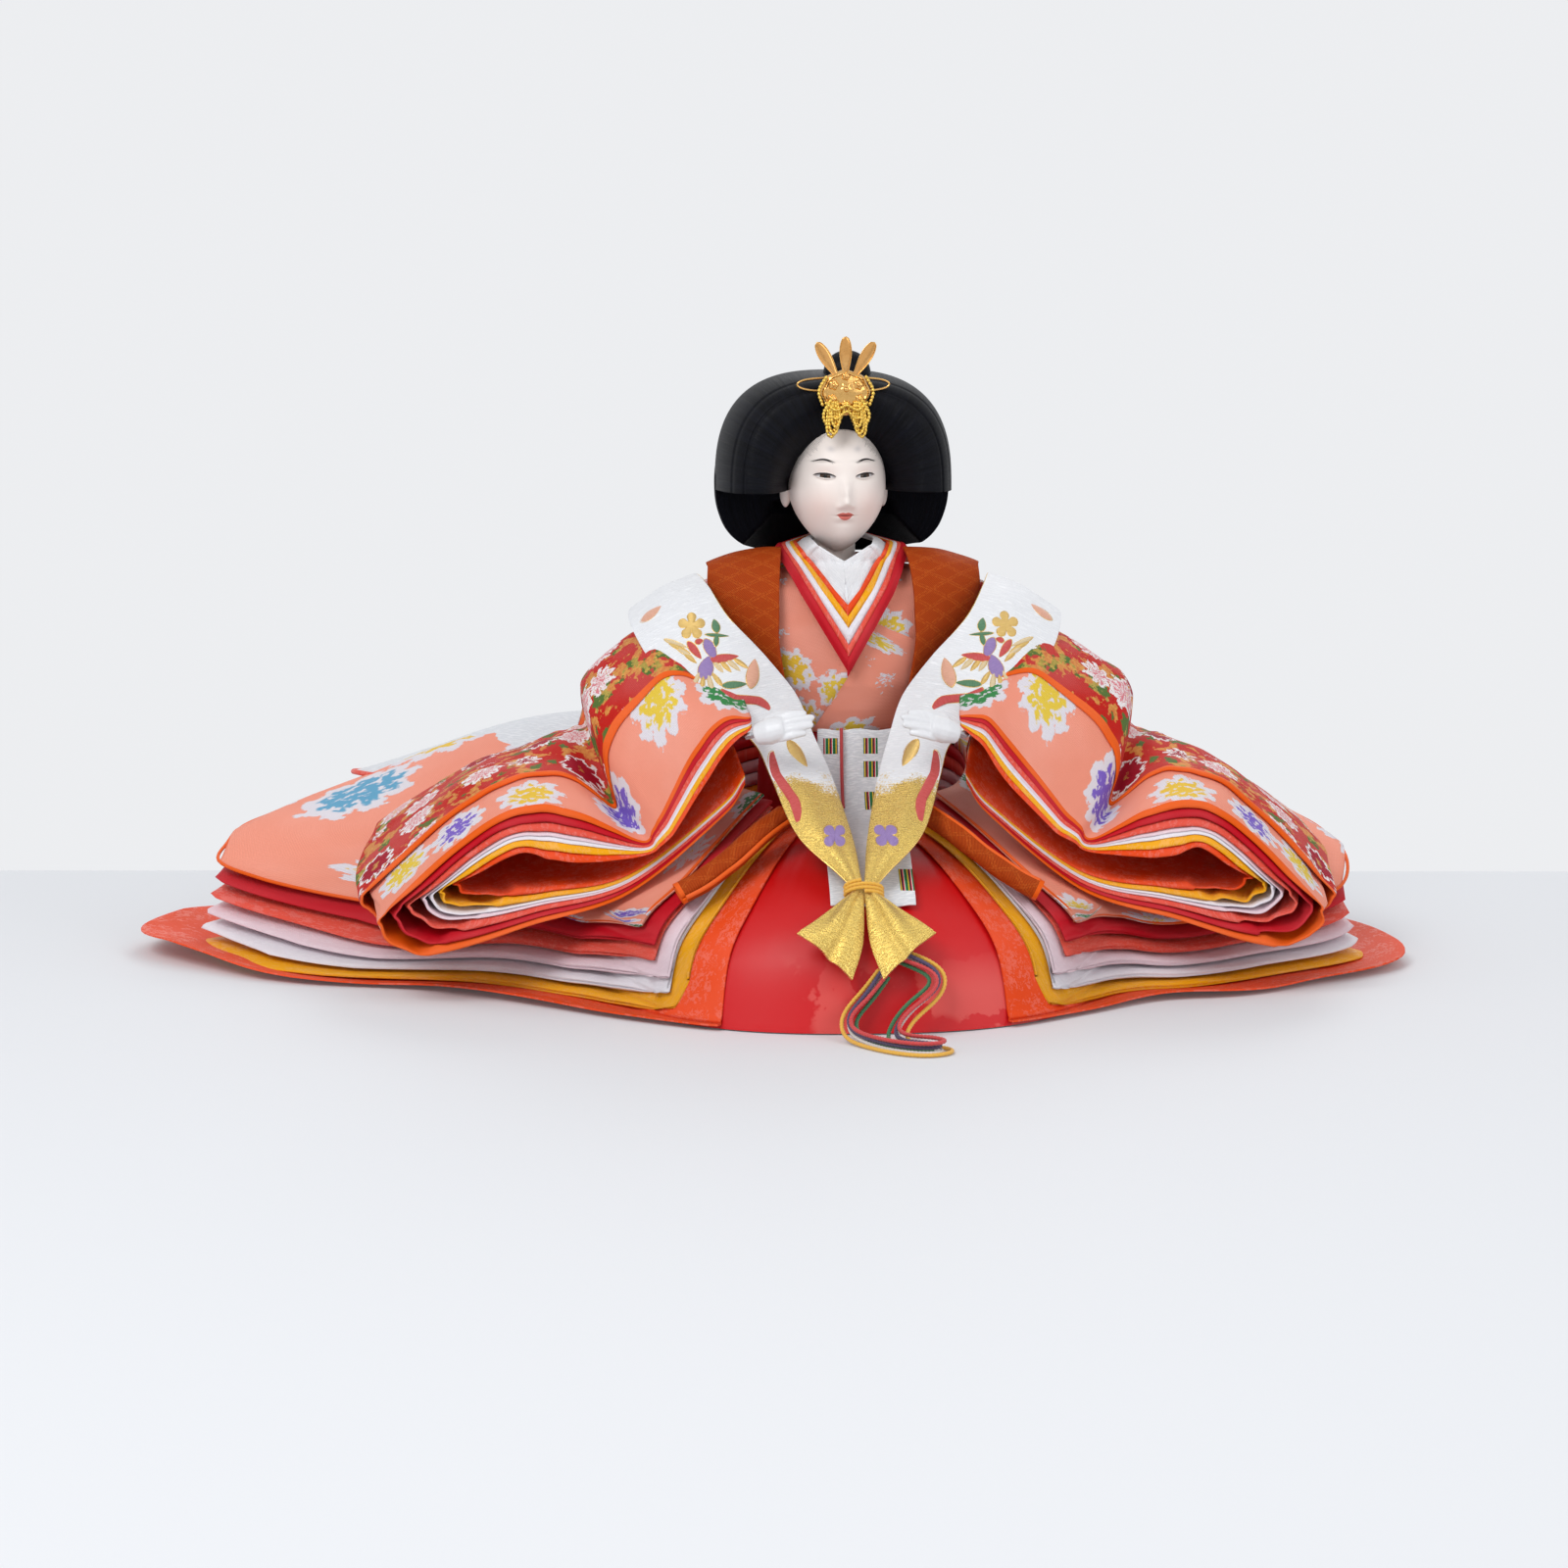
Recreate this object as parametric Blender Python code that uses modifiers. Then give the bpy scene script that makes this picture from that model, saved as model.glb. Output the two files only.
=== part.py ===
"""A seated court-lady festival doll: layered silk robes over a straw body, with a head that lifts and turns.

Metres, +Z up. The doll faces -Y, and the origin is under the neck, on the surface that it stands on.
Left and right are the doll's own, so left is at +X.
"""

import math

import bmesh
import bpy
import numpy as np
from mathutils import Matrix, Vector

# Clearances between pieces
GAP = 0.0004
TOUCH_GAP = 0.0003
FLOOR_GAP = 0.0006
CUT_OVERRUN = 0.002

# Base board and straw body
BOARD_HALF_WIDTH = 0.048
BOARD_HALF_DEPTH = 0.052
BOARD_THICKNESS = 0.0050
BOARD_EDGE_ROUND = 0.0008
CORE_FOOT_RADIUS = 0.0185
CORE_WAIST_RADIUS = 0.0165
CORE_SHOULDER_RADIUS = 0.0128
CORE_WAIST_Z = 0.070
CORE_SHOULDER_Z = 0.110
CORE_TOP = 0.1170
STICK_RADIUS = 0.0022
STICK_IN_BODY = 0.0420
STICK_IN_HEAD = 0.0180

# Lap: the padded red trousers
LAP_CENTRE_Y = -0.020
LAP_HALF_WIDTH = 0.080
LAP_FRONT_DEPTH = 0.099
LAP_BACK_DEPTH = 0.082
LAP_HEIGHT = 0.0500
LAP_PLAN_POWER = 2.4
LAP_SIDE_FALL_SHARE = 0.5
LAP_RING_SHARES = (0.0, 0.50, 0.78, 0.93, 1.0)
LAP_RISE_SHARES = (1.0, 0.92, 0.71, 0.43, 0.0)
TROUSER_CLOTH = 0.0010
WAIST_HALF_WIDTH = 0.0245
WAIST_HALF_DEPTH = 0.0240

# Robe skirts, which lie in a stack round the lap
HEM_HALF_WIDTH = 0.200
HEM_HALF_DEPTH = 0.150
HEM_HEIGHT = 0.050
UNDER_ROBE_CLOTH = 0.0009
SKIRT_GAP_SHARE = 0.16
SKIRT_LEAST_STACK = 0.0072
TRAIN_CLOTH = 0.0010

# Arms
WIRE_RADIUS = 0.0011
SHOULDER_X = 0.030
SHOULDER_Y = 0.0075
SHOULDER_Z = 0.1060
ELBOW_X = 0.0600
ELBOW_Y = -0.0230
ELBOW_Z = 0.0925
WRIST_X = 0.0345
WRIST_Y = -0.0640
WRIST_Z = 0.0815
ARM_ROLL_RADIUS = 0.0040

# Hands
HAND_LENGTH = 0.0195
HAND_WIDTH = 0.0096
HAND_THICKNESS = 0.0046
HAND_WIRE_DEPTH = 0.0050
HAND_HOLE_GAP = 0.0009

# Sleeves: places are shares of the hump's distance out and of the elbow's height
SLEEVE_HUMP_X = 0.100
SLEEVE_ELBOW_Z = 0.100
SLEEVE_MOUTH_Y = -0.070
SLEEVE_FOREARM_Y = -0.050
SLEEVE_UPPER_ARM_Y = -0.028
SLEEVE_BACK_Y = -0.006
SLEEVE_LIP_STEP = 0.0012
SLEEVE_CLOTH = 0.00048
SLEEVE_REST_GAP = 0.0016

# Bodice, jacket and shoulders
TORSO_CENTRE_Y = -0.0070
BODICE_CLOTH = 0.0010
JACKET_CLOTH = 0.0010
COLLAR_CLOTH = 0.0009
HIRE_CLOTH = 0.0010

# Head
HEAD_HALF_WIDTH = 0.0152
HEAD_HALF_DEPTH = 0.0185
HEAD_HALF_HEIGHT = 0.0212
HEAD_CENTRE_Y = -0.0045
HEAD_CENTRE_Z = 0.1520
HEAD_TURN = math.radians(9.0)
CHIN_NARROW_SHARE = 0.34
NECK_RADIUS = 0.0066
EYE_SPACING = 0.0124
EYE_Z = 0.1549
EYE_RADIUS = 0.0026
EYE_INSET = 0.0016

# Hair
HAIR_HALF_WIDTH = 0.0375
HAIR_HALF_DEPTH = 0.0250
HAIR_CENTRE_Y = 0.0045
HAIR_CROWN_Z = 0.1865
HAIR_WING_FOOT_Z = 0.1500
HAIR_LOBE_FOOT_Z = 0.1290
HAIR_LOBE_FRONT_Y = 0.0040
HAIR_FACE_HALF_WIDTH = 0.0160
HAIR_FACE_TOP_Z = 0.1695
HAIR_FACE_REACH_Y = -0.0020
HAIR_NECK_RADIUS = 0.0200
HAIR_NECK_FOOT_RADIUS = 0.0315
HAIR_NECK_TOP_Z = 0.1415
TOPKNOT_RADIUS = 0.0075
TOPKNOT_Z = 0.1855
TOPKNOT_Y = -0.0040
TAIL_HALF_WIDTH = 0.0080
TAIL_THICKNESS = 0.0042
TAIL_FRONT_Y = 0.0262
TAIL_TOP_Z = 0.1480
TAIL_FOOT_Z = 0.0920

# Gold hair ornament
PLATE_HALF_WIDTH = 0.0076
PLATE_HALF_HEIGHT = 0.0068
PLATE_THICKNESS = 0.0020
PLATE_Y = -0.0208
PLATE_Z = 0.1787
PRONG_LENGTH = 0.0115
PRONG_HALF_WIDTH = 0.0017
PRONG_THICKNESS = 0.0008
PRONG_SPREAD = math.radians(33.0)
PLATE_PIN_RADIUS = 0.0007
PIN_WIRE_RADIUS = 0.0006
PIN_HALF_LENGTH = 0.0143
PIN_HALF_HEIGHT = 0.0020
PIN_Z = 0.1811
LACE_RADIUS = 0.0008
LACE_DROP = 0.0115

# Collar bands round the neck
COLLAR_SIDE_Z = 0.1330
COLLAR_BACK_Z = 0.1360
COLLAR_BACK_Y = 0.0118

# Tying cords
CORD_RADIUS = 0.00065

PART = "hina_doll"


def clear_scene():
    for item in list(bpy.data.objects):
        bpy.data.objects.remove(item, do_unlink=True)


def new_collection(name):
    found = bpy.data.collections.new(name)
    bpy.context.scene.collection.children.link(found)
    return found


clear_scene()
PARTS = new_collection(PART)
CUTTERS = new_collection(PART + "_cutters")


def material(name, colour, roughness, metallic=0.0):
    """One Principled material for one sub-part."""
    made = bpy.data.materials.new(name)
    made.use_nodes = True
    shader = made.node_tree.nodes["Principled BSDF"]
    shader.inputs["Base Color"].default_value = (*colour, 1.0)
    shader.inputs["Roughness"].default_value = roughness
    shader.inputs["Metallic"].default_value = metallic
    made.diffuse_color = (*colour, 1.0)
    return made


def add_part(name, mesh, look, smooth=True):
    """Put a mesh in the part's collection with its own material."""
    item = bpy.data.objects.new(name, mesh)
    PARTS.objects.link(item)
    mesh.materials.clear()
    mesh.materials.append(material(name, *look))
    if smooth:
        mesh.shade_smooth()
        mesh.set_sharp_from_angle(angle=math.radians(50.0))
    return item


def mesh_from(bm, name):
    mesh = bpy.data.meshes.new(name)
    bm.to_mesh(mesh)
    bm.free()
    return mesh


def smooth_path(points, samples):
    """Even points on a smooth curve through the given points."""
    found = [Vector(p) for p in points]
    ends = [found[0] * 2 - found[1]] + found + [found[-1] * 2 - found[-2]]
    fine = []
    steps = 12
    for i in range(1, len(ends) - 2):
        a, b, c, d = ends[i - 1:i + 3]
        for k in range(steps):
            t = k / steps
            fine.append(0.5 * ((2 * b) + (c - a) * t + (2 * a - 5 * b + 4 * c - d) * t ** 2
                               + (3 * b - a - 3 * c + d) * t ** 3))
    fine.append(found[-1])
    lengths = [0.0]
    for p, q in zip(fine, fine[1:]):
        lengths.append(lengths[-1] + (q - p).length)
    wanted = [lengths[-1] * k / (samples - 1) for k in range(samples)]
    out = []
    j = 0
    for w in wanted:
        while j < len(lengths) - 2 and lengths[j + 1] < w:
            j += 1
        span = lengths[j + 1] - lengths[j]
        out.append(fine[j].lerp(fine[j + 1], (w - lengths[j]) / span))
    return out


def tube_object(name, points, radius, closed=False, resolution=2):
    """A wire or cord: a poly curve with a round bevel and filled ends."""
    curve = bpy.data.curves.new(name, "CURVE")
    curve.dimensions = "3D"
    curve.bevel_depth = radius
    curve.bevel_resolution = resolution
    curve.use_fill_caps = not closed
    spline = curve.splines.new("POLY")
    spline.points.add(len(points) - 1)
    for point, place in zip(spline.points, points):
        point.co = (*place, 1.0)
    spline.use_cyclic_u = closed
    return bpy.data.objects.new(name, curve)


def tube_mesh(name, points, radius, closed=False, resolution=2):
    """The same tube as a welded mesh, for cuts and unions."""
    item = tube_object(name, points, radius, closed, resolution)
    bpy.context.scene.collection.objects.link(item)
    graph = bpy.context.evaluated_depsgraph_get()
    mesh = bpy.data.meshes.new_from_object(item.evaluated_get(graph))
    bpy.data.objects.remove(item, do_unlink=True)
    bm = bmesh.new()
    bm.from_mesh(mesh)
    bmesh.ops.remove_doubles(bm, verts=bm.verts, dist=radius / 1000)
    bm.to_mesh(mesh)
    bm.free()
    return mesh


def add_tube(name, points, radius, look, closed=False, resolution=2):
    item = tube_object(name, points, radius, closed, resolution)
    PARTS.objects.link(item)
    item.data.materials.append(material(name, *look))
    return item


def add_cutter(name, mesh):
    item = bpy.data.objects.new(name, mesh)
    CUTTERS.objects.link(item)
    item.hide_render = True
    item.display_type = "WIRE"
    return item


def boolean(item, other, operation):
    change = item.modifiers.new(operation.lower(), "BOOLEAN")
    change.operation = operation
    change.object = other


def sheet_mesh(name, upper, lower, ring=False):
    """A closed solid between two grids of points, a loft between unlike surfaces.

    A ring's last row joins its first.
    """
    bm = bmesh.new()
    rows = len(upper)
    cols = len(upper[0])
    top = [[bm.verts.new(p) for p in row] for row in upper]
    under = [[bm.verts.new(p) for p in row] for row in lower]

    def quad(a, b, c, d):
        bm.faces.new((a, b, c))
        bm.faces.new((a, c, d))

    last = rows if ring else rows - 1
    for i in range(last):
        k = (i + 1) % rows
        for j in range(cols - 1):
            quad(top[i][j], top[k][j], top[k][j + 1], top[i][j + 1])
            quad(under[i][j], under[i][j + 1], under[k][j + 1], under[k][j])
        quad(top[i][0], under[i][0], under[k][0], top[k][0])
        quad(top[i][-1], top[k][-1], under[k][-1], under[i][-1])
    if not ring:
        for j in range(cols - 1):
            quad(top[0][j], top[0][j + 1], under[0][j + 1], under[0][j])
            quad(top[-1][j], under[-1][j], under[-1][j + 1], top[-1][j + 1])
    bmesh.ops.remove_doubles(bm, verts=bm.verts, dist=GAP / 100)
    bmesh.ops.dissolve_degenerate(bm, edges=bm.edges, dist=GAP / 100)
    bmesh.ops.triangulate(bm, faces=bm.faces)
    bmesh.ops.recalc_face_normals(bm, faces=bm.faces)
    return mesh_from(bm, name)


def cloth_object(name, grid, thickness, look, ring=False, offset=-1.0):
    """An open cloth surface given its thickness by Solidify."""
    bm = bmesh.new()
    cols = len(grid[0])
    verts = [[bm.verts.new(p) for p in row] for row in grid]
    last = cols if ring else cols - 1
    for i in range(len(grid) - 1):
        for j in range(last):
            k = (j + 1) % cols
            bm.faces.new((verts[i][j], verts[i + 1][j], verts[i + 1][k], verts[i][k]))
    item = add_part(name, mesh_from(bm, name), look)
    shell = item.modifiers.new("cloth", "SOLIDIFY")
    shell.thickness = thickness
    shell.offset = offset
    return item


# Looks: colour, roughness and metallic value of each kind of cloth and fitting
RED_BROCADE = ((0.60, 0.02, 0.015), 0.55)
PINK_BROCADE = ((0.87, 0.38, 0.30), 0.60)
RUST_SILK = ((0.50, 0.075, 0.006), 0.60)
ORANGE_SILK = ((0.82, 0.065, 0.008), 0.60)
YELLOW_SILK = ((0.90, 0.42, 0.0), 0.55)
WHITE_SILK = ((0.86, 0.82, 0.86), 0.55)
PALE_PINK_SILK = ((0.86, 0.72, 0.78), 0.55)
CORAL_SILK = ((0.80, 0.10, 0.06), 0.60)
CRIMSON_SILK = ((0.58, 0.005, 0.02), 0.60)
RED_SATIN = ((0.62, 0.008, 0.012), 0.35)
FIGURED_SILK = ((0.86, 0.87, 0.90), 0.50)
GOLD = ((0.85, 0.52, 0.10), 0.25, 1.0)
PORCELAIN = ((0.88, 0.80, 0.77), 0.45)
HAND_WHITE = ((0.85, 0.83, 0.84), 0.35)
HAIR_BLACK = ((0.006, 0.006, 0.010), 0.35)
EYE_GLASS = ((0.02, 0.012, 0.008), 0.05)
STRAW = ((0.55, 0.42, 0.20), 0.85)
COTTON = ((0.80, 0.78, 0.74), 0.90)
BOARD_WOOD = ((0.62, 0.44, 0.25), 0.65)
STEEL_WIRE = ((0.45, 0.45, 0.47), 0.35, 1.0)
STICK_WOOD = ((0.70, 0.52, 0.30), 0.60)
YELLOW_THREAD = ((0.90, 0.60, 0.02), 0.60)

# The stack's outline, from the front round the left side, as shares of the side and back reaches
STACK_EDGE_SHARES = (
    (0.0, -0.80), (0.12, -0.795), (0.22, -0.74), (0.34, -0.62), (0.455, -0.50), (0.58, -0.46),
    (0.70, -0.36), (0.885, -0.14), (0.86, 0.24), (0.76, 0.64), (0.56, 0.96), (0.28, 1.09),
    (0.0, 1.11), (-0.30, 1.09), (-0.60, 0.97), (-0.875, 0.70), (-1.06, 0.42), (-1.115, 0.15),
    (-0.985, -0.08), (-0.855, -0.22), (-0.655, -0.31), (-0.485, -0.48), (-0.35, -0.63),
    (-0.22, -0.745), (-0.12, -0.795))

# Heights of the top of the stack, at places on it: shares of side reach, back reach and stack height
STACK_TOP_SHARES = (
    (0.13, 0.0, 1.48), (-0.13, 0.0, 1.48), (0.0, 0.18, 1.50), (0.06, -0.15, 1.34), (-0.06, -0.15, 1.34),
    (0.11, -0.52, 1.06), (-0.11, -0.52, 1.06), (0.0, -0.80, 0.50), (0.255, -0.50, 0.80),
    (-0.255, -0.50, 0.78), (0.32, -0.57, 0.62), (-0.32, -0.57, 0.62), (0.49, -0.42, 0.40),
    (-0.49, -0.42, 0.38), (0.65, -0.30, 0.40), (-0.65, -0.24, 0.38), (0.75, -0.07, 0.56),
    (-0.75, -0.07, 0.50), (-0.87, 0.13, 0.68), (0.835, 0.10, 0.78), (-0.985, 0.28, 0.83),
    (0.70, 0.40, 0.98), (-0.80, 0.40, 0.98), (0.56, 0.47, 1.20), (-0.69, 0.47, 1.13),
    (-0.56, 0.47, 1.22), (0.30, 0.50, 1.32), (-0.30, 0.50, 1.32), (0.42, 0.05, 1.02),
    (-0.42, 0.05, 1.02), (0.0, 0.60, 1.26), (0.50, 0.87, 0.84), (-0.60, 0.87, 0.86),
    (0.0, 1.0, 0.86), (0.25, -0.10, 1.20), (-0.25, -0.10, 1.20))


def thin_plate_heights(places):
    """A smooth height surface through the given places, as a function of two shares."""
    xy = np.array([(p[0], p[1]) for p in places])
    z = np.array([p[2] for p in places])

    def kernel(a, b):
        d2 = ((a[:, None, :] - b[None, :, :]) ** 2).sum(axis=2)
        return np.where(d2 > 0, d2 * np.log(np.maximum(d2, 1e-12)), 0.0)

    count = len(z)
    flat = np.hstack([np.ones((count, 1)), xy])
    system = np.zeros((count + 3, count + 3))
    system[:count, :count] = kernel(xy, xy) + 0.01 * np.eye(count)
    system[:count, count:] = flat
    system[count:, :count] = flat.T
    weights = np.linalg.solve(system, np.concatenate([z, np.zeros(3)]))

    def height(x, y):
        at = np.array([[x, y]])
        return float(kernel(at, xy)[0] @ weights[:count] + weights[count:] @ (1.0, x, y))

    return height


STACK_HEIGHT_AT = thin_plate_heights(STACK_TOP_SHARES)


def stack_top(x, y):
    """Height of the robe stack's upper face over the floor at a place."""
    return HEM_HEIGHT * STACK_HEIGHT_AT(x / HEM_HALF_WIDTH, y / HEM_HALF_DEPTH)


# Columns of the stack's grid: station along its outline, then the rings that the lowest and top robes reach
STATIONS = len(STACK_EDGE_SHARES)
COLUMN_TABLE = (
    (0, 0, 0), (0.7, 0, 0), (1.4, 0, 0), (1.95, 0, 0), (2.4, 3.43, 3.29), (2.6, 4.16, 3.64),
    (2.8, 5.07, 3.86), (3, 5.45, 4), (3.4, 5.91, 4.8), (4, 6.27, 5.57), (6, 6.71, 6.22),
    (7, 6.78, 6.49), (7.6, 6.64, 6.82), (8.6, 6.64, 6.64), (9.8, 6.64, 6.64), (11.1, 6.64, 6.64),
    (13.9, 6.64, 6.64), (15.2, 6.64, 6.64), (16.4, 6.64, 6.72), (17.2, 6.75, 6.53), (18, 6.94, 6.25),
    (19, 6.82, 6.16), (21, 6.27, 5.57), (21.6, 5.91, 4.8), (22, 5.45, 4), (22.2, 5.07, 3.86),
    (22.4, 4.16, 3.64), (22.6, 3.43, 3.29), (23.05, 0, 0), (23.6, 0, 0), (24.3, 0, 0))
OUTER_RING_SHARES = (0.10, 0.45, 1.0)
LAP_RINGS = len(LAP_RING_SHARES)
SWEEP_SHARES = (0.45, 0.58, 0.79, 0.97, 1.0)
SWEEP_REACH = 4.0


def edge_at(station):
    """A place on the stack's outline, on a smooth closed curve through its stations."""
    count = STATIONS
    i = int(math.floor(station)) % count
    t = station - math.floor(station)
    a, b, c, d = [Vector((*STACK_EDGE_SHARES[(i + k) % count], 0.0)) for k in (-1, 0, 1, 2)]
    p = 0.5 * ((2 * b) + (c - a) * t + (2 * a - 5 * b + 4 * c - d) * t ** 2
               + (3 * b - a - 3 * c + d) * t ** 3)
    return Vector((p.x * HEM_HALF_WIDTH, p.y * HEM_HALF_DEPTH, 0.0))


def lap_edge(station):
    """Where the lap meets the floor, on the way from its centre to the stack's outline."""
    way = edge_at(station) - Vector((0.0, LAP_CENTRE_Y, 0.0))
    reach = LAP_FRONT_DEPTH if way.y < 0 else LAP_BACK_DEPTH
    size = (abs(way.x / LAP_HALF_WIDTH) ** LAP_PLAN_POWER
            + abs(way.y / reach) ** LAP_PLAN_POWER) ** (1 / LAP_PLAN_POWER)
    return Vector((0.0, LAP_CENTRE_Y, 0.0)) + way * min(1.0 / size, 0.995)


def waist_edge(station):
    way = edge_at(station) - Vector((0.0, LAP_CENTRE_Y, 0.0))
    angle = math.atan2(way.y, way.x)
    return Vector((WAIST_HALF_WIDTH * math.cos(angle), WAIST_HALF_DEPTH * math.sin(angle), 0.0))


def swept(station, ring):
    """Front columns lean toward the middle near the waist, as the robes' front edges do."""
    share = SWEEP_SHARES[min(ring, len(SWEEP_SHARES) - 1)]
    if station < SWEEP_REACH:
        lean = share + (1 - share) * station / SWEEP_REACH
        return station * lean
    if station > STATIONS - SWEEP_REACH:
        back = STATIONS - station
        lean = share + (1 - share) * back / SWEEP_REACH
        return STATIONS - back * lean
    return station


def plan_place(station, ring):
    """Plan place of a whole-numbered ring on a column."""
    at = swept(station, ring)
    if ring < LAP_RINGS:
        return waist_edge(at).lerp(lap_edge(at), LAP_RING_SHARES[ring])
    return lap_edge(station).lerp(edge_at(station), OUTER_RING_SHARES[ring - LAP_RINGS])


def lap_height(x, ring):
    """Height of the padded lap on a ring, lower toward its sides."""
    if ring >= LAP_RINGS:
        return 0.0
    fall = 1.0 - LAP_SIDE_FALL_SHARE * (x / LAP_HALF_WIDTH) ** 2
    return LAP_HEIGHT * LAP_RISE_SHARES[ring] * fall


def stack_levels(station, ring):
    """Plan place and the heights that bound each layer there, from trousers to top robe."""
    p = plan_place(station, ring)
    lap = max(lap_height(p.x, ring), FLOOR_GAP)
    trousers = lap + TROUSER_CLOTH
    under_base = trousers + GAP if ring < LAP_RINGS else FLOOR_GAP
    under = under_base + UNDER_ROBE_CLOTH
    base = under + GAP
    top = max(stack_top(p.x, p.y), base + SKIRT_LEAST_STACK)
    return p, lap, trousers, under_base, under, base, top


def ring_point(station, ring, pick):
    """A point at a ring that may lie between two whole rings."""
    low = int(math.floor(ring))
    share = ring - low
    first = stack_levels(station, low)
    a = Vector((first[0].x, first[0].y, pick(first)))
    if share < 0.001:
        return a
    second = stack_levels(station, low + 1)
    b = Vector((second[0].x, second[0].y, pick(second)))
    return a.lerp(b, share)


def skirt_object(name, look, columns, ends, lower, upper, ring=False, start_ring=0):
    """One robe layer: a solid over the shared grid, each column ending at its own ring."""
    top_rows = []
    under_rows = []
    for station, end in zip(columns, ends):
        rows = int(math.ceil(max(ends)))
        top_rows.append([ring_point(station, min(k, end), upper) for k in range(start_ring, rows + 1)])
        under_rows.append([ring_point(station, min(k, end), lower) for k in range(start_ring, rows + 1)])
    return add_part(name, sheet_mesh(name, top_rows, under_rows, ring), look)


LAYER_STARTS = {"hem_orange": 3, "hem_yellow": 4, "hem_white": 5, "hem_pale_pink": 5,
                "hem_coral": 6, "hem_crimson": 6, "hem_brocade": 7}
SKIRTS = (("hem_yellow", YELLOW_SILK), ("hem_white", WHITE_SILK), ("hem_pale_pink", PALE_PINK_SILK),
          ("hem_coral", CORAL_SILK), ("hem_crimson", CRIMSON_SILK), ("hem_brocade", PINK_BROCADE))


def build_skirts():
    """Trousers over the lap, the orange under-robe on the floor and six robes stacked on it."""
    lap_end = LAP_RINGS - 1
    stations = [row[0] for row in COLUMN_TABLE]
    skirt_object("hakama", RED_SATIN, stations, [lap_end] * len(stations),
                 lambda level: level[1], lambda level: level[2], ring=True)
    start = LAYER_STARTS["hem_orange"]
    inner = stations[start:len(stations) - start + 1]
    skirt_object("hem_orange", ORANGE_SILK, inner, [lap_end + len(OUTER_RING_SHARES)] * len(inner),
                 lambda level: level[3], lambda level: level[4])
    count = len(SKIRTS)
    for k, (name, look) in enumerate(SKIRTS):
        start = LAYER_STARTS[name]
        rows = COLUMN_TABLE[start:len(COLUMN_TABLE) - start + 1]
        share = k / (count - 1)

        def lower(level, k=k):
            return level[5] + (level[6] - level[5]) * k / count

        def upper(level, k=k):
            pitch = (level[6] - level[5]) / count
            return level[5] + pitch * (k + 1) - max(GAP, pitch * SKIRT_GAP_SHARE)

        hidden = 0 if k in (0, count - 1) else 1
        skirt_object(name, look, [row[0] for row in rows],
                     [row[1] + (row[2] - row[1]) * share for row in rows], lower, upper, start_ring=hidden)


TRAIN_COLUMNS = (9.8, 11.1, 13.9, 15.2)
TRAIN_END_RING = 6.85
TRAIN_GAP = 0.0003


def robe_top(level):
    """Upper face of the top robe."""
    pitch = (level[6] - level[5]) / len(SKIRTS)
    return level[6] - max(GAP, pitch * SKIRT_GAP_SHARE)


def build_train():
    """The white pleated train, which lies on the robes behind."""
    skirt_object("mo_train", FIGURED_SILK, TRAIN_COLUMNS, [TRAIN_END_RING] * len(TRAIN_COLUMNS),
                 lambda level: robe_top(level) + TRAIN_GAP,
                 lambda level: robe_top(level) + TRAIN_GAP + TRAIN_CLOTH, start_ring=1)


def build_lap_pad():
    """The wood-wool pad that fills the trousers, round the foot of the body."""
    stations = [row[0] for row in COLUMN_TABLE[::2]]
    foot = BOARD_THICKNESS + GAP
    top_rows = []
    under_rows = []
    for station in stations:
        tops = []
        unders = []
        for ring in range(LAP_RINGS - 1):
            p = plan_place(station, ring)
            z = lap_height(p.x, ring) - GAP
            tops.append(Vector((p.x, p.y, z)))
            unders.append(Vector((p.x, p.y, foot)))
        top_rows.append(tops)
        under_rows.append(unders)
    return add_part("lap_pad", sheet_mesh("lap_pad", top_rows, under_rows, ring=True), COTTON)


# Body
def cone_mesh(name, foot_radius, top_radius, low, high, sides=24):
    bm = bmesh.new()
    bmesh.ops.create_cone(bm, cap_ends=True, segments=sides, radius1=foot_radius, radius2=top_radius,
                          depth=high - low, matrix=Matrix.Translation((0.0, 0.0, (low + high) / 2)))
    return mesh_from(bm, name)


def cylinder_mesh(name, radius, low, high, sides=24):
    return cone_mesh(name, radius, radius, low, high, sides)


def turned(name, profile, look, steps=16):
    """A turned shape: a profile in the XZ plane, spun about Z."""
    bm = bmesh.new()
    verts = [bm.verts.new((r, 0.0, z)) for r, z in profile]
    for a, b in zip(verts, verts[1:]):
        bm.edges.new((a, b))
    item = add_part(name, mesh_from(bm, name), look, smooth=False)
    spin = item.modifiers.new("turn", "SCREW")
    spin.steps = steps
    spin.render_steps = steps
    spin.use_merge_vertices = True
    spin.merge_threshold = 0.00001
    return item


def arm_path(side):
    """The arm wire from the middle of the body to the hand on one side."""
    points = ((0.0, SHOULDER_Y, SHOULDER_Z),
              (side * SHOULDER_X * 0.55, SHOULDER_Y, SHOULDER_Z),
              (side * SHOULDER_X, SHOULDER_Y * 0.85, SHOULDER_Z),
              (side * (SHOULDER_X + ELBOW_X) / 2, (SHOULDER_Y + ELBOW_Y) / 2.6, (SHOULDER_Z + ELBOW_Z) / 2),
              (side * ELBOW_X, ELBOW_Y, ELBOW_Z),
              (side * (ELBOW_X + WRIST_X) / 2, (ELBOW_Y + WRIST_Y) / 2, (ELBOW_Z + WRIST_Z) / 2),
              (side * WRIST_X, WRIST_Y, WRIST_Z))
    return points


def wrist_frame(side):
    """Where the wire enters the hand, and the way the hand points."""
    way = Vector((-side * 0.94, -0.20, 0.26)).normalized()
    entry = Vector((side * (WRIST_X - WRIST_ENTRY_IN), WRIST_Y - WRIST_ENTRY_FORWARD, WRIST_Z))
    return entry, way


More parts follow.
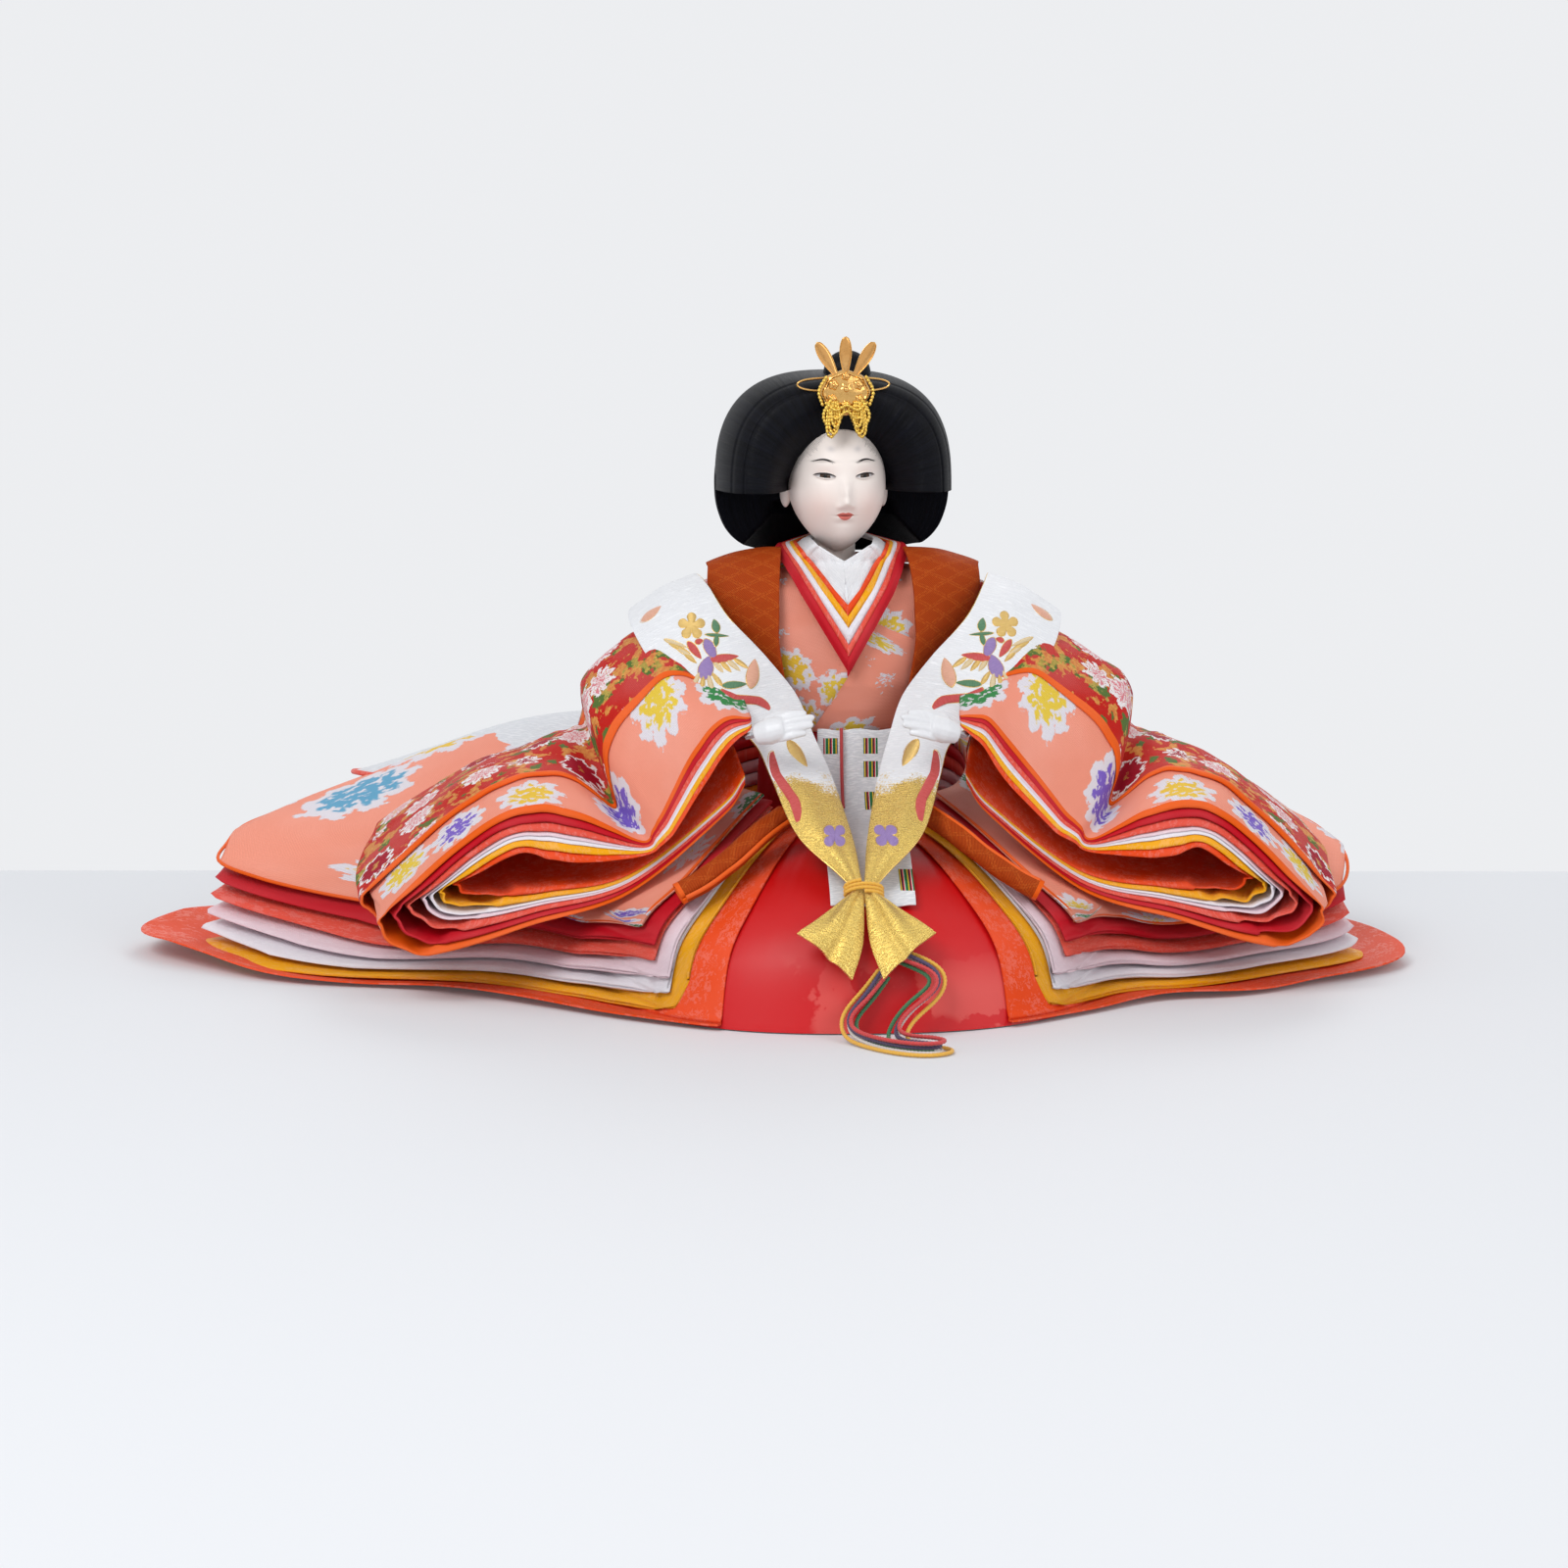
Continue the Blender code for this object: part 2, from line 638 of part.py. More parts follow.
def wire_path():
    """The arm wire, from inside the right hand through the body to inside the left hand."""
    route = []
    for side in (-1.0, 1.0):
        entry, way = wrist_frame(side)
        route.append(list(arm_path(side)) + [entry - way * WIRE_RADIUS, entry + way * HAND_WIRE_DEPTH])
    return smooth_path(list(reversed(route[0][1:])) + route[1], WIRE_POINTS)


WRIST_ENTRY_IN = 0.0040
WRIST_ENTRY_FORWARD = 0.0102
ROLL_START_SHARE = 0.44
ROLL_END_SHARE = 0.82
WIRE_POINTS = 32


def build_body():
    bm = bmesh.new()
    bmesh.ops.create_cube(bm, size=1.0)
    bmesh.ops.scale(bm, verts=bm.verts, vec=(BOARD_HALF_WIDTH * 2, BOARD_HALF_DEPTH * 2, BOARD_THICKNESS))
    bmesh.ops.translate(bm, verts=bm.verts, vec=(0.0, LAP_CENTRE_Y / 2, BOARD_THICKNESS / 2))
    board = add_part("base_board", mesh_from(bm, "base_board"), BOARD_WOOD, smooth=False)
    edges = board.modifiers.new("edges", "BEVEL")
    edges.width = BOARD_EDGE_ROUND
    edges.segments = 2

    bore = STICK_RADIUS + GAP
    foot = BOARD_THICKNESS + TOUCH_GAP
    core = turned("body_core", (
        (0.0, CORE_TOP - STICK_IN_BODY), (bore, CORE_TOP - STICK_IN_BODY), (bore, CORE_TOP),
        (CORE_SHOULDER_RADIUS - GAP, CORE_TOP), (CORE_SHOULDER_RADIUS, CORE_SHOULDER_Z),
        (CORE_WAIST_RADIUS, CORE_WAIST_Z), (CORE_FOOT_RADIUS, foot), (0.0, foot)), STRAW)
    across = ((-SHOULDER_X, SHOULDER_Y, SHOULDER_Z), (SHOULDER_X, SHOULDER_Y, SHOULDER_Z))
    wire_hole = tube_mesh("wire_hole", across, WIRE_RADIUS + GAP)
    boolean(core, add_cutter("wire_hole", wire_hole), "DIFFERENCE")

    wire = wire_path()
    add_tube("arm_wire", wire, WIRE_RADIUS, STEEL_WIRE, resolution=1)
    half = WIRE_POINTS // 2
    for name, points in (("right_arm_roll", list(reversed(wire[:half]))), ("left_arm_roll", wire[half:])):
        first = int(half * ROLL_START_SHARE)
        last = int(half * ROLL_END_SHARE)
        span = points[first:last]
        roll = add_part(name, tube_mesh(name, span, ARM_ROLL_RADIUS), COTTON)
        longer = points[first - 1:last + 1]
        hole = tube_mesh(name + "_hole", longer, WIRE_RADIUS + GAP)
        boolean(roll, add_cutter(name + "_hole", hole), "DIFFERENCE")


def build_hands():
    for name, side in (("right_hand", -1.0), ("left_hand", 1.0)):
        entry, way = wrist_frame(side)
        across = way.cross(Vector((0.0, 0.0, 1.0))).normalized()
        up = across.cross(way).normalized()
        frame = Matrix((way, across, up)).transposed()
        bm = bmesh.new()
        bmesh.ops.create_cube(bm, size=1.0)
        bmesh.ops.scale(bm, verts=bm.verts, vec=(HAND_LENGTH, HAND_WIDTH, HAND_THICKNESS))
        bmesh.ops.translate(bm, verts=bm.verts, vec=(HAND_LENGTH / 2, 0.0, 0.0))
        bmesh.ops.subdivide_edges(bm, edges=bm.edges, cuts=1, use_grid_fill=True)
        for v in bm.verts:
            along = v.co.x / HAND_LENGTH
            v.co.z *= 1.45 - 1.0 * along
            v.co.y *= 1.0 + 0.25 * math.sin(math.pi * along) - 0.25 * along
        mesh = mesh_from(bm, name)
        wire = wire_path()
        end = wire[:3] if side < 0 else list(reversed(wire[-3:]))
        mesh.transform(Matrix.Translation(entry - end[0]) @ frame.to_4x4())
        item = add_part(name, mesh, HAND_WHITE)
        item.location = end[0]
        rounder = item.modifiers.new("round", "SUBSURF")
        rounder.levels = 1
        rounder.render_levels = 1
        end = [end[0] + way * GAP] + end[1:]
        hole = tube_mesh(name + "_hole", end, WIRE_RADIUS + HAND_HOLE_GAP)
        boolean(item, add_cutter(name + "_hole", hole), "DIFFERENCE")



# Sleeves: each row is the outer face then the inner face, from the arm over the hump and back underneath
SLEEVE_OUTER_SHARES = (
    ((0.31, 0.87), (0.4, 0.875), (0.49, 0.78), (0.58, 0.6), (0.61, 0.54), (0.64, 0.5), (0.8, 0.595),
     (0.96, 0.634), (1.15, 0.55), (1.43, 0.295), (1.475, 0.21), (1.385, 0.13), (1.24, 0.14),
     (0.98, 0.226), (0.68, 0.327), (0.4, 0.56), (0.33, 0.66)),
    ((0.33, 0.93), (0.45, 0.965), (0.57, 0.985), (0.73, 0.82), (0.75, 0.7), (0.72, 0.58),
     (0.84, 0.67), (0.98, 0.68), (1.17, 0.6), (1.45, 0.345), (1.49, 0.27), (1.4, 0.22), (1.24, 0.22),
     (0.98, 0.28), (0.7, 0.38), (0.43, 0.64), (0.35, 0.74)),
    ((0.38, 1.02), (0.48, 1.075), (0.62, 1.08), (0.8, 0.95), (0.81, 0.84), (0.785, 0.76),
     (0.88, 0.74), (1, 0.71), (1.2, 0.62), (1.475, 0.41), (1.5, 0.35), (1.42, 0.31), (1.22, 0.33),
     (0.98, 0.4), (0.74, 0.5), (0.5, 0.76), (0.42, 0.84)),
    ((0.48, 1.03), (0.54, 1.07), (0.64, 1.06), (0.78, 0.93), (0.805, 0.83), (0.82, 0.77),
     (0.9, 0.74), (1.01, 0.7), (1.19, 0.63), (1.44, 0.47), (1.45, 0.44), (1.38, 0.42), (1.2, 0.45),
     (0.98, 0.53), (0.8, 0.61), (0.57, 0.84), (0.49, 0.92)))
SLEEVE_INNER_SHARES = (
    ((0.31, 0.835), (0.375, 0.78), (0.45, 0.67), (0.54, 0.525), (0.58, 0.485), (0.625, 0.455),
     (0.79, 0.435), (0.91, 0.445), (1, 0.465), (1.135, 0.4), (1.155, 0.385), (1.13, 0.36),
     (1.03, 0.36), (0.916, 0.36), (0.68, 0.4), (0.41, 0.6), (0.33, 0.695)),
    ((0.345, 0.885), (0.455, 0.92), (0.55, 0.925), (0.65, 0.74), (0.67, 0.64), (0.695, 0.53),
     (0.83, 0.58), (0.95, 0.58), (1.08, 0.52), (1.22, 0.43), (1.23, 0.42), (1.2, 0.39), (1.09, 0.38),
     (0.93, 0.39), (0.71, 0.45), (0.45, 0.7), (0.37, 0.785)),
    ((0.4, 0.975), (0.495, 1.025), (0.6, 1.02), (0.73, 0.87), (0.745, 0.78), (0.755, 0.705),
     (0.87, 0.66), (0.98, 0.63), (1.13, 0.56), (1.29, 0.465), (1.31, 0.465), (1.27, 0.44),
     (1.13, 0.43), (0.95, 0.47), (0.76, 0.57), (0.51, 0.81), (0.435, 0.885)),
    ((0.485, 1.006), (0.545, 1.026), (0.615, 1.005), (0.72, 0.87), (0.75, 0.79), (0.8, 0.72),
     (0.89, 0.675), (0.99, 0.64), (1.13, 0.58), (1.275, 0.51), (1.29, 0.51), (1.25, 0.49),
     (1.13, 0.5), (0.97, 0.57), (0.81, 0.65), (0.58, 0.87), (0.5, 0.945)))
SLEEVE_LIP_SHARES = (1, 1, 1, 1, 1, 1, 1, 1, 1, 0.4, 0, -0.6, -1, -1, -1, -1, -1)
SLEEVE_ROWS_Y = (SLEEVE_MOUTH_Y, SLEEVE_FOREARM_Y, SLEEVE_UPPER_ARM_Y, SLEEVE_BACK_Y)
LEFT_VALLEY_SHIFT = 0.0080
VALLEY_SHIFT_SHARES = (0, 0, 0, 0.6, 0.9, 1, 0.9, 0.7, 0.4, 0, 0, 0, 0, 0, 0, 0, 0)
SLEEVE_LAYERS = (("red", RED_BROCADE), ("pink", PINK_BROCADE), ("crimson", CRIMSON_SILK),
                 ("coral", CORAL_SILK), ("white", WHITE_SILK), ("yellow", YELLOW_SILK),
                 ("orange", ORANGE_SILK))
UNDERSIDE_START = 11


def sleeve_place(side, row, station, depth):
    """A place in the sleeve: row from the mouth to the back, depth 0 outside to 1 inside."""
    outer = SLEEVE_OUTER_SHARES[row][station]
    inner = SLEEVE_INNER_SHARES[row][station]
    shift = LEFT_VALLEY_SHIFT * VALLEY_SHIFT_SHARES[station] if side > 0 else 0.0
    places = []
    for shares in (outer, inner):
        x = side * (shares[0] * SLEEVE_HUMP_X + shift)
        z = shares[1] * SLEEVE_ELBOW_Z
        places.append((x, z))
    x = places[0][0] + (places[1][0] - places[0][0]) * depth
    z = places[0][1] + (places[1][1] - places[0][1]) * depth
    y = SLEEVE_ROWS_Y[row]
    if row == 0:
        y -= SLEEVE_LIP_STEP * SLEEVE_LIP_SHARES[station] * (2 * depth - 1)
    elif station >= UNDERSIDE_START:
        floor = stack_top(places[0][0], y) + SLEEVE_REST_GAP
        lift = max(0.0, floor - places[0][1])
        z += lift
    return Vector((x, y, z))


def sleeve_row(side, row, low, high):
    """The outer and inner faces of one layer along one row."""
    stations = range(len(SLEEVE_OUTER_SHARES[0]))
    outside = []
    inside = []
    for station in stations:
        a = sleeve_place(side, row, station, low)
        far = sleeve_place(side, row, station, high)
        span = (far - a).length
        outside.append(a)
        inside.append(a.lerp(far, min(1.0, SLEEVE_CLOTH / span)))
    return outside, inside


def build_sleeves():
    """Seven nested robe sleeves on each side, the jacket's outermost."""
    count = len(SLEEVE_LAYERS)
    fill = 0.60
    for side_name, side in (("right", -1.0), ("left", 1.0)):
        for k, (colour, look) in enumerate(SLEEVE_LAYERS):
            low = k / count
            high = (k + fill) / count
            first = 1 if k == 0 else 0
            rows = [sleeve_row(side, row, low, high) for row in range(first, len(SLEEVE_ROWS_Y))]
            name = side_name + "_sleeve_" + colour
            add_part(name, sheet_mesh(name, [r[0] for r in rows], [r[1] for r in rows]), look)


# Torso: rings from the waist to the neck, as shares of its height, half width and half depth
TORSO_FOOT_Z = 0.0768
TORSO_TOP_Z = 0.1270
TORSO_HALF_WIDTH = 0.0440
TORSO_HALF_DEPTH = 0.0285
TORSO_RING_SHARES = (
    (0.0, 0.58, 0.86, 1.0), (0.15, 0.61, 0.95, 1.0), (0.30, 0.68, 1.0, 1.0), (0.455, 0.80, 0.96, 1.0),
    (0.605, 0.92, 0.90, 1.0), (0.76, 0.99, 0.80, 1.0), (0.87, 0.96, 0.70, 0.95), (0.95, 0.72, 0.48, 0.60),
    (1.0, 0.38, 0.40, 0.20))
BODICE_COLUMNS = 16
JACKET_COLUMNS = 12
JACKET_OFFSET = 0.0021
JACKET_FRONT_ANGLE = math.radians(52.0)
ARMHOLE_GAP = 0.0016


def torso_sizes(z):
    """Half width, half depth and middle of the bodice at a height."""
    share = (z - TORSO_FOOT_Z) / (TORSO_TOP_Z - TORSO_FOOT_Z)
    share = min(max(share, 0.0), 1.0)
    for a, b in zip(TORSO_RING_SHARES, TORSO_RING_SHARES[1:]):
        if share <= b[0]:
            break
    t = (share - a[0]) / (b[0] - a[0])
    width, depth, middle = [a[k] + (b[k] - a[k]) * t for k in (1, 2, 3)]
    return TORSO_HALF_WIDTH * width, TORSO_HALF_DEPTH * depth, TORSO_CENTRE_Y * middle


def torso_point(angle, share, offset):
    """A point round the torso: angle 0 is the front, positive toward the doll's left."""
    z = TORSO_FOOT_Z + (TORSO_TOP_Z - TORSO_FOOT_Z) * share
    half_width, half_depth, middle = torso_sizes(z)
    lift = offset * max(0.0, share - 0.7) * 2.2
    return Vector(((half_width + offset) * math.sin(angle),
                   middle - (half_depth + offset) * math.cos(angle), z + lift))


def chest_y(x, z, offset):
    """Front of the torso at a place, with an offset outward."""
    half_width, half_depth, middle = torso_sizes(z)
    inside = max(0.05, 1.0 - (x / (half_width + offset)) ** 2)
    return middle - (half_depth + offset) * math.sqrt(inside)


def build_torso():
    """The pink robe's bodice round the body and the red jacket over its back and shoulders."""
    shares = [ring[0] for ring in TORSO_RING_SHARES]
    grid = [[torso_point(2 * math.pi * k / BODICE_COLUMNS, share, 0.0) for k in range(BODICE_COLUMNS)]
            for share in shares]
    bodice = cloth_object("uwagi_bodice", grid, BODICE_CLOTH, PINK_BROCADE, ring=True, offset=1.0)
    spread = 2 * math.pi - 2 * JACKET_FRONT_ANGLE
    angles = [JACKET_FRONT_ANGLE + spread * k / (JACKET_COLUMNS - 1) for k in range(JACKET_COLUMNS)]
    grid = [[torso_point(angle, share, JACKET_OFFSET) for angle in angles] for share in shares[:-1]]
    jacket = cloth_object("karaginu_body", grid, JACKET_CLOTH, RED_BROCADE, offset=1.0)
    for side_name, side in (("right", -1.0), ("left", 1.0)):
        wire = wire_path()
        half = WIRE_POINTS // 2
        span = wire[1:half] if side < 0 else wire[half:-1]
        hole = tube_mesh(side_name + "_armhole", span, WIRE_RADIUS + ARMHOLE_GAP)
        cutter = add_cutter(side_name + "_armhole", hole)
        boolean(bodice, cutter, "DIFFERENCE")
        boolean(jacket, cutter, "DIFFERENCE")


# Collar bands: boundaries from the neck outward, as shares of the tip's drop and the side's spread
COLLAR_TIP_TOP_Z = 0.1244
COLLAR_TIP_FOOT_Z = 0.0964
COLLAR_NECK_HALF_WIDTH = 0.0118
COLLAR_SPREAD = 0.0080
COLLAR_OFFSET = 0.0037
COLLAR_TIP_GAP = 0.0004
COLLARS = (("inner_collar", FIGURED_SILK, 0.0, 0.0, 0.13, 0.167),
           ("collar_orange", ORANGE_SILK, 0.13, 0.167, 0.246, 0.333),
           ("collar_yellow", YELLOW_SILK, 0.246, 0.333, 0.375, 0.5),
           ("collar_white", PALE_PINK_SILK, 0.375, 0.5, 0.589, 0.667),
           ("collar_coral", CORAL_SILK, 0.589, 0.667, 0.696, 0.833),
           ("collar_crimson", CRIMSON_SILK, 0.696, 0.833, 1.0, 1.0))
COLLAR_TIP_INSET_SHARE = 0.009
COLLAR_SIDE_INSET_SHARE = 0.024
COLLAR_RISE_SHARES = (0.0, 0.11, 0.22, 0.34, 0.52, 0.75, 1.0)


def collar_line(side, tip_share, side_share):
    """One edge of a collar band, from the back of the neck down to the tip of the V."""
    tip_z = COLLAR_TIP_TOP_Z + (COLLAR_TIP_FOOT_Z - COLLAR_TIP_TOP_Z) * tip_share
    half = COLLAR_NECK_HALF_WIDTH + COLLAR_SPREAD * side_share
    side_z = COLLAR_SIDE_Z - COLLAR_BAND_DROP * side_share
    points = [Vector((side * half * math.sin(a), COLLAR_BACK_Y * math.cos(a) - COLLAR_SIDE_BACK * math.sin(a)
                      + COLLAR_BAND_DROP * side_share * math.cos(a),
                      COLLAR_BACK_Z + (side_z - COLLAR_BACK_Z) * math.sin(a) - COLLAR_BAND_DROP * side_share))
              for a in (0.0, math.radians(45.0), math.radians(90.0))]
    for t in COLLAR_RISE_SHARES[1:]:
        x = half + (COLLAR_TIP_GAP - half) * t
        z = side_z - COLLAR_BAND_DROP * side_share + (tip_z - side_z + COLLAR_BAND_DROP * side_share) * t
        points.append(Vector((side * x, chest_y(x, z, COLLAR_OFFSET), z)))
    return points


COLLAR_SIDE_BACK = 0.0040
COLLAR_BAND_DROP = 0.0016


def build_collars():
    """Six V-shaped collar bands, each a strip from the tip round the neck and down to the tip."""
    for name, look, tip_in, side_in, tip_out, side_out in COLLARS:
        rows = []
        edges = ((tip_in + COLLAR_TIP_INSET_SHARE, side_in + COLLAR_SIDE_INSET_SHARE),
                 (tip_out - COLLAR_TIP_INSET_SHARE, side_out - COLLAR_SIDE_INSET_SHARE))
        for tip_share, side_share in edges:
            right = collar_line(-1.0, tip_share, side_share)
            left = collar_line(1.0, tip_share, side_share)
            rows.append(list(reversed(right)) + left[1:])
        middle = [a.lerp(b, 0.5) for a, b in zip(*rows)]
        cloth_object(name, [rows[0], middle, rows[1]], COLLAR_CLOTH, look, offset=1.0)


# Jacket collar: inner edge x, outer edge x and height, each a share of the torso's half width or height
JACKET_COLLAR_SHARES = ((0.47, 0.96, 0.87), (0.475, 0.90, 0.72), (0.48, 0.84, 0.57),
                        (0.45, 0.72, 0.37), (0.42, 0.64, 0.21), (0.38, 0.56, 0.06))
JACKET_COLLAR_OFFSET = 0.0046
JACKET_COLLAR_CLOTH = 0.0012
JACKET_COLLAR_BACK = (((0.0, 0.0125, 0.1290), (0.0, 0.0200, 0.1256), 0.0003),
                      ((0.0132, 0.0095, 0.1289), (0.0270, 0.0135, 0.1266), 0.0003),
                      ((0.0190, 0.0010, 0.1289), (0.0365, 0.0035, 0.1280), 0.0009),
                      ((0.0207, -0.0080, 0.1322), (0.0422, -0.0070, 0.1276), 0.0012))
JACKET_COLLAR_SHOULDER = Vector((0.0, -0.0008, 0.0026))
ACROSS = 4


def build_jacket_collar():
    """The wide rust collar, from the waist over both shoulders and round the back of the neck."""
    sides = []
    for side in (-1.0, 1.0):
        lines = []
        for inner, outer, bulge in JACKET_COLLAR_BACK:
            a = Vector((side * inner[0], inner[1], inner[2]))
            b = Vector((side * outer[0], outer[1], outer[2]))
            line = []
            for k in range(ACROSS + 1):
                share = k / ACROSS
                rise = bulge * math.sin(math.pi * share)
                line.append(a.lerp(b, share) + Vector((0.0, 0.0, rise)))
            lines.append(line)
        for inner, outer, height in JACKET_COLLAR_SHARES:
            z = TORSO_FOOT_Z + (TORSO_TOP_Z - TORSO_FOOT_Z) * height
            line = []
            for k in range(ACROSS + 1):
                x = TORSO_HALF_WIDTH * (inner + (outer - inner) * k / ACROSS)
                line.append(Vector((side * x, chest_y(x, z, JACKET_COLLAR_OFFSET), z)))
            lines.append(line)
        top = len(JACKET_COLLAR_BACK)
        between = [a.lerp(b, 0.5) + JACKET_COLLAR_SHOULDER for a, b in zip(lines[top - 1], lines[top])]
        lines.insert(top, between)
        sides.append(lines)
    path = list(reversed(sides[0])) + sides[1][1:]
    grid = [list(column) for column in zip(*path)]
    cloth_object("karaginu_collar", grid, JACKET_COLLAR_CLOTH, RUST_SILK, offset=1.0)


# Scarf: inner edge then outer edge of each row, from behind the shoulder down to the knot and its tail
HIRE_WRIST_SHARE = 1.227
HIRE_LENGTH = WRIST_Z * HIRE_WRIST_SHARE
HIRE_ROW_SHARES = (
    ((0.475, 0.02, 1.245), (0.60, 0.02, 1.165)), ((0.455, -0.10, 1.290), (0.655, -0.11, 1.165)),
    ((0.42, -0.26, 1.235), (0.66, -0.27, 1.115)), ((0.36, -0.37, 1.13), (0.57, -0.38, 1.055)),
    ((0.26, -0.405, 1.015), (0.35, -0.41, 0.995)), ((0.17, -0.450, 0.90), (0.31, -0.50, 0.88)),
    ((0.12, -0.53, 0.79), (0.285, -0.60, 0.77)), ((0.07, -0.67, 0.665), (0.25, -0.72, 0.675)),
    ((0.028, -0.87, 0.530), (0.18, -0.89, 0.530)), ((0.012, -0.995, 0.435), (0.065, -1.00, 0.43)),
    ((0.006, -1.045, 0.395), (0.036, -1.045, 0.395)), ((0.008, -1.09, 0.355), (0.08, -1.085, 0.36)),
    ((0.016, -1.16, 0.255), (0.15, -1.14, 0.32)), ((0.048, -1.21, 0.165), (0.20, -1.165, 0.29)))
HIRE_FULLNESS = 0.0022
KNOT_ROW = 10
KNOT_HALF_WIDTH = 0.0052
KNOT_HALF_DEPTH = 0.0026
THREAD_RADIUS = 0.0008


def hire_point(side, row, share):
    inner, outer = HIRE_ROW_SHARES[row]
    a = Vector((side * inner[0], inner[1], inner[2])) * HIRE_LENGTH
    b = Vector((side * outer[0], outer[1], outer[2])) * HIRE_LENGTH
    place = a.lerp(b, share)
    rise = HIRE_FULLNESS * math.sin(math.pi * share) * min(1.0, (b - a).length / (HIRE_FULLNESS * 5))
    return place + Vector((0.0, -0.7, 0.7)) * rise


def build_hire():
    """The white and gold scarf: two bands that meet at a knot on the lap and spread into tails."""
    for name, side in (("hire_right", -1.0), ("hire_left", 1.0)):
        grid = [[hire_point(side, row, k / 4) for row in range(len(HIRE_ROW_SHARES))] for k in range(5)]
        cloth_object(name, grid, HIRE_CLOTH, FIGURED_SILK, offset=side)
    knot = hire_point(1.0, KNOT_ROW, 0.0)
    points = []
    for k in range(16):
        a = 2 * math.pi * k / 16
        out = KNOT_HALF_DEPTH * math.cos(a)
        points.append(Vector((KNOT_HALF_WIDTH * math.sin(a), knot.y - out * 0.62, knot.z - out * -0.78)))
    add_tube("tie_thread", points, THREAD_RADIUS, YELLOW_THREAD, closed=True, resolution=1)


SASH_HALF_WIDTH = 0.0125
SASH_CENTRE_X = 0.0030
SASH_LENGTH = 0.100
SASH_PATH_SHARES = ((-0.375, 0.745), (-0.41, 0.62), (-0.50, 0.535), (-0.64, 0.508), (-0.78, 0.479),
                    (-0.90, 0.424), (-0.98, 0.385), (-1.025, 0.350))
SASH_CLOTH = 0.0006


def build_sash():
    """The white apron panel that hangs from the waist over the lap."""
    grid = [[Vector((SASH_CENTRE_X + SASH_HALF_WIDTH * s, y * SASH_LENGTH, z * SASH_LENGTH))
             for y, z in SASH_PATH_SHARES] for s in (-1.0, 0.0, 1.0)]
    cloth_object("sash_front", grid, SASH_CLOTH, FIGURED_SILK, offset=1.0)


ROLL_RADIUS = 0.0042
ROLL_REST_GAP = -0.0023
ROLL_PLACES = ((-0.105, -0.46), (-0.145, -0.505), (-0.19, -0.55), (-0.235, -0.577), (-0.268, -0.585))


def build_rolls():
    """The jacket collar's rolled ends, which lie on the robes beside the lap."""
    for name, side in (("rolled_front_right", 1.0), ("rolled_front_left", -1.0)):
        points = []
        for x, y in ROLL_PLACES:
            px = side * x * HEM_HALF_WIDTH
            py = y * HEM_HALF_DEPTH
            points.append(Vector((px, py, stack_top(px, py) + ROLL_RADIUS + ROLL_REST_GAP)))
        add_tube(name, smooth_path(points, 7), ROLL_RADIUS, RUST_SILK, resolution=2)


# Head, neck, stick and eyes
HEAD_SEGMENTS = 18
HEAD_RINGS = 12
NECK_TOP_Z = 0.1400
NECK_FOOT_Z = 0.1174


def turn_about_neck(item):
    item.matrix_world = Matrix.Rotation(HEAD_TURN, 4, "Z") @ item.matrix_world


def head_mesh(name, grow):
    """An egg-shaped head with a narrower chin, grown outward for clearance cuts."""
    bm = bmesh.new()
    bmesh.ops.create_uvsphere(bm, u_segments=HEAD_SEGMENTS, v_segments=HEAD_RINGS, radius=1.0)
    for v in bm.verts:
        drop = max(0.0, -v.co.z)
        narrow = 1.0 - CHIN_NARROW_SHARE * drop ** 1.5
        forward = 0.12 * drop * (HEAD_HALF_DEPTH + grow)
        v.co = Vector((v.co.x * (HEAD_HALF_WIDTH + grow) * narrow,
                       v.co.y * (HEAD_HALF_DEPTH + grow) * narrow - forward + HEAD_CENTRE_Y,
                       v.co.z * (HEAD_HALF_HEIGHT + grow) + HEAD_CENTRE_Z))
    return mesh_from(bm, name)


def face_y(x, z):
    """Front of the head at a place on the face."""
    inside = 1.0 - (x / HEAD_HALF_WIDTH) ** 2 - ((z - HEAD_CENTRE_Z) / HEAD_HALF_HEIGHT) ** 2
    return HEAD_CENTRE_Y - HEAD_HALF_DEPTH * math.sqrt(max(inside, 0.0))


def build_head():
    head = add_part("head", head_mesh("head", 0.0), PORCELAIN)
    neck = add_cutter("neck", cylinder_mesh("neck", NECK_RADIUS, NECK_FOOT_Z, NECK_TOP_Z, sides=20))
    boolean(head, neck, "UNION")
    stick_top = CORE_TOP + STICK_IN_HEAD
    bore = add_cutter("stick_bore", cylinder_mesh("stick_bore", STICK_RADIUS + GAP,
                                                  NECK_FOOT_Z - CUT_OVERRUN, stick_top + GAP, sides=16))
    boolean(head, bore, "DIFFERENCE")
    add_part("neck_stick", cylinder_mesh("neck_stick", STICK_RADIUS, CORE_TOP - STICK_IN_BODY + TOUCH_GAP,
                                         stick_top, sides=16), STICK_WOOD)
    for name, side in (("right_eye", -1.0), ("left_eye", 1.0)):
        x = side * EYE_SPACING / 2
        place = Vector((x, face_y(x, EYE_Z) + EYE_INSET, EYE_Z))
        for grow, target in ((0.0, None), (TOUCH_GAP, head)):
            bm = bmesh.new()
            bmesh.ops.create_uvsphere(bm, u_segments=10, v_segments=6, radius=EYE_RADIUS + grow,
                                      matrix=Matrix.Translation(place))
            if target is None:
                eye = add_part(name, mesh_from(bm, name), EYE_GLASS)
                turn_about_neck(eye)
            else:
                socket = add_cutter(name + "_socket", mesh_from(bm, name + "_socket"))
                boolean(target, socket, "DIFFERENCE")
                socket.matrix_world = Matrix.Rotation(HEAD_TURN, 4, "Z")
    turn_about_neck(head)


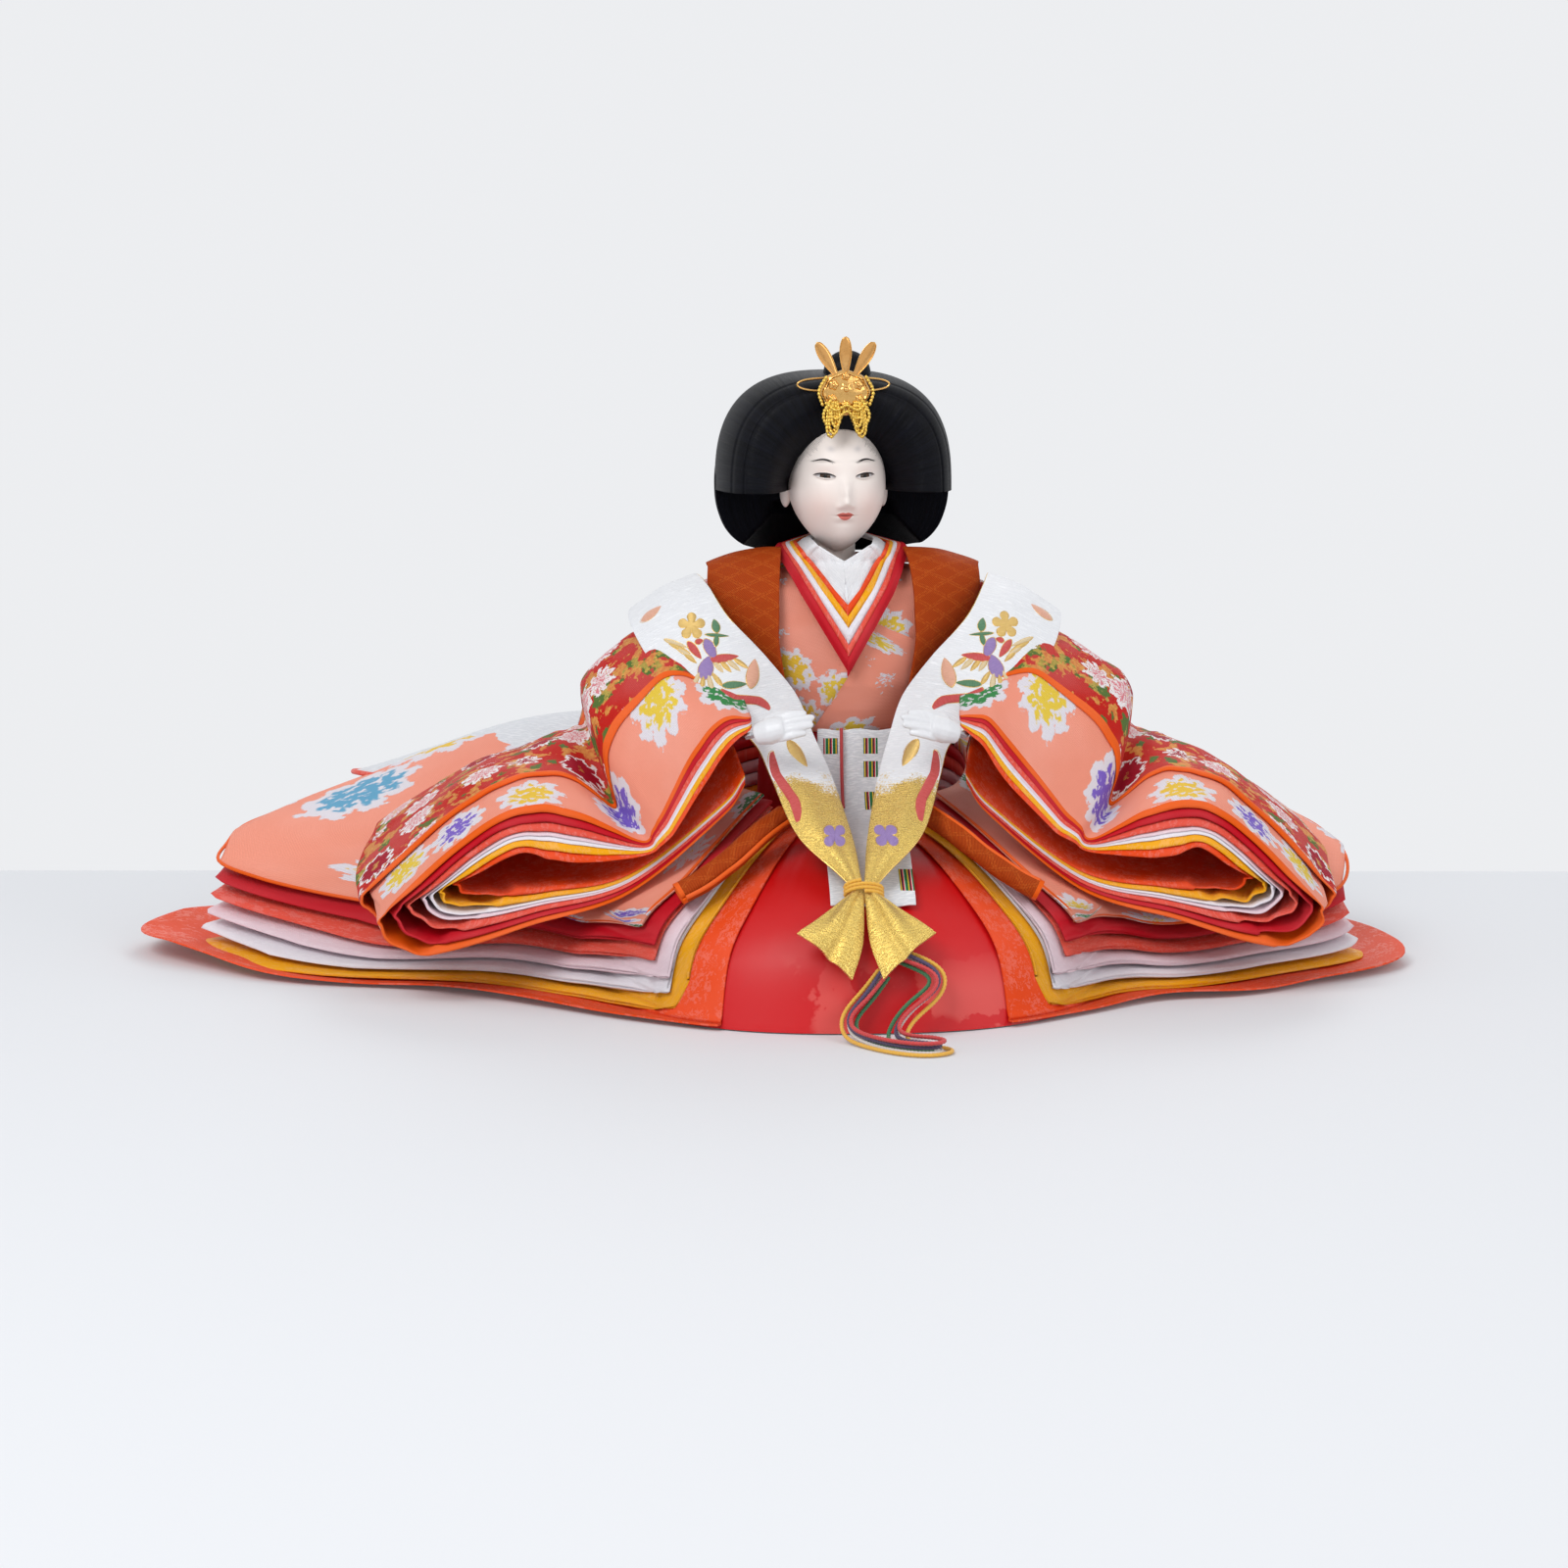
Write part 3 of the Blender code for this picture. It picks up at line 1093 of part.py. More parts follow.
# Hair: rings from the crown down, as shares of the drop from crown to lobe foot, width and depth
HAIR_RING_SHARES = (
    (0.0, 0.12, 0.12), (0.02, 0.35, 0.40), (0.08, 0.60, 0.66), (0.18, 0.81, 0.84), (0.33, 0.93, 0.95),
    (0.50, 0.99, 1.0), (0.64, 1.0, 0.98), (0.75, 0.975, 0.92), (0.86, 0.90, 0.84), (0.94, 0.76, 0.72),
    (1.0, 0.50, 0.50))
HAIR_COLUMNS = 20
HAIR_PLAN_POWER = 2.3
FACE_CUT_SEGMENTS = 20


def superellipse(angle, half_width, half_depth, power):
    c = math.cos(angle)
    s = math.sin(angle)
    return (half_width * math.copysign(abs(c) ** (2 / power), c),
            half_depth * math.copysign(abs(s) ** (2 / power), s))


def build_hair():
    """One wig: front wings that stand out beside the face and lobes that drop behind the ears."""
    bm = bmesh.new()
    rings = []
    for drop, width, depth in HAIR_RING_SHARES:
        z = HAIR_CROWN_Z + (HAIR_LOBE_FOOT_Z - HAIR_CROWN_Z) * drop
        ring = []
        for k in range(HAIR_COLUMNS):
            x, y = superellipse(2 * math.pi * k / HAIR_COLUMNS, HAIR_HALF_WIDTH * width,
                                HAIR_HALF_DEPTH * depth, HAIR_PLAN_POWER)
            ring.append(bm.verts.new((x, y + HAIR_CENTRE_Y, z)))
        rings.append(ring)
    for a, b in zip(rings, rings[1:]):
        for k in range(HAIR_COLUMNS):
            n = (k + 1) % HAIR_COLUMNS
            bm.faces.new((a[k], b[k], b[n], a[n]))
    bm.faces.new(rings[0])
    bm.faces.new(list(reversed(rings[-1])))
    bmesh.ops.recalc_face_normals(bm, faces=bm.faces)
    hair = add_part("hair", mesh_from(bm, "hair"), HAIR_BLACK)

    front = HAIR_CENTRE_Y - HAIR_HALF_DEPTH - CUT_OVERRUN
    cuts = []
    bm = bmesh.new()
    low = HAIR_LOBE_FOOT_Z - CUT_OVERRUN
    bmesh.ops.create_cube(bm, size=1.0)
    middle = Vector((0.0, (HAIR_LOBE_FRONT_Y + front) / 2, (HAIR_WING_FOOT_Z + low) / 2))
    size = Vector((HAIR_HALF_WIDTH * 3, HAIR_LOBE_FRONT_Y - front, HAIR_WING_FOOT_Z - low))
    bmesh.ops.scale(bm, verts=bm.verts, vec=size)
    bmesh.ops.translate(bm, verts=bm.verts, vec=middle)
    cuts.append(("hair_under_wings", mesh_from(bm, "hair_under_wings")))

    bm = bmesh.new()
    bmesh.ops.create_cone(bm, cap_ends=True, segments=FACE_CUT_SEGMENTS, radius1=1.0, radius2=1.0,
                          depth=HAIR_FACE_REACH_Y - front, matrix=Matrix.Rotation(math.radians(90.0), 4, "X"))
    face_height = HAIR_FACE_TOP_Z - HAIR_WING_FOOT_Z
    for v in bm.verts:
        v.co.x *= HAIR_FACE_HALF_WIDTH
        v.co.z *= face_height
    bmesh.ops.translate(bm, verts=bm.verts, vec=(0.0, (HAIR_FACE_REACH_Y + front) / 2, HAIR_WING_FOOT_Z))
    cuts.append(("hair_face", mesh_from(bm, "hair_face")))
    cuts.append(("hair_head", head_mesh("hair_head", GAP)))
    cuts.append(("hair_neck", cone_mesh("hair_neck", HAIR_NECK_FOOT_RADIUS, HAIR_NECK_RADIUS, low,
                                        HAIR_NECK_TOP_Z, sides=28)))
    for name, mesh in cuts:
        cutter = add_cutter(name, mesh)
        boolean(hair, cutter, "DIFFERENCE")
        cutter.matrix_world = Matrix.Rotation(HEAD_TURN, 4, "Z")

    bm = bmesh.new()
    bmesh.ops.create_uvsphere(bm, u_segments=14, v_segments=10, radius=TOPKNOT_RADIUS,
                              matrix=Matrix.Translation((0.0, TOPKNOT_Y, TOPKNOT_Z)))
    knot = add_cutter("topknot", mesh_from(bm, "topknot"))
    boolean(hair, knot, "UNION")
    knot.matrix_world = Matrix.Rotation(HEAD_TURN, 4, "Z")
    bm = bmesh.new()
    bmesh.ops.create_cube(bm, size=1.0)
    bmesh.ops.scale(bm, verts=bm.verts, vec=(TAIL_HALF_WIDTH * 2, TAIL_THICKNESS, TAIL_TOP_Z - TAIL_FOOT_Z))
    middle = Vector((0.0, TAIL_FRONT_Y + TAIL_THICKNESS / 2, (TAIL_TOP_Z + TAIL_FOOT_Z) / 2))
    bmesh.ops.translate(bm, verts=bm.verts, vec=middle)
    tail = add_cutter("hair_tail", mesh_from(bm, "hair_tail"))
    boolean(hair, tail, "UNION")
    tail.matrix_world = Matrix.Rotation(HEAD_TURN, 4, "Z")
    pin_line = ((0.0, HAIR_CENTRE_Y - HAIR_HALF_DEPTH, PIN_Z), (0.0, PLATE_PIN_END_Y + GAP, PIN_Z))
    bore = add_cutter("pin_bore", tube_mesh("pin_bore", pin_line, PLATE_PIN_RADIUS + GAP))
    boolean(hair, bore, "DIFFERENCE")
    bore.matrix_world = Matrix.Rotation(HEAD_TURN, 4, "Z")
    turn_about_neck(hair)


def build_ornament():
    """The gold plate with its three prongs and rear pin, its hanging cord, and the wire hairpin behind it."""
    bm = bmesh.new()
    bmesh.ops.create_cone(bm, cap_ends=True, segments=20, radius1=1.0, radius2=0.72, depth=PLATE_THICKNESS,
                          matrix=Matrix.Rotation(math.radians(90.0), 4, "X"))
    for v in bm.verts:
        v.co.x *= PLATE_HALF_WIDTH
        v.co.z *= PLATE_HALF_HEIGHT
    bmesh.ops.translate(bm, verts=bm.verts, vec=(0.0, PLATE_Y, PLATE_Z))
    plate = add_part("ornament_plate", mesh_from(bm, "ornament_plate"), GOLD)
    for k, tilt in enumerate((-PRONG_SPREAD, 0.0, PRONG_SPREAD)):
        bm = bmesh.new()
        bmesh.ops.create_cone(bm, cap_ends=True, segments=14, radius1=1.0, radius2=1.0, depth=PRONG_THICKNESS,
                              matrix=Matrix.Rotation(math.radians(90.0), 4, "X"))
        for v in bm.verts:
            v.co.x *= PRONG_HALF_WIDTH
            v.co.z = v.co.z * PRONG_LENGTH / 2 + PRONG_LENGTH / 2 + PLATE_HALF_HEIGHT * 0.7
        bmesh.ops.rotate(bm, verts=bm.verts, cent=(0.0, 0.0, 0.0), matrix=Matrix.Rotation(tilt, 3, "Y"))
        bmesh.ops.translate(bm, verts=bm.verts, vec=(0.0, PLATE_Y, PLATE_Z))
        name = "prong_" + str(k + 1)
        prong = add_cutter(name, mesh_from(bm, name))
        boolean(plate, prong, "UNION")
        prong.matrix_world = Matrix.Rotation(HEAD_TURN, 4, "Z")
    pin_line = ((0.0, PLATE_Y, PIN_Z), (0.0, PLATE_PIN_END_Y, PIN_Z))
    pin = add_cutter("plate_pin", tube_mesh("plate_pin", pin_line, PLATE_PIN_RADIUS))
    boolean(plate, pin, "UNION")
    pin.matrix_world = Matrix.Rotation(HEAD_TURN, 4, "Z")
    turn_about_neck(plate)

    count = 24
    points = []
    for k in range(count):
        a = 2 * math.pi * k / count
        x = PIN_HALF_LENGTH * math.copysign(abs(math.cos(a)) ** 0.5, math.cos(a))
        points.append(Vector((x, PLATE_Y + PIN_BEHIND, PIN_Z + PIN_HALF_HEIGHT * math.sin(a))))
    turn_about_neck(add_tube("kogai_pin", points, PIN_WIRE_RADIUS, GOLD, closed=True, resolution=1))

    x = PLATE_HALF_WIDTH * 0.55
    y = PLATE_Y - PLATE_THICKNESS / 2 - LACE_RADIUS - TOUCH_GAP
    points = smooth_path(((-x, y, PLATE_Z - LACE_DROP * 0.1), (-x * 1.7, y, PLATE_Z - LACE_DROP * 0.6),
                          (-x, y, PLATE_Z - LACE_DROP), (-x * 0.35, y, PLATE_Z - LACE_DROP * 0.6),
                          (0.0, y, PLATE_Z - LACE_DROP * 0.25), (x * 0.35, y, PLATE_Z - LACE_DROP * 0.6),
                          (x, y, PLATE_Z - LACE_DROP), (x * 1.7, y, PLATE_Z - LACE_DROP * 0.6),
                          (x, y, PLATE_Z - LACE_DROP * 0.1)), 26)
    turn_about_neck(add_tube("ornament_cord", points, LACE_RADIUS, GOLD, resolution=1))


PIN_BEHIND = 0.0036
PLATE_PIN_END_Y = -0.0065

# Tying cords: the middle of the bundle, with the share of each point that leans on the lap's front
CORD_ROUTE = (
    ((0.0050, -0.1164, 0.0175), 1.0), ((0.0000, -0.1196, 0.0115), 1.0), ((-0.0056, -0.1230, 0.0060), 0.8),
    ((-0.0052, -0.1290, 0.0022), 0.4), ((0.0000, -0.1370, 0.00075), 0.0), ((0.0075, -0.1460, 0.00075), 0.0),
    ((0.0155, -0.1498, 0.00075), 0.0), ((0.0207, -0.1458, 0.00075), 0.0), ((0.0160, -0.1412, 0.00075), 0.0),
    ((0.0105, -0.1392, 0.00075), 0.0), ((0.0072, -0.1350, 0.0012), 0.1), ((0.0080, -0.1295, 0.0038), 0.4),
    ((0.0125, -0.1250, 0.0085), 0.8), ((0.0190, -0.1222, 0.0130), 1.0), ((0.0212, -0.1202, 0.0170), 1.0),
    ((0.0170, -0.1180, 0.0198), 1.0), ((0.0100, -0.1164, 0.0225), 1.0))
CORD_STRANDS = (("cord_yellow", YELLOW_SILK, -1, 0), ("cord_white", WHITE_SILK, 0, 0),
                ("cord_green", ((0.0, 0.25, 0.06), 0.6), 1, 0), ("cord_navy", ((0.012, 0.015, 0.08), 0.6), -0.5, 1),
                ("cord_red", ((0.70, 0.02, 0.02), 0.6), 0.5, 1))
CORD_SIDE_STEP = 0.00182
CORD_PILE_STEP = 0.00150
CORD_POINTS = 34


def strand_route(side_steps, pile_steps):
    """The route's points moved sideways and outward for one strand of the bundle."""
    places = [Vector(p) for p, wall in CORD_ROUTE]
    moved = []
    for i, (place, wall) in enumerate(CORD_ROUTE):
        before = places[max(i - 1, 0)]
        after = places[min(i + 1, len(places) - 1)]
        along = (after - before).normalized()
        out = Vector((0.0, -wall, 1.0 - 0.7 * wall)).normalized()
        side = out.cross(along).normalized()
        moved.append(Vector(place) + side * CORD_SIDE_STEP * side_steps + out * CORD_PILE_STEP * pile_steps)
    return moved


def build_cords():
    for name, look, side_steps, pile_steps in CORD_STRANDS:
        points = smooth_path(strand_route(side_steps, pile_steps), CORD_POINTS)
        add_tube(name, points, CORD_RADIUS, look)


build_body()
build_hands()
build_lap_pad()
build_skirts()
build_train()
build_torso()
build_collars()
build_jacket_collar()
build_sleeves()
build_hire()
build_sash()
build_rolls()
build_head()
build_hair()
build_ornament()
build_cords()
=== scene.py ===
"""The seated court-lady doll, dressed over its CAD frame.

Metres, +Z up. The doll faces -Y, and its own left is at +X. Cloth UVs are in millimetres of cloth, so a
weave or a figure keeps its real size.
"""

import math

import bmesh
import bpy
import numpy as np
from mathutils import Matrix, Vector, noise
from mathutils.bvhtree import BVHTree


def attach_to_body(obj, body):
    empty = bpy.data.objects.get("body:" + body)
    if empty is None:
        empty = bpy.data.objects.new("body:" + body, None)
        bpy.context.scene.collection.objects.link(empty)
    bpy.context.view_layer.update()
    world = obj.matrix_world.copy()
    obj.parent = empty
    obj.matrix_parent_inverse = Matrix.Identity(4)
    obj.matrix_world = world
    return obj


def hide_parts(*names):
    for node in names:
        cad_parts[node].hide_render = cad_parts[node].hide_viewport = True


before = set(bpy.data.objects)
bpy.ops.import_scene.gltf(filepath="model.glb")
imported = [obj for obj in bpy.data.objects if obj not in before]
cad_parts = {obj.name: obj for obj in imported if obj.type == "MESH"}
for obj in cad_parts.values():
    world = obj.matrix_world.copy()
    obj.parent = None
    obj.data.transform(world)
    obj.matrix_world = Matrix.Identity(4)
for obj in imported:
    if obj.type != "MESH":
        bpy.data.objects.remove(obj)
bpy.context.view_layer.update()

MM = 0.001
BODY = "doll"

# Camera, as the photograph was taken
CAMERA_PLACE = Vector((-0.08194, -1.22532, 0.22897))
CAMERA_TARGET = Vector((-0.01768, 0.00093, 0.0564))
CAMERA_LENS = 90.0
CAMERA_SENSOR = 36.0

# Robe stack
HEM_HALF_WIDTH = 0.200
HEM_HALF_DEPTH = 0.150
HEM_HEIGHT = 0.050
LAP_CENTRE_Y = -0.020
LAP_HALF_WIDTH = 0.080
LAP_FRONT_DEPTH = 0.099
LAP_BACK_DEPTH = 0.082
LAP_HEIGHT = 0.0500
LAP_PLAN_POWER = 2.4
LAP_SIDE_FALL_SHARE = 0.5
LAP_RING_SHARES = (0.0, 0.50, 0.78, 0.93, 1.0)
LAP_RISE_SHARES = (1.0, 0.92, 0.71, 0.43, 0.0)
OUTER_RING_SHARES = (0.10, 0.45, 1.0)
SWEEP_SHARES = (0.45, 0.58, 0.79, 0.97, 1.0)
SWEEP_REACH = 4.0
WAIST_HALF_WIDTH = 0.0245
WAIST_HALF_DEPTH = 0.0240
GAP = 0.0004
FLOOR_GAP = 0.0006
TROUSER_CLOTH = 0.0010
UNDER_ROBE_CLOTH = 0.0009
LEAST_STACK = 0.0072

# Sleeves
SLEEVE_HUMP_X = 0.100
SLEEVE_ELBOW_Z = 0.100
SLEEVE_REST_GAP = 0.0016
LEFT_VALLEY_SHIFT = 0.0080

# Torso
TORSO_FOOT_Z = 0.0768
TORSO_TOP_Z = 0.1270
TORSO_HALF_WIDTH = 0.0440
TORSO_HALF_DEPTH = 0.0285
TORSO_CENTRE_Y = -0.0070

# Head
HEAD_HALF_WIDTH = 0.0152
HEAD_HALF_DEPTH = 0.0185
HEAD_HALF_HEIGHT = 0.0212
HEAD_CENTRE_Y = -0.0045
HEAD_CENTRE_Z = 0.1520
CHIN_NARROW_SHARE = 0.34
NECK_RADIUS = 0.0066
NECK_FOOT_Z = 0.1174
EYE_SPACING = 0.0124
EYE_Z = 0.1549

STACK_EDGE_SHARES = (
    (0.0, -0.80), (0.12, -0.795), (0.22, -0.74), (0.34, -0.62), (0.455, -0.50), (0.58, -0.46),
    (0.70, -0.36), (0.885, -0.14), (0.86, 0.24), (0.76, 0.64), (0.56, 0.96), (0.28, 1.09),
    (0.0, 1.11), (-0.30, 1.09), (-0.60, 0.97), (-0.875, 0.70), (-1.06, 0.42), (-1.115, 0.15),
    (-0.985, -0.08), (-0.855, -0.22), (-0.655, -0.31), (-0.485, -0.48), (-0.35, -0.63),
    (-0.22, -0.745), (-0.12, -0.795))
STACK_TOP_SHARES = (
    (0.13, 0.0, 1.48), (-0.13, 0.0, 1.48), (0.0, 0.18, 1.50), (0.06, -0.15, 1.34), (-0.06, -0.15, 1.34),
    (0.11, -0.52, 1.06), (-0.11, -0.52, 1.06), (0.0, -0.80, 0.50), (0.255, -0.50, 0.80),
    (-0.255, -0.50, 0.78), (0.32, -0.57, 0.62), (-0.32, -0.57, 0.62), (0.49, -0.42, 0.40),
    (-0.49, -0.42, 0.38), (0.65, -0.30, 0.40), (-0.65, -0.24, 0.38), (0.75, -0.07, 0.56),
    (-0.75, -0.07, 0.50), (-0.87, 0.13, 0.68), (0.835, 0.10, 0.78), (-0.985, 0.28, 0.83),
    (0.70, 0.40, 0.98), (-0.80, 0.40, 0.98), (0.56, 0.47, 1.20), (-0.69, 0.47, 1.13),
    (-0.56, 0.47, 1.22), (0.30, 0.50, 1.32), (-0.30, 0.50, 1.32), (0.42, 0.05, 1.02),
    (-0.42, 0.05, 1.02), (0.0, 0.60, 1.26), (0.50, 0.87, 0.84), (-0.60, 0.87, 0.86),
    (0.0, 1.0, 0.86), (0.25, -0.10, 1.20), (-0.25, -0.10, 1.20))
# Station along the outline, then the rings that the lowest and the top robes reach
END_RING_SHARES = (
    (0, 0, 0), (1.95, 0, 0), (2.4, 3.43, 3.29), (2.6, 4.16, 3.64), (2.8, 5.07, 3.86), (3, 5.45, 4),
    (3.4, 5.91, 4.8), (4, 6.27, 5.57), (6, 6.71, 6.22), (7, 6.78, 6.49), (7.6, 6.64, 6.82),
    (8.6, 6.64, 6.64), (15.2, 6.64, 6.64), (16.4, 6.64, 6.72), (17.2, 6.75, 6.53), (18, 6.94, 6.25),
    (19, 6.82, 6.16), (21, 6.27, 5.57), (21.6, 5.91, 4.8), (22, 5.45, 4), (22.2, 5.07, 3.86),
    (22.4, 4.16, 3.64), (22.6, 3.43, 3.29), (23.05, 0, 0), (25, 0, 0))

# Each sleeve row is the outer face then the inner face, from the arm over the hump and back underneath
SLEEVE_OUTER_SHARES = (
    ((0.31, 0.87), (0.4, 0.875), (0.49, 0.78), (0.58, 0.6), (0.61, 0.54), (0.64, 0.5), (0.8, 0.595),
     (0.96, 0.634), (1.15, 0.55), (1.43, 0.295), (1.475, 0.21), (1.385, 0.13), (1.24, 0.14),
     (0.98, 0.226), (0.68, 0.327), (0.4, 0.56), (0.33, 0.66)),
    ((0.33, 0.93), (0.45, 0.965), (0.57, 0.985), (0.73, 0.82), (0.75, 0.7), (0.72, 0.58),
     (0.84, 0.67), (0.98, 0.68), (1.17, 0.6), (1.45, 0.345), (1.49, 0.27), (1.4, 0.22), (1.24, 0.22),
     (0.98, 0.28), (0.7, 0.38), (0.43, 0.64), (0.35, 0.74)),
    ((0.38, 1.02), (0.48, 1.075), (0.62, 1.08), (0.8, 0.95), (0.81, 0.84), (0.785, 0.76),
     (0.88, 0.74), (1, 0.71), (1.2, 0.62), (1.475, 0.41), (1.5, 0.35), (1.42, 0.31), (1.22, 0.33),
     (0.98, 0.4), (0.74, 0.5), (0.5, 0.76), (0.42, 0.84)),
    ((0.48, 1.03), (0.54, 1.07), (0.64, 1.06), (0.78, 0.93), (0.805, 0.83), (0.82, 0.77),
     (0.9, 0.74), (1.01, 0.7), (1.19, 0.63), (1.44, 0.47), (1.45, 0.44), (1.38, 0.42), (1.2, 0.45),
     (0.98, 0.53), (0.8, 0.61), (0.57, 0.84), (0.49, 0.92)))
SLEEVE_INNER_SHARES = (
    ((0.31, 0.835), (0.375, 0.78), (0.45, 0.67), (0.54, 0.525), (0.58, 0.485), (0.625, 0.455),
     (0.79, 0.435), (0.91, 0.445), (1, 0.465), (1.135, 0.4), (1.155, 0.385), (1.13, 0.36),
     (1.03, 0.36), (0.916, 0.36), (0.68, 0.4), (0.41, 0.6), (0.33, 0.695)),
    ((0.345, 0.885), (0.455, 0.92), (0.55, 0.925), (0.65, 0.74), (0.67, 0.64), (0.695, 0.53),
     (0.83, 0.58), (0.95, 0.58), (1.08, 0.52), (1.22, 0.43), (1.23, 0.42), (1.2, 0.39), (1.09, 0.38),
     (0.93, 0.39), (0.71, 0.45), (0.45, 0.7), (0.37, 0.785)),
    ((0.4, 0.975), (0.495, 1.025), (0.6, 1.02), (0.73, 0.87), (0.745, 0.78), (0.755, 0.705),
     (0.87, 0.66), (0.98, 0.63), (1.13, 0.56), (1.29, 0.465), (1.31, 0.465), (1.27, 0.44),
     (1.13, 0.43), (0.95, 0.47), (0.76, 0.57), (0.51, 0.81), (0.435, 0.885)),
    ((0.485, 1.006), (0.545, 1.026), (0.615, 1.005), (0.72, 0.87), (0.75, 0.79), (0.8, 0.72),
     (0.89, 0.675), (0.99, 0.64), (1.13, 0.58), (1.275, 0.51), (1.29, 0.51), (1.25, 0.49),
     (1.13, 0.5), (0.97, 0.57), (0.81, 0.65), (0.58, 0.87), (0.5, 0.945)))
SLEEVE_LIP_SHARES = (1, 1, 1, 1, 1, 1, 1, 1, 1, 0.4, 0, -0.6, -1, -1, -1, -1, -1)
SLEEVE_ROWS_Y = (-0.070, -0.050, -0.028, -0.006)
VALLEY_SHIFT_SHARES = (0, 0, 0, 0.6, 0.9, 1, 0.9, 0.7, 0.4, 0, 0, 0, 0, 0, 0, 0, 0)

# Torso rings: share of the height, half width, half depth and middle
TORSO_RING_SHARES = (
    (0.0, 0.58, 0.86, 1.0), (0.15, 0.61, 0.95, 1.0), (0.30, 0.68, 1.0, 1.0), (0.455, 0.80, 0.96, 1.0),
    (0.605, 0.92, 0.90, 1.0), (0.76, 0.99, 0.80, 1.0), (0.87, 0.96, 0.70, 0.95), (0.95, 0.72, 0.48, 0.60),
    (1.0, 0.38, 0.40, 0.20))


# Curves and surfaces
def along(table, places):
    """Points on a smooth curve through a table's rows, at fractional row numbers."""
    rows = np.asarray(table, float)
    padded = np.concatenate([2 * rows[:1] - rows[1:2], rows, 2 * rows[-1:] - rows[-2:-1]])
    t = np.clip(np.asarray(places, float), 0.0, len(rows) - 1.0)
    i = np.minimum(t.astype(int), len(rows) - 2)
    f = (t - i).reshape((-1,) + (1,) * (rows.ndim - 1))
    a, b, c, d = padded[i], padded[i + 1], padded[i + 2], padded[i + 3]
    return 0.5 * (2 * b + (c - a) * f + (2 * a - 5 * b + 4 * c - d) * f ** 2 + (3 * b - a - 3 * c + d)
                  * f ** 3)


def even(points, count):
    """The same number of even steps along a smooth curve through given points."""
    fine = along(points, np.linspace(0, len(points) - 1, len(points) * 12))
    lengths = np.concatenate([[0.0], np.cumsum(np.linalg.norm(np.diff(fine, axis=0), axis=1))])
    wanted = np.linspace(0, lengths[-1], count)
    return np.stack([np.interp(wanted, lengths, fine[:, k]) for k in range(3)], axis=1)


def cloth_uv(grid):
    """Cloth coordinates in millimetres for a grid of points: along each row, and down each column."""
    u = np.zeros(grid.shape[:2])
    v = np.zeros(grid.shape[:2])
    u[:, 1:] = np.cumsum(np.linalg.norm(np.diff(grid, axis=1), axis=2), axis=1)
    v[1:] = np.cumsum(np.linalg.norm(np.diff(grid, axis=0), axis=2), axis=0)
    u = np.broadcast_to(u.mean(axis=0), u.shape)
    v = np.broadcast_to(v.mean(axis=1)[:, None], v.shape)
    return np.stack([u, v], axis=2) / MM


def linked(name, data):
    """A new object in the scene."""
    item = bpy.data.objects.new(name, data)
    bpy.context.scene.collection.objects.link(item)
    return item


def edit_mesh(item, *changes):
    """Runs changes on a piece's mesh, then turns its faces outward."""
    bm = bmesh.new()
    bm.from_mesh(item.data)
    for change in changes:
        change(bm)
    bmesh.ops.recalc_face_normals(bm, faces=bm.faces)
    bm.to_mesh(item.data)
    bm.free()
    return item


def close_ends(item):
    """Fills the open ends of a piece, so that it is a closed solid."""
    def fill(bm):
        edges = [e for e in bm.edges if e.is_boundary]
        if edges:
            bmesh.ops.holes_fill(bm, edges=edges, sides=0)

    return edit_mesh(item, fill)


def attach(item, node=None, body=BODY):
    """Fixes a piece to its body, in place of a CAD node where one is named."""
    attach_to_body(item, body)
    if node:
        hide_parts(node)
    return item


def surface(name, grid, look, uv=None, ring=False, tube=False, spots=()):
    """A smooth-shaded sheet over a grid of points; ring joins its columns and tube its rows.

    spots gives some faces another material: pairs of a row range and a material."""
    grid = np.asarray(grid, float)
    rows, cols = grid.shape[:2]
    uv = cloth_uv(grid) if uv is None else uv
    faces = []
    shown = []
    for i in range(rows if tube else rows - 1):
        for j in range(cols if ring else cols - 1):
            k = (i + 1) % rows
            m = (j + 1) % cols
            faces.append((i * cols + j, k * cols + j, k * cols + m, i * cols + m))
            shown.append(((i, j), (i + 1, j), (i + 1, j + 1), (i, j + 1)))
    mesh = bpy.data.meshes.new(name)
    mesh.from_pydata(grid.reshape(-1, 3).tolist(), [], faces)
    layer = mesh.uv_layers.new(name="cloth")
    flat = []
    for corners in shown:
        for i, j in corners:
            u, v = uv[min(i, rows - 1), min(j, cols - 1)]
            flat += [u, v]
    layer.data.foreach_set("uv", flat)
    mesh.materials.append(look)
    if spots:
        indices = np.zeros(len(faces), int)
        for number, (low, high, other) in enumerate(spots, 1):
            mesh.materials.append(other)
            for f, corners in enumerate(shown):
                if low <= corners[0][0] < high:
                    indices[f] = number
        mesh.polygons.foreach_set("material_index", indices.tolist())
    mesh.update()
    mesh.shade_smooth()
    return linked(name, mesh)


def frames_along(points):
    """A steady pair of cross directions at each point of a path."""
    ways = np.gradient(points, axis=0)
    ways /= np.linalg.norm(ways, axis=1)[:, None]
    side = np.cross(ways[0], (0.0, 0.0, 1.0))
    if np.linalg.norm(side) < 0.1:
        side = np.cross(ways[0], (0.0, 1.0, 0.0))
    sides = []
    for way in ways:
        side = side - way * float(side @ way)
        side = side / np.linalg.norm(side)
        sides.append(side)
    sides = np.array(sides)
    return sides, np.cross(ways, sides)


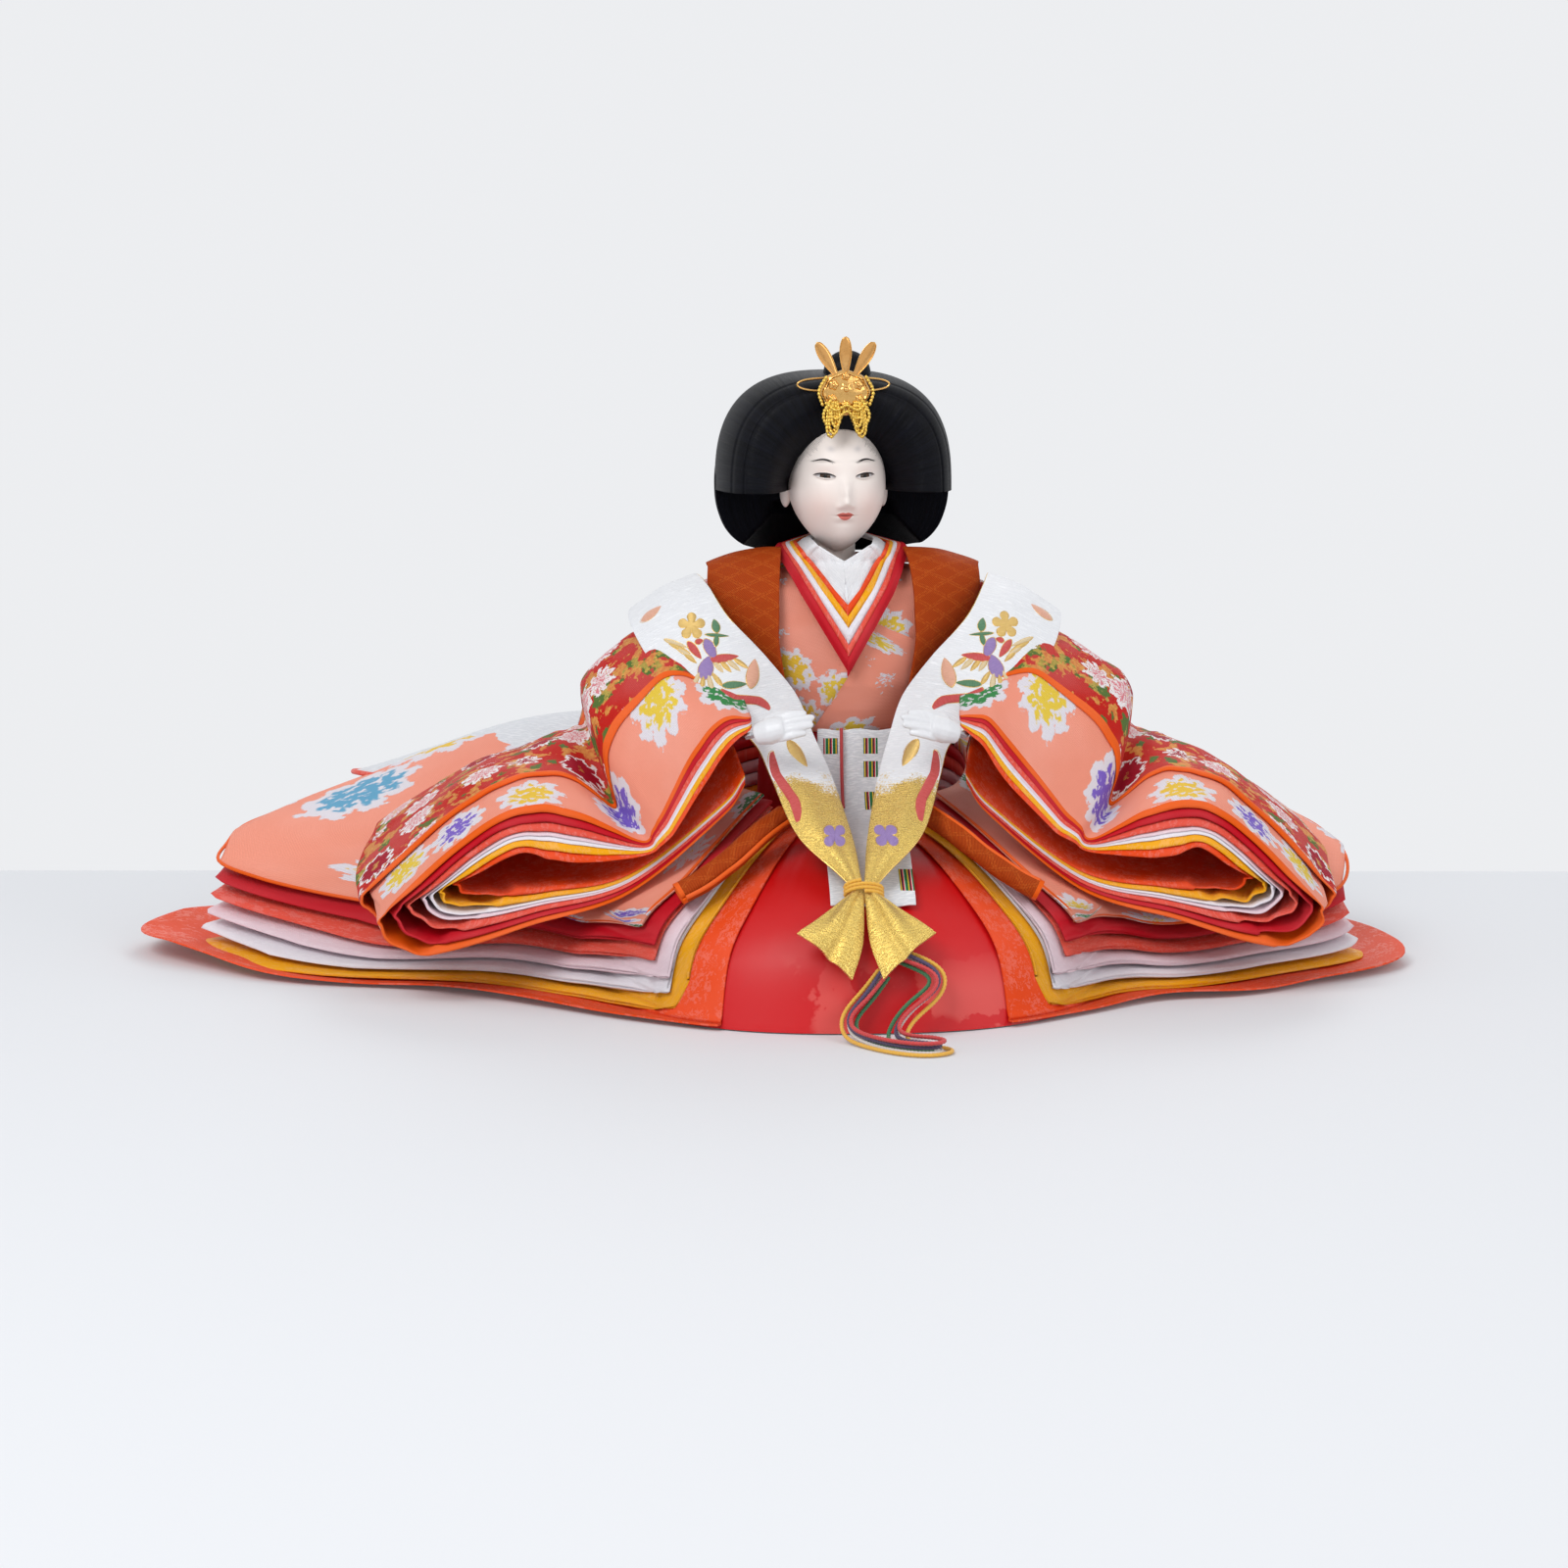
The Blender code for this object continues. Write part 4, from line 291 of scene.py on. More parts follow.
def tube(name, points, radius, look, sides=10, shape=None, taper=None):
    """A closed mesh tube along points; shape(k, angle) scales the radius there."""
    points = np.asarray(points, float)
    across, up = frames_along(points)
    angles = np.linspace(0, 2 * math.pi, sides, endpoint=False)
    grid = np.zeros((len(points), sides, 3))
    for k in range(len(points)):
        for m, angle in enumerate(angles):
            r = radius * (taper[k] if taper is not None else 1.0)
            r *= shape(k, angle) if shape else 1.0
            grid[k, m] = points[k] + (across[k] * math.cos(angle) + up[k] * math.sin(angle)) * r

    def cap(bm):
        bm.verts.ensure_lookup_table()
        bm.faces.new([bm.verts[m] for m in reversed(range(sides))])
        bm.faces.new([bm.verts[(len(points) - 1) * sides + m] for m in range(sides)])

    return edit_mesh(surface(name, grid, look, ring=True), cap)


def twisted(name, points, radius, look, lay_length, steps=10, lobes=2):
    """A twisted cord: plies that wind round the path, one turn in each lay length."""
    length = np.linalg.norm(np.diff(points, axis=0), axis=1).sum()
    count = max(int(length / lay_length * steps), 40)
    fine = even(points, count)
    turn = 2 * math.pi * length / lay_length / (count - 1)

    def shape(k, angle):
        return 0.74 + 0.26 * abs(math.cos((angle - k * turn) * lobes / 2))

    return tube(name, fine, radius, look, sides=12, shape=shape), fine


def thicken(item, thickness, offset=1.0, round_edge=True):
    """Gives an open sheet its cloth thickness, with softened edges."""
    shell = item.modifiers.new("cloth", "SOLIDIFY")
    shell.thickness = thickness
    shell.offset = offset
    if round_edge:
        edge = item.modifiers.new("edge", "BEVEL")
        edge.width = thickness * 0.35
        edge.segments = 2
        edge.limit_method = "ANGLE"
        edge.angle_limit = math.radians(60.0)
    return item


def wave_noise(x, y, seed=0.0):
    """Smooth noise about zero."""
    return noise.noise(Vector((x, y, seed)))


# Materials
class Look:
    """One node material. Each method adds nodes and returns an output socket."""

    def __init__(self, name):
        self.material = bpy.data.materials.new(name)
        self.material.use_nodes = True
        self.tree = self.material.node_tree
        self.shader = self.tree.nodes["Principled BSDF"]
        self.coords = self.tree.nodes.new("ShaderNodeTexCoord")

    def put(self, socket, value):
        if isinstance(value, bpy.types.NodeSocket):
            self.tree.links.new(value, socket)
        elif isinstance(value, tuple) and len(value) == 3 and socket.type == "RGBA":
            socket.default_value = (*value, 1.0)
        else:
            socket.default_value = value

    def node(self, kind, *values, **settings):
        made = self.tree.nodes.new("ShaderNode" + kind)
        for key, value in settings.items():
            setattr(made, key, value)
        for socket, value in zip(made.inputs, values):
            if value is not None:
                self.put(socket, value)
        return made

    def math(self, operation, *values):
        return self.node("Math", *values, operation=operation).outputs[0]

    def plus(self, a, b):
        return self.math("ADD", a, b)

    def minus(self, a, b):
        return self.math("SUBTRACT", a, b)

    def times(self, a, b):
        return self.math("MULTIPLY", a, b)

    def vector(self, operation, *values):
        return self.node("VectorMath", *values, operation=operation).outputs[0]

    def uv(self):
        return self.coords.outputs["UV"]

    def place(self):
        return self.coords.outputs["Object"]

    def parts(self, vector):
        made = self.node("SeparateXYZ", vector)
        return made.outputs[0], made.outputs[1], made.outputs[2]

    def scaled(self, vector, scale, shift=(0.0, 0.0, 0.0), turn=0.0):
        made = self.node("Mapping", vector)
        made.inputs["Location"].default_value = shift
        made.inputs["Rotation"].default_value = (0.0, 0.0, turn)
        made.inputs["Scale"].default_value = scale if isinstance(scale, tuple) else (scale,) * 3
        return made.outputs[0]

    def noise(self, vector, scale, detail=2.0, rough=0.5, twist=0.0):
        made = self.node("TexNoise")
        for key, value in (("Vector", vector), ("Scale", scale), ("Detail", detail),
                           ("Roughness", rough), ("Distortion", twist)):
            self.put(made.inputs[key], value)
        return made.outputs["Fac"]

    def cells(self, vector, scale, feature="F1", random=1.0):
        made = self.node("TexVoronoi", feature=feature)
        for key, value in (("Vector", vector), ("Scale", scale), ("Randomness", random)):
            self.put(made.inputs[key], value)
        return made.outputs

    def mix(self, share, a, b, blend="MIX"):
        made = self.node("Mix", data_type="RGBA", blend_type=blend)
        self.put(made.inputs[0], share)
        self.put(made.inputs[6], a)
        self.put(made.inputs[7], b)
        return made.outputs[2]

    def step(self, value, low, high):
        """0 below low, 1 above high."""
        made = self.node("MapRange", value)
        made.interpolation_type = "SMOOTHSTEP"
        made.inputs["From Min"].default_value = low
        made.inputs["From Max"].default_value = high
        return made.outputs[0]

    def ramp(self, value, stops, constant=False):
        made = self.node("ValToRGB", value)
        if constant:
            made.color_ramp.interpolation = "CONSTANT"
        while len(made.color_ramp.elements) < len(stops):
            made.color_ramp.elements.new(0.5)
        for element, (place, colour) in zip(made.color_ramp.elements, stops):
            element.position = place
            element.color = (*colour, 1.0)
        return made.outputs[0]

    def weave(self, period, slant=0.0):
        """A fine crossing of threads, 0 to 1, with its period in millimetres."""
        u, v, _ = self.parts(self.scaled(self.uv(), 2 * math.pi / period, turn=slant))
        return self.math("MULTIPLY_ADD", self.times(self.math("SINE", u), self.math("SINE", v)),
                         0.5, 0.5)

    def bump(self, height, distance, strength=1.0, under=None):
        made = self.node("Bump")
        made.inputs["Strength"].default_value = strength
        made.inputs["Distance"].default_value = distance
        self.put(made.inputs["Height"], height)
        if under is not None:
            self.put(made.inputs["Normal"], under)
        return made.outputs[0]

    def finish(self, colour, rough, normal=None, metal=None, **fixed):
        self.put(self.shader.inputs["Base Color"], colour)
        self.put(self.shader.inputs["Roughness"], rough)
        if normal is not None:
            self.put(self.shader.inputs["Normal"], normal)
        if metal is not None:
            self.put(self.shader.inputs["Metallic"], metal)
        for key, value in fixed.items():
            self.put(self.shader.inputs[key.replace("_", " ").title().replace("Ior", "IOR")], value)
        return self.material


def lighter(colour, share):
    return tuple(min(1.0, c * (1 - share) + share) if share > 0 else c * (1 + share) for c in colour)


def silk(name, colour, figure=0.0, weave=0.42, rough=0.52, cell=9.0, slub=0.12):
    """Dyed silk: a fine weave, slubs, a soft change of shade, and a tone-on-tone figure where asked."""
    look = Look(name)
    threads = look.weave(weave)
    slubs = look.noise(look.scaled(look.uv(), (0.35, 5.0, 1.0)), 1.0, 3.0)
    shade = look.noise(look.uv(), 0.035, 2.0)
    base = look.mix(look.step(shade, 0.3, 0.7), lighter(colour, -0.08), lighter(colour, 0.03))
    base = look.mix(look.times(slubs, slub), base, lighter(colour, -0.35))
    height = look.plus(threads, look.times(slubs, 0.6))
    normal = look.bump(height, 0.00010, 0.55)
    roughness = look.math("MULTIPLY_ADD", threads, 0.10, rough - 0.05)
    if figure:
        bent = look.vector("ADD", look.uv(), look.scaled(look.node(
            "TexNoise", look.scaled(look.uv(), 0.16)).outputs["Color"], 7.0))
        edge = look.cells(bent, 1.0 / cell, "DISTANCE_TO_EDGE")[0]
        petals = look.step(edge, 0.05, 0.11)
        vein = look.step(look.noise(bent, 0.55, 2.0), 0.48, 0.55)
        mask = look.times(petals, vein)
        base = look.mix(look.times(mask, figure), base, lighter(colour, 0.22))
        roughness = look.minus(roughness, look.times(mask, 0.16))
        normal = look.bump(mask, 0.00012, 0.5, normal)
    return look.finish(base, roughness, normal, specular_ior_level=0.14)


def motif(look, vector, cell, lobes, radius, shift, random=0.55):
    """A scattered rosette: depth inside its edge, distance from its centre, its angle, a random colour."""
    moved = look.scaled(vector, 1.0, shift=shift)
    found = look.cells(moved, 1.0 / cell, random=random)
    centre = look.scaled(found["Position"], 1.0)
    offset = look.vector("SUBTRACT", moved, centre)
    x, y, _ = look.parts(offset)
    angle = look.math("ARCTAN2", y, x)
    far = look.times(found["Distance"], cell)
    lobe = look.math("ABSOLUTE", look.math("SINE", look.times(angle, lobes / 2)))
    reach = look.math("MULTIPLY_ADD", lobe, radius * 0.24, radius * 0.80)
    return look.minus(reach, far), far, angle, found["Color"]


def brocade(name, ground, dark=False, shift=(0.0, 0.0, 0.0), cell=27.0):
    """Figured brocade: clouds with coloured sprays, or plum and chrysanthemum heads on the red jacket."""
    look = Look(name)
    threads = look.weave(0.62, 0.6)
    steps = look.node("VectorMath", look.uv(), (0.32, 0.32, 1.0), operation="SNAP").outputs[0]
    wobble = look.node("TexNoise", look.scaled(steps, 0.11))
    bent = look.vector("ADD", steps, look.scaled(wobble.outputs["Color"], 4.0))
    inside, far, angle, colour = motif(look, bent, cell, 9, cell * 0.40, shift)
    pick = look.node("SeparateColor", colour).outputs[0]
    speckle = look.noise(steps, 0.85, 1.0)
    base = look.mix(look.times(threads, 0.22), ground, lighter(ground, -0.45))
    base = look.mix(look.times(look.step(look.noise(look.uv(), 0.05), 0.35, 0.7), 0.5),
                    base, lighter(ground, 0.10))
    white = look.mix(threads, (0.86, 0.84, 0.88), (0.62, 0.56, 0.62))
    metal = 0.0
    if dark:
        rim = look.step(inside, 0.0, 0.25)
        core = look.step(inside, 1.1, 1.4)
        heads = look.step(look.math("FRACT", look.times(pick, 3.0)), 0.45, 0.5)
        rays = look.step(look.math("SINE", look.times(angle, 14.0)), -0.1, 0.3)
        petals = look.mix(rays, (0.80, 0.66, 0.66), (0.70, 0.22, 0.25))
        inner = look.mix(heads, (0.36, 0.003, 0.02), petals)
        base = look.mix(rim, base, (0.85, 0.80, 0.80))
        base = look.mix(core, base, inner)
        hub = look.minus(1.0, look.step(far, cell * 0.07, cell * 0.09))
        between = look.minus(1.0, rim)
        gold = look.math("MAXIMUM", look.times(hub, rim),
                         look.times(between, look.step(look.noise(bent, 0.22, 1.0), 0.56, 0.58)))
        elsewhere = look.scaled(bent, 1.0, shift=(40.0, 7.0, 0.0))
        leaves = look.times(between, look.step(look.noise(elsewhere, 0.16, 1.0), 0.60, 0.62))
        base = look.mix(leaves, base, (0.09, 0.16, 0.03))
        base = look.mix(look.times(gold, speckle), base, (0.80, 0.52, 0.12))
        metal = look.times(gold, 0.6)
    else:
        cloud = look.step(inside, 0.0, 0.2)
        knots = look.step(look.noise(steps, 0.50, 2.0), 0.385, 0.45)
        spray = look.times(look.step(inside, cell * 0.10, cell * 0.12), knots)
        tint = look.ramp(pick, ((0.0, (0.78, 0.56, 0.06)), (0.30, (0.04, 0.24, 0.07)),
                                (0.48, (0.20, 0.12, 0.55)),
                                (0.66, (0.80, 0.52, 0.05)), (0.84, (0.12, 0.36, 0.55))), constant=True)
        base = look.mix(cloud, base, white)
        base = look.mix(spray, base, tint)
    height = look.plus(threads, look.step(inside, 0.0, 0.3))
    normal = look.bump(height, 0.00016, 0.8)
    return look.finish(base, look.math("MULTIPLY_ADD", threads, 0.12, 0.50), normal, metal,
                       specular_ior_level=0.15)


GOLD_START = 136.0
LATTICE_SLANT = 1.45
LATTICE_PITCH_MM = 8.6


def lattice(name):
    """Rust silk with a diagonal rib and a lighter double-line diamond lattice."""
    look = Look(name)
    u, v, _ = look.parts(look.uv())
    rib = look.math("SINE", look.times(look.plus(u, v), 2 * math.pi / 0.55))
    lines = None
    for sign in (1.0, -1.0):
        across = look.plus(look.times(u, sign * LATTICE_SLANT), v)
        cycle = look.math("FRACT", look.math("DIVIDE", across, LATTICE_PITCH_MM))
        double = look.math("ABSOLUTE", look.minus(look.math("ABSOLUTE", look.minus(cycle, 0.5)), 0.075))
        line = look.minus(1.0, look.step(double, 0.035, 0.06))
        lines = line if lines is None else look.math("MAXIMUM", lines, line)
    fray = look.step(look.noise(look.uv(), 1.6, 2.0), 0.35, 0.6)
    lines = look.times(lines, fray)
    ground = look.mix(look.step(rib, -0.6, 0.7), (0.30, 0.030, 0.002), (0.52, 0.075, 0.006))
    base = look.mix(look.times(lines, 0.45), ground, (0.62, 0.13, 0.018))
    normal = look.bump(look.plus(rib, look.times(lines, 1.5)), 0.00010, 0.7)
    return look.finish(base, 0.65, normal, specular_ior_level=0.12)


def figured_white(name, gold=False, tint=(0.84, 0.85, 0.88)):
    """White figured silk with fine slanting floats, and gold foil toward the tie where asked."""
    look = Look(name)
    long = look.scaled(look.uv(), (0.30, 2.4, 1.0), turn=0.9)
    floats = look.step(look.noise(long, 1.0, 3.0, 0.6), 0.46, 0.62)
    threads = look.weave(0.40)
    base = look.mix(floats, lighter(tint, -0.07), lighter(tint, 0.25))
    rough = look.math("MULTIPLY_ADD", floats, -0.2, 0.62)
    normal = look.bump(look.plus(floats, look.times(threads, 0.3)), 0.00012, 0.7)
    metal = 0.0
    if gold:
        v = look.parts(look.uv())[1]
        flakes = look.noise(look.uv(), 1.5, 3.0, 0.7)
        drift = look.noise(look.uv(), 0.10, 2.0)
        reach = look.math("MULTIPLY_ADD", drift, 26.0, v)
        line = look.math("MULTIPLY_ADD", flakes, 26.0, reach)
        foil = look.step(line, GOLD_START, GOLD_START + 5.0)
        grain = look.noise(look.uv(), 2.8, 2.0, 0.7)
        tone = look.mix(look.step(grain, 0.35, 0.65), (0.50, 0.29, 0.045), (0.93, 0.72, 0.22))
        base = look.mix(foil, base, tone)
        rough = look.math("MULTIPLY_ADD", foil, -0.16, rough)
        metal = look.times(foil, 0.92)
        normal = look.bump(grain, 0.00015, 0.5, normal)
    return look.finish(base, rough, normal, metal, sheen_weight=0.15)


CRIMSON = (0.56, 0.001, 0.012)
CORAL = (0.82, 0.085, 0.050)
PALE_PINK = (0.85, 0.66, 0.72)
WHITE = (0.86, 0.82, 0.87)
YELLOW = (0.95, 0.42, 0.0)
ORANGE = (0.86, 0.066, 0.003)
PIPING = (0.86, 0.115, 0.002)
PINK = (0.90, 0.315, 0.215)
RED = (0.55, 0.010, 0.004)

SILKS = {
    "crimson": silk("crimson_silk", CRIMSON), "coral": silk("coral_silk", CORAL, figure=0.35, cell=7.0),
    "pale_pink": silk("pale_pink_silk", PALE_PINK, figure=0.45, cell=8.0),
    "white": silk("white_silk", WHITE, figure=0.45, cell=8.0),
    "yellow": silk("yellow_silk", YELLOW, figure=0.3),
    "orange": silk("orange_silk", ORANGE, figure=0.30, cell=14.0), "piping": silk("piping_silk", PIPING),
    "pink": brocade("pink_brocade", PINK), "red": brocade("red_brocade", RED, dark=True, cell=17.0)}
PINK_BODICE = brocade("pink_bodice_brocade", PINK, shift=(9.0, 4.0, 0.0), cell=19.0)
RUST = lattice("rust_lattice")
TRAIN_WHITE = figured_white("train_silk", tint=(0.72, 0.74, 0.78))
COLLAR_WHITE = figured_white("ribbed_white")
SCARF = figured_white("scarf_silk", gold=True)


# Camera, floor and light
CAMERA_NEAR = 0.02
STAGE_HALF = 3.0
FLOOR_COLOUR = (0.715, 0.73, 0.755)
FLOOR_GLOW = 0.05
PAPER_GRAIN = 900.0
PAPER_RELIEF = 0.00005
WORLD_LIGHT = 0.72
BACKDROP_FOOT = ((-3.0, 0.345), (3.0, 0.005))
BACKDROP = (0.845, 0.855, 0.875)
# Each lamp: its place, the point it faces, its size and its power
LAMPS = (("key", (-0.75, -0.95, 1.15), (0.0, -0.02, 0.05), 0.75, 11.0),
         ("fill", (1.05, -0.85, 0.75), (0.0, -0.02, 0.06), 0.90, 4.2),
         ("rim", (0.25, 1.05, 0.95), (0.0, 0.0, 0.10), 0.60, 3.6))


def stage_sheet(name, corners, colour, rough, shine, glow, one_sided=False):
    """A flat sheet of plain paper with a glow that only the camera and mirror-like surfaces see."""
    mesh = bpy.data.meshes.new(name)
    mesh.from_pydata(corners, [], [(0, 1, 2, 3)])
    linked(name, mesh)
    look = Look(name + "_paper")
    rays = look.node("LightPath").outputs
    seen = look.math("MAXIMUM", rays["Is Camera Ray"], look.math("MAXIMUM", rays["Is Glossy Ray"],
                                                                   rays["Is Transmission Ray"]))
    if one_sided:
        front = look.minus(1.0, look.node("NewGeometry").outputs["Backfacing"])
        look.put(look.shader.inputs["Alpha"], look.times(seen, front))
    look.put(look.shader.inputs["Emission Color"], BACKDROP)
    look.put(look.shader.inputs["Emission Strength"], glow if one_sided else look.times(seen, glow))
    grain = look.noise(look.place(), PAPER_GRAIN, 2.0)
    mesh.materials.append(look.finish(colour, rough, look.bump(grain, PAPER_RELIEF, 0.2),
                                      specular_ior_level=shine))


def build_world():
    """Even light, a shade brighter where it is seen straight or mirrored."""
    world = bpy.data.worlds.new("studio")
    bpy.context.scene.world = world
    world.use_nodes = True
    tree = world.node_tree
    back = tree.nodes["Background"]
    path = tree.nodes.new("ShaderNodeLightPath")
    shade = tree.nodes.new("ShaderNodeMapRange")
    seen = path.outputs["Is Camera Ray"]
    for kind in ("Is Glossy Ray", "Is Transmission Ray"):
        either = tree.nodes.new("ShaderNodeMath")
        either.operation = "MAXIMUM"
        tree.links.new(seen, either.inputs[0])
        tree.links.new(path.outputs[kind], either.inputs[1])
        seen = either.outputs[0]
    tree.links.new(seen, shade.inputs["Value"])
    shade.inputs["To Min"].default_value = WORLD_LIGHT
    shade.inputs["To Max"].default_value = 1.0
    tree.links.new(shade.outputs[0], back.inputs["Strength"])
    back.inputs["Color"].default_value = (*BACKDROP, 1.0)


def aimed(item, place, aim):
    """Turns a camera or a lamp to face a point."""
    item.location = place
    item.rotation_euler = (Vector(aim) - Vector(place)).to_track_quat("-Z", "Y").to_euler()
    return item


def build_stage():
    """Camera, floor, backdrop, world and lamps."""
    eye = bpy.data.cameras.new("photo_camera")
    eye.lens = CAMERA_LENS
    eye.sensor_width = CAMERA_SENSOR
    eye.clip_start = CAMERA_NEAR
    bpy.context.scene.camera = aimed(linked("photo_camera", eye), CAMERA_PLACE, CAMERA_TARGET)

    half = STAGE_HALF
    floor = [(-half, -half, 0), (half, -half, 0), (half, half, 0), (-half, half, 0)]
    stage_sheet("floor", floor, FLOOR_COLOUR, 0.6, 0.05, FLOOR_GLOW)
    # The backdrop shows only from the front and lets all other light through
    (left, left_y), (right, right_y) = BACKDROP_FOOT
    wall = [(left, left_y, 0), (right, right_y, 0), (right, right_y, half), (left, left_y, half)]
    stage_sheet("backdrop", wall, (0.0, 0.0, 0.0), 1.0, 0.0, 1.0, one_sided=True)
    build_world()

    for name, place, aim, size, power in LAMPS:
        lamp = bpy.data.lights.new(name, "AREA")
        lamp.size = size
        lamp.energy = power
        aimed(linked(name, lamp), place, aim)
    bpy.context.scene.view_settings.view_transform = "Standard"


# Tying cords: the middle of the bundle, with the share of each point that leans on the lap's front
CORD_ROUTE = (
    ((0.0050, -0.1164, 0.0175), 1.0), ((0.0000, -0.1196, 0.0115), 1.0), ((-0.0056, -0.1230, 0.0060), 0.8),
    ((-0.0052, -0.1290, 0.0022), 0.4), ((0.0000, -0.1370, 0.00075), 0.0), ((0.0075, -0.1460, 0.00075), 0.0),
    ((0.0155, -0.1498, 0.00075), 0.0), ((0.0207, -0.1458, 0.00075), 0.0), ((0.0160, -0.1412, 0.00075), 0.0),
    ((0.0105, -0.1392, 0.00075), 0.0), ((0.0072, -0.1350, 0.0012), 0.1), ((0.0080, -0.1295, 0.0038), 0.4),
    ((0.0125, -0.1250, 0.0085), 0.8), ((0.0190, -0.1222, 0.0130), 1.0), ((0.0212, -0.1202, 0.0170), 1.0),
    ((0.0170, -0.1180, 0.0198), 1.0), ((0.0100, -0.1164, 0.0225), 1.0))
# Each strand: its colour, its steps sideways and up the pile, and how far it strays sideways on its way
CORD_STRANDS = (("yellow", (0.90, 0.46, 0.01), -1, 0, -0.5), ("white", (0.85, 0.80, 0.76), 0, 0, 0.0),
                ("green", (0.004, 0.17, 0.04), 1, 0, 0.3), ("navy", (0.030, 0.010, 0.085), -0.5, 1, 0.8),
                ("red", (0.66, 0.008, 0.010), 0.5, 2, -0.8))
CORD_SIDE_STEP = 0.00182
CORD_PILE_STEP = 0.00150
CORD_RADIUS = 0.00065
CORD_LAY = 0.0022
CORD_SOFTENING = 34
CORD_POINTS = 80


def thread_look(name, colour):
    look = Look(name)
    fibre = look.noise(look.scaled(look.uv(), (1.0, 6.0, 1.0)), 2.0, 2.0)
    base = look.mix(fibre, lighter(colour, -0.25), lighter(colour, 0.06))
    return look.finish(base, 0.5, look.bump(fibre, 0.0001, 0.6), sheen_weight=0.3)


def build_cords():
    """Five two-ply cords that leave the scarf's tie, lie on the floor and go back up under the tail."""
    places = [Vector(p) for p, wall in CORD_ROUTE]
    for colour_name, colour, side_steps, pile_steps, stray in CORD_STRANDS:
        moved = []
        for i, (place, wall) in enumerate(CORD_ROUTE):
            way = (places[min(i + 1, len(places) - 1)] - places[max(i - 1, 0)]).normalized()
            out = Vector((0.0, -wall, 1.0 - 0.7 * wall)).normalized()
            side = out.cross(way).normalized()
            share = math.sin(math.pi * i / (len(places) - 1))
            aside = side_steps + stray * share
            piled = min(pile_steps, 1) + max(pile_steps - 1, 0) * share
            moved.append(Vector(place) + side * CORD_SIDE_STEP * aside + out * CORD_PILE_STEP * piled)
        name = "cord_" + colour_name
        strand = even([tuple(p) for p in moved], 2 * CORD_POINTS)
        for _ in range(CORD_SOFTENING):
            strand[1:-1] = (strand[:-2] + 2 * strand[1:-1] + strand[2:]) / 4
        item, path = twisted("tying_cord_" + colour_name, even(strand, CORD_POINTS), CORD_RADIUS,
                             thread_look("cord_thread_" + colour_name, colour), CORD_LAY)
        attach(item, name)


# Robe stack
def thin_plate(places):
    """A smooth height surface through the given places, for arrays of two shares."""
    xy = np.array([p[:2] for p in places])
    z = np.array([p[2] for p in places])

    def kernel(a):
        d2 = ((a[:, None, :] - xy[None, :, :]) ** 2).sum(axis=2)
        return np.where(d2 > 0, d2 * np.log(np.maximum(d2, 1e-12)), 0.0)

    count = len(z)
    flat = np.hstack([np.ones((count, 1)), xy])
    system = np.zeros((count + 3, count + 3))
    system[:count, :count] = kernel(xy) + 0.01 * np.eye(count)
    system[:count, count:] = flat
    system[count:, :count] = flat.T
    weights = np.linalg.solve(system, np.concatenate([z, np.zeros(3)]))

    def height(points):
        flat_points = points.reshape(-1, 2)
        found = kernel(flat_points) @ weights[:count] + weights[count] + flat_points @ weights[count + 1:]
        return found.reshape(points.shape[:-1])

    return height


TOP_SHARE_AT = thin_plate(STACK_TOP_SHARES)
HEM_HALF = np.array((HEM_HALF_WIDTH, HEM_HALF_DEPTH))
STATIONS = len(STACK_EDGE_SHARES)
LAP_RINGS = len(LAP_RING_SHARES)
CLOSED_EDGE = np.array([STACK_EDGE_SHARES[k % STATIONS] for k in range(-3, STATIONS + 4)])


# Far corners: station, how far the tip is drawn out and its flanks fall in, and which way
CORNERS = ((7.2, 0.0100, 0.0075, (0.93, -0.37)), (16.9, 0.0160, 0.0080, (-0.98, 0.10)))
CORNER_SPREAD = 0.50
CORNER_FLANK = 1.8
TIP_DEPTH = 0.050
TIP_STATIONS = ((6.4, 9.0, 1.2), (15.0, 18.4, 1.6))


def tip_share(stations):
    """1 along the far sides, where the robes puff out and their edges part, and 0 elsewhere."""
    share = np.zeros(np.shape(stations))
    for low, high, ease in TIP_STATIONS:
        share = np.maximum(share, np.clip((stations - low + ease) / ease, 0, 1)
                           * np.clip((high + ease - stations)
                                                                                         / ease, 0, 1))
    return share


# Where the padded stack swells behind the sleeves: place, reach both ways and lift
SWELLS = ((-0.104, 0.062, 0.042, 0.030, 0.0060), (0.096, 0.060, 0.045, 0.032, 0.0060))


def stack_top(points):
    """Height of the stack's top over the floor, for places in plan."""
    points = np.asarray(points, float)
    swell = np.zeros(points.shape[:-1])
    for x, y, wide, deep, lift in SWELLS:
        swell += lift * np.exp(-((points[..., 0] - x) / wide) ** 2 - ((points[..., 1] - y) / deep) ** 2)
    return HEM_HEIGHT * TOP_SHARE_AT(points / HEM_HALF) + swell


def edge_at(stations):
    """Outer edge of the stack in plan."""
    return along(CLOSED_EDGE, np.mod(stations, STATIONS) + 3.0) * HEM_HALF


def draw_tips(plan, stations, out):
    """Draws the robes out to a point at their two far corners and lets the sides fall in a little."""
    near_rim = np.clip(1 - out / TIP_DEPTH, 0, 1) ** 1.3
    for corner, reach, pull, away in CORNERS:
        gap = np.abs(stations - corner)
        shift = reach * np.exp(-gap / CORNER_SPREAD) - pull * np.exp(-(gap / CORNER_FLANK) ** 2)
        plan = plan + (near_rim * shift[:, None])[..., None] * np.array(away)
    return plan


